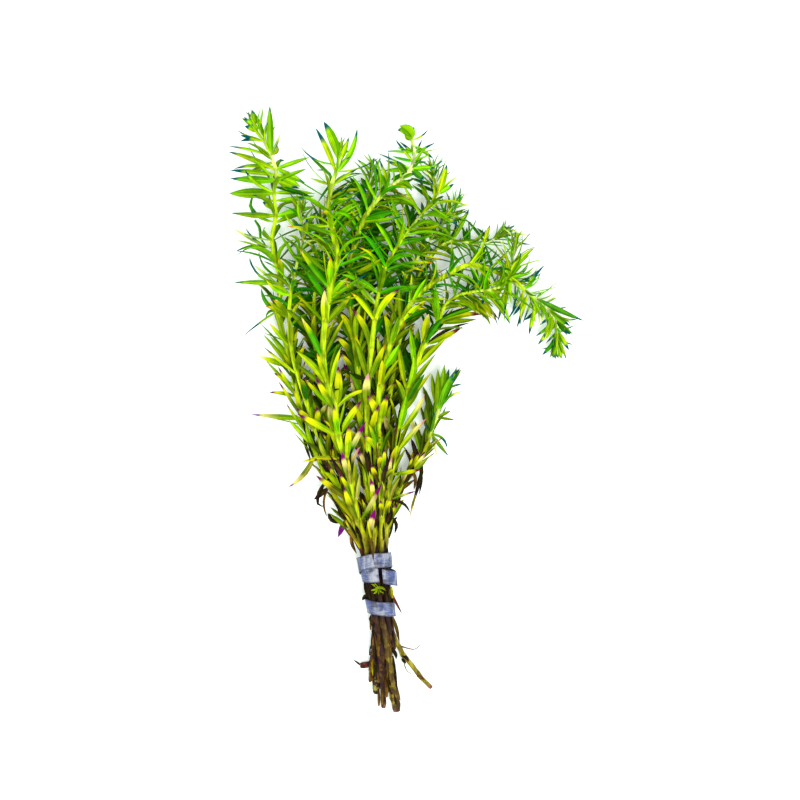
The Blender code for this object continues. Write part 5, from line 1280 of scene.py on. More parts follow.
def find_room(
    stem: Stem, index: float, turn: float, size: tuple, crowd: Crowd, draw: random.Random,
) -> Leaf | None:
    """Try a leaf in slightly different directions until one is clear of its neighbours.

    Args:
        stem: The stem.
        index: The node's point number.
        turn: The wanted direction round the stem.
        size: The wanted length, width and pitch.
        crowd: What stands there already.
        draw: The source of the differences.

    Returns:
        The leaf, or None where there is no room.
    """
    for attempt in range(crowd.tries):
        length, width, pitch, spread = draw_size(draw, size, crowd.boldness * attempt)
        way = turn + math.radians(draw.uniform(-spread, spread))
        leaf = make_leaf(stem, index, way, (length, width, pitch), draw)
        if crowd.has_room(leaf, stem.number):
            return leaf
    return None


@dataclass(frozen=True)
class StripPlan:
    """One wound strip: where its middle line runs, by turns round the bundle."""

    name: str
    turns: tuple
    heights: tuple
    layers: tuple
    width: float


STRIP_THICKNESS = 0.5
STRIP_LAP = 0.75
STRIPS = (
    StripPlan(
        name="metal_strip_upper",
        turns=(0.06, 0.12, 0.25, 0.5, 0.75, 1.0, 1.25, 1.5, 1.75, 2.022),
        heights=(-57.8, -58.4, -59.0, -56.9, -54.4, -52.3, -52.2, -55.0, -57.6, -57.4),
        layers=(0.6, 1.4, 2.2, 1.0, 1.0, 1.0, 0.5, 0.0, 0.0, 0.0),
        width=5.1,
    ),
    StripPlan(
        name="metal_strip_lower",
        turns=(0.56, 0.75, 1.0, 1.25, 1.5, 1.66),
        heights=(-68.6, -68.2, -69.4, -69.8, -69.0, -68.7),
        layers=(0.0, 0.0, 0.0, 0.2, 0.9, 1.0),
        width=4.9,
    ),
)
STRIP_CLEARANCE = 0.35


def strip_point(plan: StripPlan, turn: float, across: float) -> Vector:
    """Give a point of a strip's inner face.

    Args:
        plan: The strip's plan.
        turn: Turns round the bundle from the front, by way of the right side.
        across: Place across the strip, from -1 at the foot to 1 at the top.

    Returns:
        The point in millimetres.
    """
    height = float(np.interp(turn, plan.turns, plan.heights)) + across * 0.5 * plan.width
    layer = float(np.interp(turn, plan.turns, plan.layers))
    share = (TIE_TOP.y - height) / (TIE_TOP.y - TIE_FOOT.y)
    centre = TIE_TOP.lerp(TIE_FOOT, share)
    ring = TOP_RING + share * (FOOT_RING - TOP_RING) + TIE_RADIUS + STRIP_CLEARANCE
    ring += layer * STRIP_LAP
    angle = 2.0 * math.pi * turn
    point = Vector((centre.x + ring * math.sin(angle), height, centre.z + ring * math.cos(angle)))
    point.z = max(point.z, STRIP_THICKNESS + (1.0 - min(layer, 1.0)) * STRIP_LAP)
    return point


class LeafBlank:
    """The one leaf that all leaves are bent and scaled from: six lengthwise edges and a point."""

    SECTION = ((-1.0, 0.0), (-0.5, 0.25), (0.0, 0.0), (0.5, 0.25), (1.0, 0.0), (0.0, -1.0))
    STATIONS = (0.0, 0.12, 0.28, 0.45, 0.62, 0.78, 0.9, 1.0)
    BROAD = (0.4, 0.66, 0.92, 1.0, 0.9, 0.64, 0.34, 0.0)
    NEEDLE = (0.7, 0.85, 1.0, 1.0, 0.86, 0.6, 0.34, 0.0)

    def __init__(self) -> None:
        """Model the blank and keep its arrays."""
        blank = self.model()
        mesh = blank.data
        places = np.empty(len(mesh.vertices) * 3)
        mesh.vertices.foreach_get("co", places)
        places = places.reshape(-1, 3)
        self.across = places[:, 0]
        self.height = places[:, 2]
        self.station = np.abs(places[:, 1][:, None] - np.array(self.STATIONS)).argmin(axis=1)
        self.along = np.array(self.STATIONS)[self.station]
        self.corners = np.empty(len(mesh.loops), dtype=int)
        mesh.loops.foreach_get("vertex_index", self.corners)
        self.starts = np.empty(len(mesh.polygons), dtype=int)
        mesh.polygons.foreach_get("loop_start", self.starts)
        bpy.data.objects.remove(blank)

    def model(self) -> bpy.types.Object:
        """Draw the section out along its length and bring it to a point.

        Returns:
            The blank, one unit long and two wide.
        """
        bpy.ops.object.select_all(action="DESELECT")
        bpy.ops.mesh.primitive_circle_add(vertices=len(self.SECTION), fill_type="NGON")
        blank = bpy.context.object
        for vertex, (across, height) in zip(blank.data.vertices, self.SECTION):
            vertex.co = (across, 0.0, height)
        bpy.ops.object.mode_set(mode="EDIT")
        bpy.ops.mesh.select_all(action="SELECT")
        for step in np.diff(self.STATIONS):
            bpy.ops.mesh.extrude_region_move(TRANSFORM_OT_translate={"value": (0.0, float(step), 0.0)})
        bpy.ops.mesh.merge(type="CENTER")
        bpy.ops.mesh.select_all(action="SELECT")
        bpy.ops.mesh.normals_make_consistent(inside=False)
        bpy.ops.object.mode_set(mode="OBJECT")
        return blank


@dataclass
class Blade:
    """One leaf as it is seen: its middle line, its breadth, how it bends and how it is coloured."""

    path: tuple
    side: tuple | None
    width: float
    thickness: float
    fold: float
    roll: float
    twist: float
    curl: float
    sway: float
    body: tuple
    tip: tuple
    band: tuple
    marks: tuple

    def middle_line(self) -> np.ndarray:
        """Give the middle line's places at the blank's stations.

        Returns:
            Eight places in millimetres.
        """
        stations = np.array(LeafBlank.STATIONS)
        places = np.array(self.path, dtype=float)
        if len(places) == 3 and self.side is not None:
            m = WIDEST_AT
            first = (stations - m) * (stations - 1.0) / m
            second = stations * (stations - 1.0) / (m * (m - 1.0))
            third = stations * (stations - m) / (1.0 - m)
            return first[:, None] * places[0] + second[:, None] * places[1] + third[:, None] * places[2]
        fine, _ = smooth_route(list(places), 0.4)
        arc = arc_lengths(fine)
        return np.stack([np.interp(stations * arc[-1], arc, fine[:, k]) for k in range(3)], axis=1)


@dataclass
class Foliage:
    """All the leaves of one stem, shaped from the blank and joined as one mesh."""

    name: str
    blades: list
    lowest: float = 0.05
    needle_width: float = 1.3
    arch: float = 0.35
    curl_power: float = 2.4
    thickest: tuple = (0.7, 0.02)

    def shape(self, blank: LeafBlank) -> np.ndarray:
        """Lay the blank along every leaf.

        Args:
            blank: The leaf blank.

        Returns:
            The places of all the corners in millimetres, by leaf and corner.
        """
        lines = np.array([blade.middle_line() for blade in self.blades])
        tangents = unit(np.gradient(lines, axis=1))
        level = unit(np.cross((0.0, 0.0, 1.0), tangents))
        sides = np.array([
            level[i] if blade.side is None else np.tile(blade.side, (lines.shape[1], 1))
            for i, blade in enumerate(self.blades)
        ])
        sides = unit(sides - tangents * (sides * tangents).sum(axis=2, keepdims=True))
        normals = np.cross(sides, tangents)
        stations = np.array(LeafBlank.STATIONS)
        lengths = np.linalg.norm(np.diff(lines, axis=1), axis=2).sum(axis=1)
        curls = np.array([blade.curl for blade in self.blades])
        rises = stations**self.curl_power
        lines = lines + normals * (curls * lengths)[:, None, None] * rises[None, :, None]
        sways = np.array([blade.sway for blade in self.blades])
        bows = 4.0 * stations * (1.0 - stations)
        lines = lines + sides * (sways * lengths)[:, None, None] * bows[None, :, None]
        tangents = unit(np.gradient(lines, axis=1))
        sides = unit(sides - tangents * (sides * tangents).sum(axis=2, keepdims=True))
        normals = np.cross(sides, tangents)
        turn = np.array([blade.roll + blade.twist * stations for blade in self.blades])
        turn = np.radians(turn)[:, :, None]
        turned = sides * np.cos(turn) + normals * np.sin(turn)
        normals = normals * np.cos(turn) - sides * np.sin(turn)
        sides = turned
        widths = np.array([blade.width for blade in self.blades])
        needle = widths < self.needle_width
        profile = np.where(needle[:, None], LeafBlank.NEEDLE, LeafBlank.BROAD)
        half = 0.5 * widths[:, None] * profile
        folds = np.radians([blade.fold for blade in self.blades])
        thick = np.array([blade.thickness for blade in self.blades])[:, None]
        thick = np.minimum(thick, self.thickest[0] * half + self.thickest[1])
        half = half[:, blank.station]
        thick = thick[:, blank.station]
        across = half * blank.across * np.cos(folds)[:, None]
        lift = half * np.abs(blank.across) * np.sin(folds)[:, None]
        lift = lift + np.where(blank.height > 0.0, blank.height * self.arch * half, 0.0)
        lift = lift + np.where(blank.height < 0.0, blank.height * thick, 0.0)
        places = lines[:, blank.station] + sides[:, blank.station] * across[:, :, None]
        places = places + normals[:, blank.station] * lift[:, :, None]
        for ring in range(len(stations)):
            members = blank.station == ring
            bottom = places[:, members, 2].min(axis=1)
            places[:, members, 2] += np.maximum(0.0, self.lowest - bottom)[:, None]
        return places

    def build(self, blank: LeafBlank) -> bpy.types.Object:
        """Make the mesh with its colours.

        Args:
            blank: The leaf blank.

        Returns:
            The object.
        """
        places = self.shape(blank)
        count, corners = places.shape[:2]
        places = (places.reshape(-1, 3) - np.array(MIDDLE)) * MM
        mesh = bpy.data.meshes.new(self.name)
        mesh.vertices.add(len(places))
        mesh.vertices.foreach_set("co", places.ravel())
        loops = blank.corners[None, :] + np.arange(count)[:, None] * corners
        mesh.loops.add(loops.size)
        mesh.loops.foreach_set("vertex_index", loops.ravel())
        starts = blank.starts[None, :] + np.arange(count)[:, None] * len(blank.corners)
        mesh.polygons.add(starts.size)
        mesh.polygons.foreach_set("loop_start", starts.ravel())
        mesh.update(calc_edges=True)
        place = np.stack((blank.across, blank.along, np.maximum(0.0, -blank.height)), axis=1)
        put_vector(mesh, "leaf_place", np.tile(place, (count, 1)))
        for part in ("marks", "body", "tip", "band"):
            values = np.repeat([getattr(blade, part) for blade in self.blades], corners, axis=0)
            (put_vector if part == "marks" else put_colour)(mesh, "leaf_" + part, values)
        built = bpy.data.objects.new(self.name, mesh)
        bpy.context.scene.collection.objects.link(built)
        return built


def unit(vectors: np.ndarray) -> np.ndarray:
    """Scale vectors to a length of one."""
    return vectors / np.maximum(np.linalg.norm(vectors, axis=-1, keepdims=True), 1e-9)


def put_vector(mesh: bpy.types.Mesh, name: str, values: np.ndarray) -> None:
    """Store a vector at every vertex of a mesh."""
    attribute = mesh.attributes.new(name, "FLOAT_VECTOR", "POINT")
    attribute.data.foreach_set("vector", np.ascontiguousarray(values, dtype=float).ravel())


def put_colour(mesh: bpy.types.Mesh, name: str, values: np.ndarray) -> None:
    """Store a colour at every vertex of a mesh."""
    full = np.concatenate((values, np.ones((len(values), 1))), axis=1)
    mesh.attributes.new(name, "FLOAT_COLOR", "POINT").data.foreach_set("color", full.ravel())


def put_number(mesh: bpy.types.Mesh, name: str, values: np.ndarray) -> None:
    """Store a number at every vertex of a mesh."""
    attribute = mesh.attributes.new(name, "FLOAT", "POINT")
    attribute.data.foreach_set("value", np.ascontiguousarray(values, dtype=float))


def blend(first: tuple, second: tuple, share: float) -> tuple:
    """Mix two colours."""
    return tuple(a + (b - a) * share for a, b in zip(first, second))


class Painter:
    """Chooses how each leaf is coloured, by its place on the stem and in the bunch."""

    YOUNG_TO = 26.0
    CROWN_FROM = 38.0
    MIDDLE_FROM = 14.0
    LOWER_FROM = -12.0
    UPRIGHT_BELOW = 36.0
    UPRIGHT_LEAN = 0.28
    NEEDLE_UNDER = 1.15
    PALE_UNDER = 1.2
    # How far others rise above a leaf, and how much painted shade it takes there
    BURIED = (2.0, 9.0)
    BURIED_SHADE_SHARES = (0.85, 0.5)
    SHADE_HEIGHTS = (-30.0, -5.0, 30.0)
    LIGHT_RISES = (20.0, CROWN_FROM)
    BRIGHTNESS = (0.86, 1.0)
    SHADES = (0.88, 1.12)
    SHADED_OWN_COLOUR = (0.05, 0.5)
    DRY_BROWNING = (0.0, 0.3)
    SECOND_SHARE = (0.0, 0.4)
    OWN_SHARE = 0.55
    # One for known leaves, one for others in the crown and one for others below it
    LIVELY = (0.25, 1.0, 0.45)
    ROLLS = (12.0, 55.0, 28.0)
    FOLDS = ((6.0, 20.0), (10.0, 36.0), (10.0, 36.0))
    TWIST = 30.0
    CURL = 0.2
    CURLS = (-0.7, 1.0)
    SWAY = 0.13
    LOW_SLENDER = 0.86
    BROAD_UNDER = 2.6
    WIDTHS = (1.0, 1.2)
    THICKNESS = 0.2
    WIDE_FROM = 1.7
    WIDE_SHIFT = 0.09
    NEEDLE_SHIFT = -0.26
    START_SPREAD = 0.06
    CURL_THICKNESS = 0.25
    CURL_TWIST = 20.0
    OLIVE_SHARES = (0.2, 0.8)
    LIMY_SHARES = (0.3, 0.8)
    ON_SURFACE_UNDER = 1.0
    ON_SURFACE_BROWNING = 0.3

    def __init__(self, plan: StemPlan) -> None:
        """Start a painter of one stem.

        Args:
            plan: The stem's plan, whose name fixes the draws.
        """
        self.plan = plan
        self.draw = random.Random(plan.name + " colours")

    def pick(self, choices: tuple) -> object:
        """Draw one of several things by their shares.

        Args:
            choices: Pairs of a thing and its share.

        Returns:
            The thing drawn.
        """
        things = [choice[0] for choice in choices]
        shares = [choice[1] for choice in choices]
        return self.draw.choices(things, shares)[0]

    def body(self, distance: float, place: tuple, tone: Tone, buried: float) -> tuple:
        """Choose a leaf's main colour.

        Args:
            distance: Its distance from the growing tip.
            place: Its widest place.
            tone: Its tone.
            buried: How far others rise above it.

        Returns:
            The colour.
        """
        # The painted shade colour at this height
        dark = [float(np.interp(place[1], self.SHADE_HEIGHTS, shades)) for shades in zip(*SHADE_PAINTS)]
        # Leaves of the shaded tone take the painted shade colour, with some of a leaf colour mixed in.
        if tone is Tone.SHADED:
            light = BROWN if place[1] < self.LOWER_FROM else MOSS if place[1] < self.MIDDLE_FROM else GREEN
            return blend(dark, light, self.draw.uniform(*self.SHADED_OWN_COLOUR))
        if TIPS[tone].body is not None:
            return blend(TIPS[tone].body, BROWN, self.draw.uniform(*self.DRY_BROWNING))
        if distance < self.YOUNG_TO and tone is Tone.TEAL:
            choices = ((GREEN, 2), (LIME, 6), (YELLOW_GREEN, 5))
        elif distance < self.YOUNG_TO:
            choices = ((LIME, 6), (GREEN, 2), (YELLOW_GREEN, 4))
        elif place[1] > self.CROWN_FROM:
            choices = ((GREEN, 36), (LIME, 34), (YELLOW_GREEN, 12), (MOSS, 10), (DEEP_GREEN, 8))
        elif place[1] > self.LOWER_FROM:
            choices = ((YELLOW_GREEN, 48), (LIME, 14), (GREEN, 5), (MOSS, 30), (DEEP_GREEN, 3))
        else:
            choices = ((STRAW, 22), (PALE_STRAW, 14), (YELLOW_GREEN, 12), (MOSS, 20), (OLIVE, 20),
                       (BROWN, 12))
        colour = blend(self.pick(choices), self.pick(choices), self.draw.uniform(*self.SECOND_SHARE))
        if self.plan.body is not None and place[1] > self.LOWER_FROM:
            colour = blend(colour, self.plan.body, self.OWN_SHARE)
        # Painted shade: a leaf darkens towards the shade colour as others rise above it.
        most = float(np.interp(place[1], self.LIGHT_RISES, self.BURIED_SHADE_SHARES))
        depth = float(np.interp(buried, self.BURIED, (0.0, most)))
        colour = blend(colour, dark, depth)
        bright = float(np.interp(place[1], self.LIGHT_RISES, self.BRIGHTNESS))
        return tuple(part * bright * self.draw.uniform(*self.SHADES) for part in colour)

    def tone(self, distance: float, place: tuple) -> Tone:
        """Choose the tone of a leaf that has none of its own.

        Args:
            distance: Its distance from the growing tip.
            place: Its widest place.

        Returns:
            The tone.
        """
        teal = self.plan.teal
        if distance < self.YOUNG_TO:
            choices = ((Tone.TEAL, 50 * teal), (Tone.PLAIN, 46), (Tone.PALE, 6))
        elif place[1] > self.CROWN_FROM:
            choices = ((Tone.PLAIN, 66), (Tone.TEAL, 14 * teal), (Tone.ORANGE, 12), (Tone.PALE, 8))
        elif place[1] > self.MIDDLE_FROM:
            choices = ((Tone.PLAIN, 46), (Tone.ORANGE, 40), (Tone.PURPLE, 8), (Tone.CREAM, 2),
                       (Tone.SPOTTED, 4))
        elif place[1] > self.LOWER_FROM:
            choices = ((Tone.PURPLE, 44), (Tone.ORANGE, 20), (Tone.PLAIN, 28), (Tone.PINK, 4),
                       (Tone.SPOTTED, 4))
        else:
            choices = ((Tone.PURPLE, 30), (Tone.MAGENTA, 5), (Tone.DARK, 22), (Tone.PINK, 5),
                       (Tone.ORANGE, 16), (Tone.PLAIN, 22))
        return self.pick(choices)

    def path(self, leaf: Leaf, distance: float) -> tuple:
        """Draw a leaf in and lean it towards the stem, as the plan wants.

        Args:
            leaf: The planned leaf.
            distance: Its distance from the growing tip.

        Returns:
            Its start, widest place and tip.
        """
        slim = float(np.interp(leaf.start.y, SLIM_HEIGHTS, (1.0, self.plan.slim)))
        inner = leaf.start - leaf.outward * (ROOTED_AT * (1.0 - slim))
        places = [tuple(inner), tuple(leaf.middle), tuple(leaf.tip)]
        if leaf.tone is not Tone.BY_PLACE:
            return tuple(places)
        plan = self.plan
        size = plan.short * (plan.short_tip if distance < plan.tip_reach else 1.0)
        lean = plan.lean + (self.UPRIGHT_LEAN if leaf.middle.y < self.UPRIGHT_BELOW else 0.0)
        for i in (1, 2):
            reach = Vector(places[i]) - leaf.start
            way = reach.normalized().lerp(leaf.facing.normalized(), lean).normalized()
            places[i] = tuple(leaf.start + way * (reach.length * size))
        return tuple(places)

    def blade(self, leaf: Leaf, distance: float, buried: float) -> Blade:
        """Make the seen leaf of a planned one.

        Args:
            leaf: The planned leaf.
            distance: Its distance from the growing tip.
            buried: How far others rise above it.

        Returns:
            The blade.
        """
        draw = self.draw
        tone = leaf.tone
        if tone is Tone.BY_PLACE:
            tone = self.tone(distance, tuple(leaf.middle))
            if tone is Tone.PALE and leaf.width > self.PALE_UNDER:
                tone = Tone.PLAIN
        look = TIPS[tone]
        side = Vector(leaf.side)
        heading = (leaf.tip - leaf.start).normalized()
        # The side is turned so that each blade faces up, which keeps the painted shaded half of its fold on
        # the same side.
        if side.cross(heading).dot(leaf.facing + UP) < 0.0:
            side.negate()
        known = leaf.tone is not Tone.BY_PLACE
        crown = leaf.middle.y > self.CROWN_FROM
        sort = 0 if known else 1 if crown else 2
        lively = self.LIVELY[sort]
        roll = self.ROLLS[sort]
        low = self.plan.slender_low * (self.LOW_SLENDER if leaf.middle.y < self.LOWER_FROM else 1.0)
        slender = self.plan.slender if crown else low
        widened = leaf.middle.y > self.MIDDLE_FROM and leaf.width < self.BROAD_UNDER
        broad = leaf.broad * (self.plan.broad if widened else 1.0)
        seen = leaf.width * (broad if known else slender)
        start = look.start
        if tone is Tone.TEAL and leaf.width > self.WIDE_FROM:
            start += self.WIDE_SHIFT
        elif tone is Tone.TEAL and known and min(leaf.width, seen) < self.NEEDLE_UNDER:
            start += self.NEEDLE_SHIFT
        return Blade(
            path=self.path(leaf, distance),
            side=tuple(side),
            width=seen * draw.uniform(*self.WIDTHS),
            thickness=self.THICKNESS,
            fold=draw.uniform(*self.FOLDS[sort]),
            roll=draw.uniform(-roll, roll),
            twist=draw.uniform(-self.TWIST, self.TWIST),
            curl=self.CURL * lively * draw.uniform(*self.CURLS),
            sway=self.SWAY * lively * draw.uniform(-1.0, 1.0) + leaf.sway,
            body=self.body(distance, tuple(leaf.middle), tone, 0.0 if known else buried),
            tip=look.paint,
            band=look.band_paint,
            marks=(start + draw.uniform(-self.START_SPREAD, self.START_SPREAD), look.band, look.spots),
        )

    def curl(self, curl: Curl) -> Blade:
        """Make the seen leaf of a curled or crushed one.

        Args:
            curl: The curled leaf.

        Returns:
            The blade.
        """
        look = TIPS[curl.tone]
        high = curl.path[len(curl.path) // 2][2] > self.ON_SURFACE_UNDER
        body = look.body
        if body is None and curl.tone is Tone.SPOTTED:
            body = blend(OLIVE, YELLOW_GREEN, self.draw.uniform(*self.OLIVE_SHARES))
        elif body is None:
            last = YELLOW_GREEN if curl.tone is Tone.PLAIN else ORANGE
            body = blend(GREEN, last, self.draw.uniform(*self.LIMY_SHARES))
        return Blade(
            path=curl.path,
            side=None,
            width=curl.width,
            thickness=self.CURL_THICKNESS,
            fold=curl.fold,
            roll=0.0,
            twist=self.draw.uniform(-self.CURL_TWIST, self.CURL_TWIST),
            curl=0.0,
            sway=0.0,
            body=body if high else blend(body, BROWN, self.ON_SURFACE_BROWNING),
            tip=look.paint,
            band=look.band_paint,
            marks=(look.start, look.band, look.spots),
        )


ROUGH_WAVES = (1, 1, 2, 2, 3, 3, 4)
ROUGH_PITCH = (0.25, 1.3)
ROUGH_PARTS = 3.0


def tube(name: str, points: np.ndarray, radii: np.ndarray, sides: int, edge: float,
         rough: np.ndarray) -> tuple:
    """Wrap a grid round a route as a closed tube.

    Args:
        name: The object's name.
        points: The route in millimetres.
        radii: The radius at each point.
        sides: How many faces go round it.
        edge: How square it is, from 0 for a round one.
        rough: How uneven it is at each point.

    Returns:
        The object, the point number of each vertex and its angle.
    """
    tangents = unit(np.gradient(points, axis=0))
    cross = np.empty_like(points)
    guide = np.array((0.0, 0.0, 1.0))
    for i, tangent in enumerate(tangents):
        guide = guide - tangent * guide.dot(tangent)
        guide = guide / np.linalg.norm(guide)
        cross[i] = guide
    second = np.cross(tangents, cross)
    bpy.ops.object.select_all(action="DESELECT")
    bpy.ops.mesh.primitive_grid_add(x_subdivisions=len(points) - 1, y_subdivisions=sides, size=2.0)
    built = bpy.context.object
    built.name = name
    mesh = built.data
    mesh.name = name
    places = np.empty(len(mesh.vertices) * 3)
    mesh.vertices.foreach_get("co", places)
    places = places.reshape(-1, 3)
    number = np.rint(0.5 * (places[:, 0] + 1.0) * (len(points) - 1)).astype(int)
    angle = np.pi * (places[:, 1] + 1.0)
    wide = radii[number] * (1.0 + edge * np.cos(4.0 * angle))
    draw = random.Random(name)
    uneven = np.zeros(len(number))
    for turns in ROUGH_WAVES:
        phase = draw.uniform(0.0, 6.28)
        uneven += np.sin(number * draw.uniform(*ROUGH_PITCH) + turns * angle + phase)
    wide = wide * (1.0 + rough[number] * uneven / ROUGH_PARTS)
    ring = cross[number] * np.cos(angle)[:, None] + second[number] * np.sin(angle)[:, None]
    places = points[number] + ring * wide[:, None]
    places = (places - np.array(MIDDLE)) * MM
    mesh.vertices.foreach_set("co", places.ravel())
    return built, number, angle


def close_tube(built: bpy.types.Object) -> None:
    """Close a tube's seam and its ends.

    Args:
        built: The tube.
    """
    bpy.ops.object.select_all(action="DESELECT")
    built.select_set(True)
    bpy.context.view_layer.objects.active = built
    bpy.ops.object.mode_set(mode="EDIT")
    bpy.ops.mesh.select_all(action="SELECT")
    bpy.ops.mesh.remove_doubles(threshold=1e-6)
    bpy.ops.mesh.select_all(action="SELECT")
    bpy.ops.mesh.fill_holes(sides=0)
    bpy.ops.mesh.select_all(action="SELECT")
    bpy.ops.mesh.normals_make_consistent(inside=False)
    bpy.ops.object.mode_set(mode="OBJECT")


class Wiring:
    """A short way to wire the nodes of a material."""

    def __init__(self, name: str) -> None:
        """Start a material.

        Args:
            name: Its name.
        """
        self.material = bpy.data.materials.new(name)
        self.material.use_nodes = True
        self.tree = self.material.node_tree
        self.shader = self.tree.nodes["Principled BSDF"]

    def node(self, kind: str, inputs: dict, **settings: object) -> bpy.types.Node:
        """Add a node.

        Args:
            kind: Its type.
            inputs: Values or sockets by input name or number.
            settings: The node's own settings.

        Returns:
            The node.
        """
        made = self.tree.nodes.new(kind)
        for key, value in settings.items():
            setattr(made, key, value)
        for key, value in inputs.items():
            self.feed(made.inputs[key], value)
        return made

    def feed(self, socket: bpy.types.NodeSocket, value: object) -> None:
        """Link a socket to another one, or set its value.

        Args:
            socket: The input.
            value: An output, a colour, a vector or a number.
        """
        if isinstance(value, bpy.types.NodeSocket):
            self.tree.links.new(value, socket)
        elif isinstance(value, tuple) and len(value) == 3 and socket.type == "RGBA":
            socket.default_value = (*value, 1.0)
        else:
            socket.default_value = value

    def attribute(self, name: str) -> bpy.types.Node:
        """Read a mesh attribute."""
        return self.node("ShaderNodeAttribute", {}, attribute_name=name)

    def vector(self, name: str) -> bpy.types.NodeSocket:
        """Read a mesh attribute as a vector."""
        return self.attribute(name).outputs["Vector"]

    def colour(self, name: str) -> bpy.types.NodeSocket:
        """Read a mesh attribute as a colour."""
        return self.attribute(name).outputs["Color"]

    def where(self) -> bpy.types.NodeSocket:
        """Read the place on the object, in metres."""
        return self.node("ShaderNodeTexCoord", {}).outputs["Object"]

    def parts(self, vector: object) -> tuple:
        """Split a vector into its three parts."""
        made = self.node("ShaderNodeSeparateXYZ", {0: vector})
        return made.outputs[0], made.outputs[1], made.outputs[2]

    def math(self, operation: str, first: object, second: object = 0.0) -> bpy.types.NodeSocket:
        """Calculate with one or two values."""
        inputs = {0: first, 1: second}
        return self.node("ShaderNodeMath", inputs, operation=operation).outputs[0]

    def ease(self, value: object, low: object, high: object, start: float = 0.0,
             end: float = 1.0) -> bpy.types.NodeSocket:
        """Map a value smoothly from one range to another, without leaving the second.

        Args:
            value: The value.
            low: Where its range starts.
            high: Where its range ends.
            start: What the range's start becomes.
            end: What the range's end becomes.

        Returns:
            The mapped value.
        """
        inputs = {"Value": value, "From Min": low, "From Max": high, "To Min": start, "To Max": end}
        kind = "ShaderNodeMapRange"
        return self.node(kind, inputs, interpolation_type="SMOOTHSTEP").outputs["Result"]

    def mix(self, share: object, first: object, second: object,
            kind: str = "MIX") -> bpy.types.NodeSocket:
        """Mix two colours.

        Args:
            share: The share of the second.
            first: The first colour.
            second: The second colour.
            kind: How they are mixed.

        Returns:
            The mixed colour.
        """
        made = self.node("ShaderNodeMix", {}, data_type="RGBA", blend_type=kind)
        self.feed(made.inputs[0], share)
        self.feed(made.inputs[6], first)
        self.feed(made.inputs[7], second)
        return made.outputs[2]

    def tint(self, colour: object, factor: object) -> bpy.types.NodeSocket:
        """Multiply a colour by another one or by a number."""
        return self.mix(1.0, colour, factor, "MULTIPLY")

    def times(self, first: object, second: object) -> bpy.types.NodeSocket:
        """Multiply two values."""
        return self.math("MULTIPLY", first, second)

    def plus(self, first: object, second: object) -> bpy.types.NodeSocket:
        """Add two values."""
        return self.math("ADD", first, second)

    def minus(self, first: object, second: object) -> bpy.types.NodeSocket:
        """Take one value from another."""
        return self.math("SUBTRACT", first, second)

    def stretch(self, vector: object, scale: tuple) -> bpy.types.NodeSocket:
        """Scale a vector by a factor for each direction."""
        return self.node("ShaderNodeVectorMath", {0: vector, 1: scale}, operation="MULTIPLY").outputs[0]

    def noise(self, vector: object, scale: float, detail: float = 2.0,
              roughness: float = 0.5) -> bpy.types.NodeSocket:
        """Give a soft noise from about 0.3 to 0.7."""
        inputs = {"Vector": vector, "Scale": scale, "Detail": detail, "Roughness": roughness}
        return self.node("ShaderNodeTexNoise", inputs).outputs["Fac"]

    def bump(self, height: object, strength: float, distance: float) -> None:
        """Raise the shader's surface by a height."""
        made = self.node("ShaderNodeBump", {"Height": height, "Strength": strength, "Distance": distance})
        self.feed(self.shader.inputs["Normal"], made.outputs[0])

    def set(self, **values: object) -> None:
        """Set the shader's inputs, by names with underscores for spaces."""
        for key, value in values.items():
            self.feed(self.shader.inputs[key.replace("_", " ")], value)


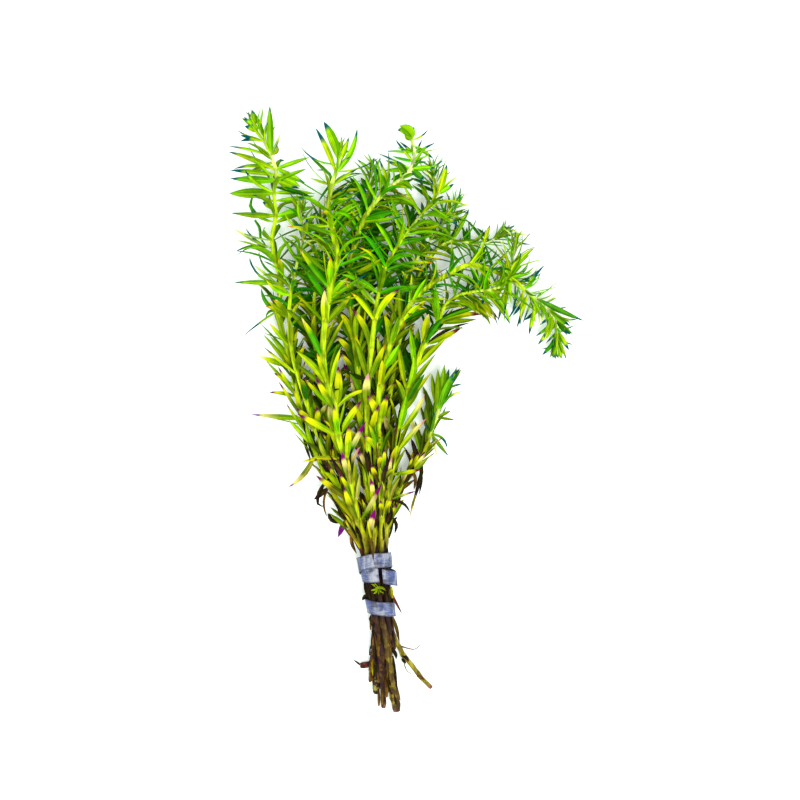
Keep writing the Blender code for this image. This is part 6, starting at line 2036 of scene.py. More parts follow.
@dataclass(frozen=True)
class LeafFinish:
    """Leaf skin: one half of its fold darkened as painted shade, its underside darkened towards the keel as
    painted shade, finely veined, and coloured towards its tip.

    A field of four numbers is a range and what it is mapped to, one of two is a range alone.
    """

    name: str = "leaf skin"
    roughness: float = 0.46
    specular: float = 0.03
    lit: float = 0.74
    vein_count: float = 15.0
    vein_depth: float = 0.16
    shaded_half: tuple = (0.5, 0.68, 0.3)
    shaded_half_edge: tuple = (-0.06, 0.1)
    rib_tint: tuple = (1.5, 1.4, 2.0)
    rib: tuple = (0.04, 0.16, 0.6, 0.0)
    rim_tint: tuple = (0.3, 0.5, 0.3)
    rim: tuple = (0.7, 0.96, 0.0, 0.8)
    foot: tuple = (0.0, 0.16, 0.7, 0.0)
    patch_scale: float = 260.0
    patch_light: tuple = (0.3, 0.7, 0.72, 1.14)
    grain_scale: float = 1700.0
    wander: float = 0.3
    band_reach: tuple = (0.4, 0.06)
    tip_reach: tuple = (0.07, 0.09)
    spot_scale: float = 620.0
    spot_edge: tuple = (0.6, 0.68)
    underside_shade: tuple = (0.0, 1.0, 1.0, 0.7)
    relief: tuple = (0.3, 1.2)
    bump: tuple = (0.35, 0.00012)

    def material(self) -> bpy.types.Material:
        """Make the material.

        Returns:
            The material.
        """
        wire = Wiring(self.name)
        across, along, under = wire.parts(wire.vector("leaf_place"))
        start, band, spots = wire.parts(wire.vector("leaf_marks"))
        body, tip, band_colour = (wire.colour("leaf_" + part) for part in ("body", "tip", "band"))
        where = wire.where()
        patch = wire.noise(where, self.patch_scale)
        grain = wire.noise(where, self.grain_scale, 3.0)
        reach = wire.math("ABSOLUTE", across)
        colour = wire.tint(body, wire.ease(patch, *self.patch_light))
        # Painted shade: one half of the fold, past the midrib, is darkened.
        half = wire.mix(wire.ease(across, *self.shaded_half_edge), (1.0, 1.0, 1.0), self.shaded_half)
        colour = wire.tint(colour, half)
        waves = wire.math("SINE", wire.times(across, self.vein_count))
        veins = wire.ease(waves, -1.0, 1.0, 1.0 - self.vein_depth, 1.0 + self.vein_depth)
        colour = wire.tint(colour, veins)
        colour = wire.mix(wire.ease(reach, *self.rib), colour, wire.tint(body, self.rib_tint))
        colour = wire.mix(wire.ease(reach, *self.rim), colour, wire.tint(body, self.rim_tint))
        colour = wire.mix(wire.ease(along, *self.foot), colour, wire.tint(body, self.rib_tint))
        shifted = wire.plus(along, wire.times(wire.minus(patch, 0.5), self.wander))
        low, high = (wire.minus(start, part) for part in self.band_reach)
        colour = wire.mix(wire.times(wire.ease(shifted, low, high), band), colour, band_colour)
        below, above = self.tip_reach
        colour = wire.mix(wire.ease(shifted, wire.minus(start, below), wire.plus(start, above)), colour, tip)
        cells = wire.noise(where, self.spot_scale, 1.0)
        colour = wire.mix(wire.times(wire.ease(cells, *self.spot_edge), spots), colour, BROWN)
        # Painted shade: the underside of each leaf is darker towards its keel.
        colour = wire.tint(colour, wire.ease(under, *self.underside_shade))
        wire.set(Base_Color=wire.tint(colour, (self.lit,) * 3), Roughness=self.roughness,
                 Specular_IOR_Level=self.specular)
        height = wire.plus(wire.times(waves, self.relief[0]), wire.times(grain, self.relief[1]))
        wire.bump(height, *self.bump)
        return wire.material


@dataclass(frozen=True)
class StemFinish:
    """Stem skin: ridged and streaked lengthwise, darker at its nodes, with old crust at its foot."""

    name: str = "stem skin"
    roughness: float = 0.5
    specular: float = 0.08
    lit: float = 0.74
    streak_scale: tuple = (900.0, 90.0, 900.0)
    streak_light: tuple = (0.32, 0.68, 0.5, 1.45)
    patch_scale: float = 240.0
    patch_light: tuple = (0.3, 0.7, 0.7, 1.25)
    node_share: float = 0.35
    bark_scale: float = 420.0
    bark_edge: tuple = (0.4, 0.52)
    bump: tuple = (0.6, 0.0004)

    def material(self) -> bpy.types.Material:
        """Make the material.

        Returns:
            The material.
        """
        wire = Wiring(self.name)
        _, crusted, node = wire.parts(wire.vector("stem_place"))
        where = wire.where()
        streaks = wire.noise(wire.stretch(where, self.streak_scale), 1.0, 3.0)
        patch = wire.noise(where, self.patch_scale, 3.0)
        colour = wire.tint(wire.colour("stem_paint"), wire.ease(streaks, *self.streak_light))
        colour = wire.tint(colour, wire.ease(patch, *self.patch_light))
        colour = wire.mix(wire.times(node, self.node_share), colour, BROWN)
        old = wire.attribute("stem_age").outputs["Fac"]
        bark = wire.noise(where, self.bark_scale, 4.0, 0.65)
        colour = wire.mix(wire.times(wire.ease(bark, *self.bark_edge), crusted), colour, SOOT)
        wire.set(Base_Color=wire.tint(colour, (self.lit,) * 3), Roughness=self.roughness,
                 Specular_IOR_Level=self.specular)
        wire.bump(wire.plus(streaks, wire.times(bark, old)), *self.bump)
        return wire.material


@dataclass(frozen=True)
class MetalFinish:
    """Soft weight metal: bluish grey with dark blotches, scratched and rolled lengthwise, with painted
    highlights in pale patches, on its top and on its rolled lines, and painted shade in dull patches, on its
    sides, towards its right and along its edges.
    """

    name: str = "soft metal"
    grey: tuple = paint(94, 114, 178)
    pale: tuple = paint(240, 246, 255)
    dark: tuple = paint(30, 38, 72)
    shade: tuple = paint(38, 76, 184)
    roughness: float = 0.42
    metallic: float = 0.1
    lit: float = 0.355
    blotch_scale: float = 330.0
    blotches: tuple = (0.48, 0.64, 0.0, 0.8)
    line_scale: tuple = (0.25, 2.2, 1.0)
    lines_seen: tuple = (0.46, 0.62)
    lines_facing: tuple = (0.3, 0.95, 0.1, 0.5)
    scratch_scale: tuple = (1.4, 0.3, 1.0)
    scratches: tuple = (0.58, 0.66, 0.0, 0.6)
    sheen_scale: tuple = (430.0, 110.0, 430.0)
    bright_sheen: tuple = (0.48, 0.62, 0.0, 0.6)
    dull_sheen: tuple = (0.34, 0.46, 0.75, 0.0)
    shaded_side: tuple = (0.35, 0.95)
    lit_top: tuple = (0.75, 1.0, 0.0, 0.3)
    right_side_shade: tuple = (-0.0065, -0.0015, 0.0, 0.7)
    rim: tuple = (1.9, 2.4, 0.0, 0.7)
    scratch_depth: float = -0.6
    bump: tuple = (0.6, 0.0004)

    def material(self) -> bpy.types.Material:
        """Make the material.

        Returns:
            The material.
        """
        wire = Wiring(self.name)
        place = wire.vector("strip_place")
        where = wire.where()
        lines = wire.noise(wire.stretch(place, self.line_scale), 1.6, 4.0, 0.65)
        patch = wire.noise(where, self.blotch_scale, 4.0, 0.6)
        scratch = wire.noise(wire.stretch(place, self.scratch_scale), 4.0, 5.0, 0.7)
        sheen = wire.noise(wire.stretch(where, self.sheen_scale), 1.0, 2.0)
        _, across, facing = wire.parts(place)
        # Painted shade on the sides of the bundle, where the strip faces away from the top.
        ground = wire.mix(wire.ease(facing, *self.shaded_side), self.shade, self.grey)
        # Painted shade towards the right of the bundle.
        ground = wire.mix(wire.ease(wire.parts(where)[0], *self.right_side_shade), ground, self.shade)
        # Painted highlight on the top of the bundle.
        ground = wire.mix(wire.ease(facing, *self.lit_top), ground, self.pale)
        # Painted highlights and painted shade in broad soft patches.
        ground = wire.mix(wire.ease(sheen, *self.bright_sheen), ground, self.pale)
        ground = wire.mix(wire.ease(sheen, *self.dull_sheen), ground, self.shade)
        # Pale rolled lines, shown only where the strip faces up: painted highlight on real rolling marks.
        bright = wire.times(wire.ease(lines, *self.lines_seen), wire.ease(facing, *self.lines_facing))
        colour = wire.mix(bright, ground, self.pale)
        colour = wire.mix(wire.ease(patch, *self.blotches), colour, self.dark)
        colour = wire.mix(wire.ease(scratch, *self.scratches), colour, self.dark)
        # Painted shade along both edges of the strip.
        colour = wire.mix(wire.ease(wire.math("ABSOLUTE", across), *self.rim), colour, self.dark)
        wire.set(Base_Color=wire.tint(colour, (self.lit,) * 3), Roughness=self.roughness,
                 Metallic=self.metallic)
        wire.bump(wire.plus(lines, wire.times(scratch, self.scratch_depth)), *self.bump)
        return wire.material


@dataclass(frozen=True)
class FloorFinish:
    """A plain pale surface."""

    name: str = "pale surface"
    colour: tuple = (0.85, 0.92, 0.87)
    glow: float = 0.17
    roughness: float = 0.8

    def material(self) -> bpy.types.Material:
        """Make the material.

        Returns:
            The material.
        """
        wire = Wiring(self.name)
        wire.set(Base_Color=self.colour, Roughness=self.roughness, Specular_IOR_Level=0.1)
        wire.set(Emission_Color=self.colour, Emission_Strength=self.glow)
        return wire.material


@dataclass
class LeafyStem:
    """One stem with all that grows on it."""

    stem: Stem
    crowd: Crowd
    sides: int = 10
    step: float = 0.8
    squareness: float = 0.07
    node_rise: float = 0.2
    node_reach: float = 0.75
    young_roughness: float = 0.02
    old_roughness: float = 0.13
    bare_node_step: float = 8.0
    foot_heights: tuple = (-100.0, -92.0, -82.0, -72.0)
    cut_paint: tuple = paint(150, 96, 76)
    smooth_angle: float = 42.0
    tip_share: float = 0.4
    cut_shares: tuple = (0.93, 0.72)
    aged: tuple = (-62.0, -44.0)
    pale_reach: float = 14.0
    green_from: float = 60.0
    old_heights: tuple = (-30.0, 5.0)
    colour_heights: tuple = (-82.0, -72.0, -52.0, -46.0, -34.0, -15.0)
    collar_paint: tuple = paint(150, 146, 16)
    dull_paint: tuple = blend(OLIVE, YELLOW_GREEN, 0.6)
    soot_share: float = 0.94
    root_sides: int = 5
    root_taper: float = 0.6
    remain_zones: tuple = ((-42.0, -6.0, 4.0), (-52.0, -42.0, 2.4), (-66.0, -60.0, 0.6),
                           (-104.0, -73.0, 2.0))
    remain_length: tuple = (3.0, 8.0)
    remain_width: tuple = (0.6, 1.3)
    remain_fold: tuple = (0.0, 30.0)
    remain_away: tuple = (0.0, 0.25)
    remain_lift: float = 0.5
    remain_spread: tuple = (0.6, 1.4)
    bark_least: float = 0.5
    foot_margin: float = 3.0

    def blades(self) -> list:
        """Colour and bend all the leaves.

        Returns:
            The blades.
        """
        plan = self.stem.plan
        painter = Painter(plan)
        arc = arc_lengths(self.stem.points)
        numbers = np.arange(len(arc))
        made = []
        for leaf in self.stem.leaves + self.stem.fine:
            distance = float(np.interp(leaf.index, numbers, arc))
            made.append(painter.blade(leaf, distance, self.crowd.height_above(leaf.middle)))
        made += [painter.curl(curl) for curl in plan.curls]
        made += [painter.curl(curl) for curl in self.remains()]
        return made

    def remains(self) -> list:
        """Lay dark strips of old leaves and bark along the lower part of the stem.

        Returns:
            Curls.
        """
        stem = self.stem
        draw = random.Random(stem.plan.name + " remains")
        made = []
        foot = float(stem.points[-1][1])
        for low, high, step in self.remain_zones:
            height = high
            if stem.plan.bark < self.bark_least and high < self.foot_heights[-1]:
                continue
            while height > max(low, foot + self.foot_margin):
                turn = draw.uniform(0.0, 2.0 * math.pi)
                length = draw.uniform(*self.remain_length)
                path = []
                for share in (0.0, 0.5, 1.0):
                    spot = index_at(stem, height + length * (share - 0.5))
                    _, first, second = ways_at(stem, spot)
                    outward = first * math.cos(turn) + second * math.sin(turn)
                    away = radius_at(stem, spot) + draw.uniform(*self.remain_away)
                    away += self.remain_lift * share * draw.random()
                    path.append(tuple(place_at(stem, spot) + outward * away))
                tone = Tone.DARK if step < 1.0 else draw.choice((Tone.DARK, Tone.DARK, Tone.BROWN))
                made.append(Curl(tuple(path), draw.uniform(*self.remain_width), tone,
                                 draw.uniform(*self.remain_fold)))
                height -= step * draw.uniform(*self.remain_spread)
        return made

    def body(self) -> bpy.types.Object:
        """Build the stem's body, with swollen nodes and colours along its length.

        Returns:
            The object.
        """
        stem = self.stem
        plan = stem.plan
        points, numbers = smooth_route(list(stem.points), self.step)
        coarse = np.interp(np.arange(len(points)), numbers, np.arange(len(stem.points)))
        radii = np.interp(coarse, np.arange(len(stem.radii)), stem.radii)
        arc = arc_lengths(points)
        coarse_arc = arc_lengths(stem.points)
        nodes = sorted({leaf.index for leaf in stem.leaves})
        node_arcs = list(np.interp(nodes, np.arange(len(coarse_arc)), coarse_arc))
        while node_arcs[-1] + self.bare_node_step < arc[-1] - self.foot_margin:
            node_arcs.append(node_arcs[-1] + self.bare_node_step)
        glow = np.zeros(len(points))
        for place in node_arcs:
            glow = np.maximum(glow, np.exp(-((arc - place) / self.node_reach) ** 2))
        radii = radii * (1.0 + self.node_rise * glow)
        radii *= np.interp(points[:, 1], self.foot_heights, plan.foot_shape)
        radii *= np.interp(points[:, 1], SLIM_HEIGHTS, (1.0, plan.slim))
        radii[0] *= self.tip_share
        radii[-2:] *= self.cut_shares
        age = np.interp(points[:, 1], self.aged, (1.0, 0.0))
        rough = self.young_roughness + self.old_roughness * age
        built, number, _ = tube(plan.name, points, radii, self.sides, self.squareness, rough)
        put_number(built.data, "stem_age", age[number])
        colours = self.colours(points, arc)
        put_colour(built.data, "stem_paint", colours[number])
        place = np.stack((arc[number], age[number] * plan.bark, glow[number]), axis=1)
        put_vector(built.data, "stem_place", place)
        close_tube(built)
        return built

    def colours(self, points: np.ndarray, arc: np.ndarray) -> np.ndarray:
        """Colour the body along its length.

        Args:
            points: The route.
            arc: Each point's distance from the growing tip.

        Returns:
            A colour for each point.
        """
        plan = self.stem.plan
        stops = (0.0, plan.whitish_to, plan.whitish_to + self.pale_reach, self.green_from)
        shades = np.array((WHITISH, PALE, STEM_GREEN, STEM_GREEN))
        young = np.stack([np.interp(arc, stops, shades[:, k]) for k in range(3)], axis=1)
        dark = blend(plan.foot_paint, SOOT, self.soot_share)
        low = np.array((plan.foot_paint, dark, dark, self.collar_paint, self.dull_paint, STEM_GREEN))
        old = np.stack([np.interp(points[:, 1], self.colour_heights, low[:, k]) for k in range(3)], axis=1)
        share = np.interp(points[:, 1], self.old_heights, (1.0, 0.0))[:, None]
        colours = young * (1.0 - share) + old * share
        if len(plan.foot) > 1:
            colours[-2:] = self.cut_paint
        return colours

    def hair_roots(self) -> list:
        """Build the hair roots.

        Returns:
            The objects.
        """
        made = []
        for i, root in enumerate(self.stem.plan.roots):
            points, _ = smooth_route([Vector(place) for place in root.path], 0.4)
            share = np.linspace(0.0, 1.0, len(points))
            radii = 0.5 * root.thickness * (1.0 - self.root_taper * share)
            name = f"{self.stem.plan.name} root {i}"
            built, number, _ = tube(name, points, radii, self.root_sides, 0.0, np.zeros(len(points)))
            put_number(built.data, "stem_age", np.zeros(len(number)))
            put_colour(built.data, "stem_paint", np.tile(root.colour, (len(number), 1)))
            put_vector(built.data, "stem_place", np.zeros((len(number), 3)))
            close_tube(built)
            made.append(built)
        return made

    def build(self, blank: LeafBlank, skin: bpy.types.Material,
              leaf: bpy.types.Material) -> bpy.types.Object:
        """Build the stem with its leaves and roots as one piece.

        Args:
            blank: The leaf blank.
            skin: The stem's material.
            leaf: The leaves' material.

        Returns:
            The piece.
        """
        body = self.body()
        roots = self.hair_roots()
        for part in (body, *roots):
            part.data.materials.append(skin)
        foliage = Foliage(self.stem.plan.name + " leaves", self.blades()).build(blank)
        foliage.data.materials.append(leaf)
        bpy.ops.object.select_all(action="DESELECT")
        for part in (body, foliage, *roots):
            part.select_set(True)
        bpy.context.view_layer.objects.active = body
        bpy.ops.object.join()
        piece = bpy.context.object
        piece.name = self.stem.plan.name + "_grown"
        bpy.ops.object.shade_smooth_by_angle(angle=math.radians(self.smooth_angle))
        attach(piece, "root")
        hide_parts(self.stem.plan.name)
        LOG.info("%s: %d leaves", piece.name, len(self.stem.leaves) + len(self.stem.fine))
        return piece


@dataclass
class MetalStrip:
    """One wound strip of soft metal, crumpled where it was pressed round the stems."""

    plan: StripPlan
    steps_a_turn: int = 96
    steps_across: int = 12
    crumple: float = 0.16
    edge_sway: float = 0.14
    bevel: float = 0.09
    bevel_angle: float = 50.0
    smooth_angle: float = 40.0
    turn_length: float = 32.0
    half_width: float = 2.5
    wave_count: int = 9
    edge_waves: int = 4
    least_height: float = 0.55

    def build(self, metal: bpy.types.Material) -> bpy.types.Object:
        """Wind the strip and give it its thickness.

        Args:
            metal: Its material.

        Returns:
            The piece.
        """
        plan = self.plan
        turns = plan.turns[-1] - plan.turns[0]
        steps = round(turns * self.steps_a_turn)
        bpy.ops.object.select_all(action="DESELECT")
        bpy.ops.mesh.primitive_grid_add(x_subdivisions=steps, y_subdivisions=self.steps_across, size=2.0)
        piece = bpy.context.object
        piece.name = plan.name + "_wound"
        piece.data.name = piece.name
        draw = random.Random(plan.name)
        waves = [(draw.uniform(3.0, 9.0), draw.uniform(0.4, 2.4), draw.uniform(0.0, 6.28))
                 for _ in range(self.wave_count)]
        places = np.empty((len(piece.data.vertices), 3))
        for vertex in piece.data.vertices:
            share = 0.5 * (vertex.co.x + 1.0)
            across = vertex.co.y
            turn = plan.turns[0] + share * turns
            # How far this place faces up, which steers the painted shade and highlights of the metal
            facing = math.cos(2.0 * math.pi * turn)
            places[vertex.index] = (share * turns * self.turn_length, across * self.half_width, facing)
            sway = sum(math.sin(a * turn * 3.0 + c) for a, _, c in waves[:self.edge_waves]) / self.edge_waves
            wide = across * (1.0 + self.edge_sway * sway * 0.4)
            point = strip_point(plan, turn, wide)
            dent = sum(math.sin(a * turn * 2.4 + b * across * 2.0 + c) for a, b, c in waves) / len(waves)
            share_down = (TIE_TOP.y - point.y) / (TIE_TOP.y - TIE_FOOT.y)
            centre = TIE_TOP.lerp(TIE_FOOT, share_down)
            outward = Vector((point.x - centre.x, 0.0, point.z - centre.z)).normalized()
            point = point + outward * (self.crumple * dent)
            point.z = max(point.z, self.least_height)
            vertex.co = (point - MIDDLE) * MM
        put_vector(piece.data, "strip_place", places)
        piece.data.materials.append(metal)
        solidify = piece.modifiers.new("thickness", "SOLIDIFY")
        solidify.thickness = STRIP_THICKNESS * MM
        solidify.offset = 1.0
        solidify.use_even_offset = True
        bevel = piece.modifiers.new("edges", "BEVEL")
        bevel.width = self.bevel * MM
        bevel.segments = 2
        bevel.limit_method = "ANGLE"
        bevel.angle_limit = math.radians(self.bevel_angle)
        bpy.ops.object.modifier_apply(modifier="thickness")
        bpy.ops.object.modifier_apply(modifier="edges")
        bpy.ops.object.shade_smooth_by_angle(angle=math.radians(self.smooth_angle))
        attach(piece, "root")
        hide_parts(plan.name)
        LOG.info("%s: %d faces", piece.name, len(piece.data.polygons))
        return piece


@dataclass(frozen=True)
class Studio:
    """The pale surface, the lights and the camera that looks straight down."""

    surface_size: float = 6.0
    surface_place: tuple = (0.0, 0.0, -0.0002)
    camera_place: tuple = (-0.00205, 0.0033, 1.175)
    lens: float = 150.0
    sensor_width: float = 36.0
    sight: float = 20.0
    sky: float = 1.42
    key_strength: float = 2.6
    key_spread: float = 24.0
    key_turn: tuple = (20.0, 0.0, 40.0)

    def build(self) -> None:
        """Set up the surface, the lights and the camera."""
        self.surface()
        self.lights()
        self.camera()

    def surface(self) -> None:
        """Lay the surface just below the bunch."""
        bpy.ops.object.select_all(action="DESELECT")
        bpy.ops.mesh.primitive_plane_add(size=self.surface_size, location=self.surface_place)
        floor = bpy.context.object
        floor.name = "pale_surface"
        floor.data.materials.append(FloorFinish().material())

    def lights(self) -> None:
        """Light the scene with an even sky and a soft key light from the upper left."""
        world = bpy.data.worlds.new("even light")
        world.use_nodes = True
        sky = world.node_tree.nodes["Background"].inputs
        sky["Color"].default_value = (1.0, 1.0, 1.0, 1.0)
        sky["Strength"].default_value = self.sky
        bpy.context.scene.world = world
        lamp = bpy.data.lights.new("key", "SUN")
        lamp.energy = self.key_strength
        lamp.angle = math.radians(self.key_spread)
        key = bpy.data.objects.new("key", lamp)
        key.rotation_euler = [math.radians(part) for part in self.key_turn]
        bpy.context.scene.collection.objects.link(key)

    def camera(self) -> None:
        """Look straight down with the tips ahead."""
        lens = bpy.data.cameras.new("camera")
        lens.lens = self.lens
        lens.sensor_width = self.sensor_width
        lens.clip_end = self.sight
        camera = bpy.data.objects.new("camera", lens)
        camera.location = self.camera_place
        bpy.context.scene.collection.objects.link(camera)
        bpy.context.scene.camera = camera
        bpy.context.scene.view_settings.view_transform = "Standard"


@dataclass
class Bunch:
    """The whole bunch: its stems' routes, the planned leaves and the finer ones between them.

    A size holds the least and the greatest length, width and pitch. A hole and the ground of long leaves
    are ovals: the place of the centre and the two half widths.
    """

    stems: list = field(default_factory=list)
    crowd: Crowd = field(default_factory=Crowd)
    holes: tuple = HOLES
    tip_zone: float = 20.0
    middle_zone: tuple = (30.0, 46.0)
    facing_up: float = 0.6
    first_fine: float = 0.6
    fine_length: tuple = (0.72, 1.12)
    fine_width: tuple = (0.5, 1.1)
    fine_pitch: tuple = (-24.0, 12.0)
    long_ground: tuple = (-4.0, 56.0, 24.0, 17.0)
    long_share: float = 0.15
    long_stretch: tuple = (1.4, 0.55)
    low_zone: tuple = (-16.0, -48.0)
    low_step: float = 5.0
    low_leaves: int = 2
    low_size: tuple = (8.0, 13.0, 1.0, 2.0, 9.0, 26.0)
    crossing_zone: tuple = (36.0, 82.0)
    crossing_from: float = -38.0
    crossing_step: float = 1.7
    crossing_spread: tuple = (0.5, 1.5)
    crossing_over: float = 0.3
    crossing_upright: float = 0.9
    right_from: float = 8.0
    right_step: float = 0.5
    crossing_size: tuple = (9.0, 16.0, 0.7, 1.7, 34.0, 96.0)
    cell: float = 0.6
    stem_beside: tuple = (-0.6, 0.0, 0.6)
    root_every: int = 3
    gap_reach: int = 10
    gap_box: tuple = (-52.0, 40.0, -40.0, 82.0)
    gap_roots: tuple = (3.0, 8.0)
    gap_lean: float = 0.3
    gap_length: tuple = (1.2, 1.5)
    gap_drop: tuple = (0.3, 0.7)
    hole_margin: float = 1.15
    gap_heights: tuple = (-40.0, -25.0, -5.0, 10.0, 30.0, 40.0, 60.0, 80.0)
    gap_left: tuple = (-16.0, -25.0, -34.0, -39.0, -42.0, -37.0, -34.0, -22.0)
    gap_right: tuple = (-7.0, -4.0, -2.0, 1.0, 9.0, 34.0, 30.0, 4.0)
    gap_widths: tuple = ((-5.0, 8.0), (1.6, 0.8), (2.4, 1.6))

    def grow(self) -> None:
        """Lay all the stems, part them and grow their leaves."""
        self.stems = [lay_stem(plan, number) for number, plan in enumerate(PLANS)]
        part_stems(self.stems)
        crowd = self.crowd
        for stem in self.stems:
            for share in STEM_SPHERE_STEPS:
                places = stem.points[:-1] * (1.0 - share) + stem.points[1:] * share
                radii = stem.radii[:-1] * (1.0 - share) + stem.radii[1:] * share
                crowd.add(places, radii, stem.number)
        nodes = [leaf_nodes(stem) for stem in self.stems]
        for step in (place_known, grow_leaves):
            for stem in self.stems:
                step(stem, nodes[stem.number], crowd)
        crowd.go_finer()
        for step in (self.place_extra, self.grow_low, self.grow_fine, self.cross_crown):
            for stem in self.stems:
                step(stem)
        self.fill_gaps()
        LOG.info("%d planned leaves", sum(len(stem.leaves) for stem in self.stems))
        LOG.info("%d finer leaves", sum(len(stem.fine) for stem in self.stems))

    def place_extra(self, stem: Stem) -> None:
        """Add a stem's finer leaves that are known from above.

        Args:
            stem: The stem.
        """
        for known in stem.plan.extra:
            leaf, _ = try_known(stem, nearest_point(stem, known.root), known, self.crowd)
            self.crowd.keep_finer(leaf, stem)

    def grow_fine(self, stem: Stem) -> None:
        """Grow finer leaves all along a stem, closest together at its tip.

        Args:
            stem: The stem.
        """
        draw = random.Random(stem.plan.name + " finer leaves")
        arc = arc_lengths(stem.points)
        distance = self.first_fine
        while distance < arc[-1]:
            index = float(np.interp(distance, arc, np.arange(len(arc))))
            ground = place_at(stem, index)
            height = ground.y - BARE_BELOW
            if height < 0.0:
                break
            age = age_at(height)
            share = draw.uniform(*self.fine_length)
            length = by_distance(distance, LEAF_LENGTH) * share * (1.0 - OLD_SHORTER * age)
            width = by_distance(distance, LEAF_WIDTH) * draw.uniform(*self.fine_width)
            if within(ground.x, ground.y, self.long_ground) and draw.random() < self.long_share:
                length *= self.long_stretch[0]
                width *= self.long_stretch[1]
            pitch = by_distance(distance, LEAF_PITCH) - OLD_FLATTER * age
            pitch += draw.uniform(*self.fine_pitch)
            size = (length * stem.plan.leafage, width, pitch)
            wanted = by_distance(distance, FINE_LEAVES)
            low_share = float(np.interp(height + BARE_BELOW, self.middle_zone, (1.0, 0.0)))
            fine = stem.plan.fine + (stem.plan.fine_low - stem.plan.fine) * low_share
            wanted *= stem.plan.fine_tip if distance < self.tip_zone else fine
            offset = draw.uniform(0.0, 2.0 * math.pi)
            for k in range(round(wanted)):
                turn = offset + 2.0 * math.pi * k / max(wanted, 1.0)
                leaf = find_room(stem, index, turn, size, self.crowd, draw)
                covers = leaf is not None and leaf.outward.z > self.facing_up and distance > self.tip_zone
                if leaf is not None and not covers and not self.over_hole(leaf):
                    self.crowd.keep_finer(leaf, stem)
            distance += by_distance(distance, FINE_STEP)

    def grow_low(self, stem: Stem) -> None:
        """Grow steep leaves on the lowest part above the tie.

        Args:
            stem: The stem.
        """
        draw = random.Random(stem.plan.name + " low leaves")
        height, lowest = self.low_zone
        while height > lowest:
            for _ in range(self.low_leaves):
                size = tuple(draw.uniform(*self.low_size[k:k + 2]) for k in (0, 2, 4))
                turn = draw.uniform(0.0, 2.0 * math.pi)
                leaf = find_room(stem, index_at(stem, height), turn, size, self.crowd, draw)
                if leaf is not None:
                    self.crowd.keep_finer(leaf, stem)
            height -= self.low_step

    def over_hole(self, leaf: Leaf) -> bool:
        """Tell whether a leaf's middle or a place near it lies over one of the open places."""
        spots = (leaf.middle, leaf.middle.lerp(leaf.tip, 0.5), leaf.start.lerp(leaf.middle, 0.6))
        return any(within(spot.x, spot.y, hole) for spot in spots for hole in self.holes)

    def cross_crown(self, stem: Stem) -> None:
        """Grow slender leaves that cross over others in the crown.

        Args:
            stem: The stem.
        """
        draw = random.Random(stem.plan.name + " crossing leaves")
        arc = arc_lengths(stem.points)
        shortest, longest, narrowest, widest, least, most = self.crossing_size
        distance = self.tip_zone
        while distance < arc[-1]:
            index = float(np.interp(distance, arc, np.arange(len(arc))))
            place = place_at(stem, index)
            closer = self.right_step if place.x > self.right_from else 1.0
            distance += self.crossing_step * closer * draw.uniform(*self.crossing_spread)
            in_crown = self.crossing_zone[0] < place.y < self.crossing_zone[1]
            if place.x < self.crossing_from or not in_crown:
                continue
            narrow = draw.random()
            size = (draw.uniform(shortest, longest), widest + (narrowest - widest) * narrow**0.5,
                    draw.uniform(least, most))
            turn = draw.uniform(-self.crossing_over, math.pi + self.crossing_over)
            leaf = make_leaf(stem, index, turn, size, draw)
            if not self.over_hole(leaf) and abs(leaf.outward.z) < self.crossing_upright:
                stem.fine.append(leaf)

    def ground_cells(self, leaf: Leaf) -> tuple:
        """Find the small squares of the ground that a leaf lies over.

        Args:
            leaf: The leaf.

        Returns:
            Their columns and rows.
        """
        line = np.array((leaf.start[:2], leaf.middle[:2], leaf.tip[:2]))
        shares = np.linspace(0.0, 1.9, 20)
        spots = np.stack([np.interp(shares, (0.0, 1.0, 2.0), line[:, k]) for k in range(2)], axis=1)
        aside = np.array(leaf.side[:2]) * (0.4 * leaf.width)
        return self.cells_of(np.concatenate((spots - aside, spots, spots + aside)))

    def cells_of(self, spots: np.ndarray) -> tuple:
        """Find the small squares of the ground that places lie in.

        Args:
            spots: The x and y of each place.

        Returns:
            Their columns and rows.
        """
        left, right, low, high = self.gap_box
        cells = np.floor((spots - (left, low)) / self.cell).astype(int)
        most = (round((right - left) / self.cell) - 1, round((high - low) / self.cell) - 1)
        return tuple(np.clip(cells, 0, most).T)

    def open_cells(self, covered: np.ndarray) -> list:
        """Find the small squares that nothing covers though they lie inside the bunch.

        Args:
            covered: Which squares are covered.

        Returns:
            The column and row of each.
        """
        sides = np.zeros(covered.shape, dtype=int)
        for across, along in ((1, 0), (0, 1), (-1, 0), (0, -1), (1, 1), (1, -1), (-1, 1), (-1, -1)):
            seen = np.zeros(covered.shape, dtype=bool)
            for step in range(1, self.gap_reach):
                seen |= np.roll(covered, (across * step, along * step), axis=(0, 1))
            sides += seen
        return [tuple(cell) for cell in np.argwhere(~covered & (sides >= 8))]

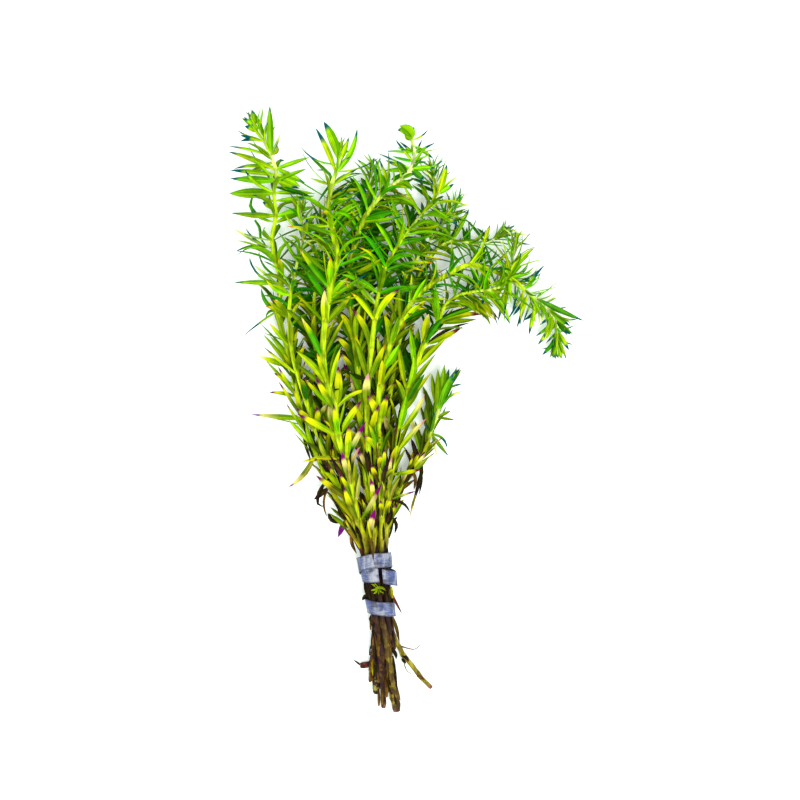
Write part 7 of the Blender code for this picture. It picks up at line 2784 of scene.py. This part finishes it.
    def fill_gaps(self) -> None:
        """Lay shaded leaves under the gaps, except where the bunch is open."""
        left, right, low, high = self.gap_box
        covered = np.zeros((round((right - left) / self.cell), round((high - low) / self.cell)), dtype=bool)
        roots = []
        for stem in self.stems:
            fine, numbers = smooth_route(list(stem.points), 0.5)
            for aside in self.stem_beside:
                covered[self.cells_of(fine[:, :2] + (aside, 0.0))] = True
            indexes = np.interp(np.arange(len(fine)), numbers, np.arange(len(stem.points)))
            roots += [(*fine[i], stem.number, indexes[i]) for i in range(0, len(fine), self.root_every)]
            for leaf in stem.leaves + stem.fine:
                covered[self.ground_cells(leaf)] = True
        roots = np.array(roots)
        draw = random.Random("leaves under gaps")
        cells = self.open_cells(covered)
        draw.shuffle(cells)
        for cell in cells:
            spot = (np.array(cell) + 0.5) * self.cell + (left, low)
            is_hole = any(within(*spot, hole, self.hole_margin) for hole in self.holes)
            first, last = (float(np.interp(spot[1], self.gap_heights, ends))
                           for ends in (self.gap_left, self.gap_right))
            if covered[cell] or is_hole or not first < spot[0] < last:
                continue
            away = np.hypot(roots[:, 0] - spot[0], roots[:, 1] - spot[1])
            near = np.argwhere((away > self.gap_roots[0]) & (away < self.gap_roots[1]) &
                               (spot[1] - roots[:, 1] > self.gap_lean * away)).ravel()
            if len(near) == 0:
                continue
            x, y, z, number, index = roots[draw.choice(list(near))]
            reach = draw.uniform(*self.gap_length)
            tip = (x + (spot[0] - x) * reach, y + (spot[1] - y) * reach)
            drop = -draw.uniform(*self.gap_drop) * z
            places, *ends = self.gap_widths
            least, most = (float(np.interp(spot[0], places, widths)) for widths in ends)
            known = Known((x, y), tip, draw.uniform(least, most), 0.0, drop, Tone.SHADED)
            stem = self.stems[int(number)]
            leaf = known_leaf(stem, float(index), known, 0.0)
            stem.fine.append(leaf)
            covered[self.ground_cells(leaf)] = True


def main() -> None:
    """Build every piece and set up the studio."""
    logging.basicConfig(level=logging.INFO, format="%(message)s")
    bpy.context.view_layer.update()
    bunch = Bunch()
    bunch.grow()
    blank = LeafBlank()
    skin = StemFinish().material()
    leaf = LeafFinish().material()
    for stem in bunch.stems:
        LeafyStem(stem, bunch.crowd).build(blank, skin, leaf)
    metal = MetalFinish().material()
    for plan in STRIPS:
        MetalStrip(plan).build(metal)
    Studio().build()


if __name__ == "__main__":
    main()
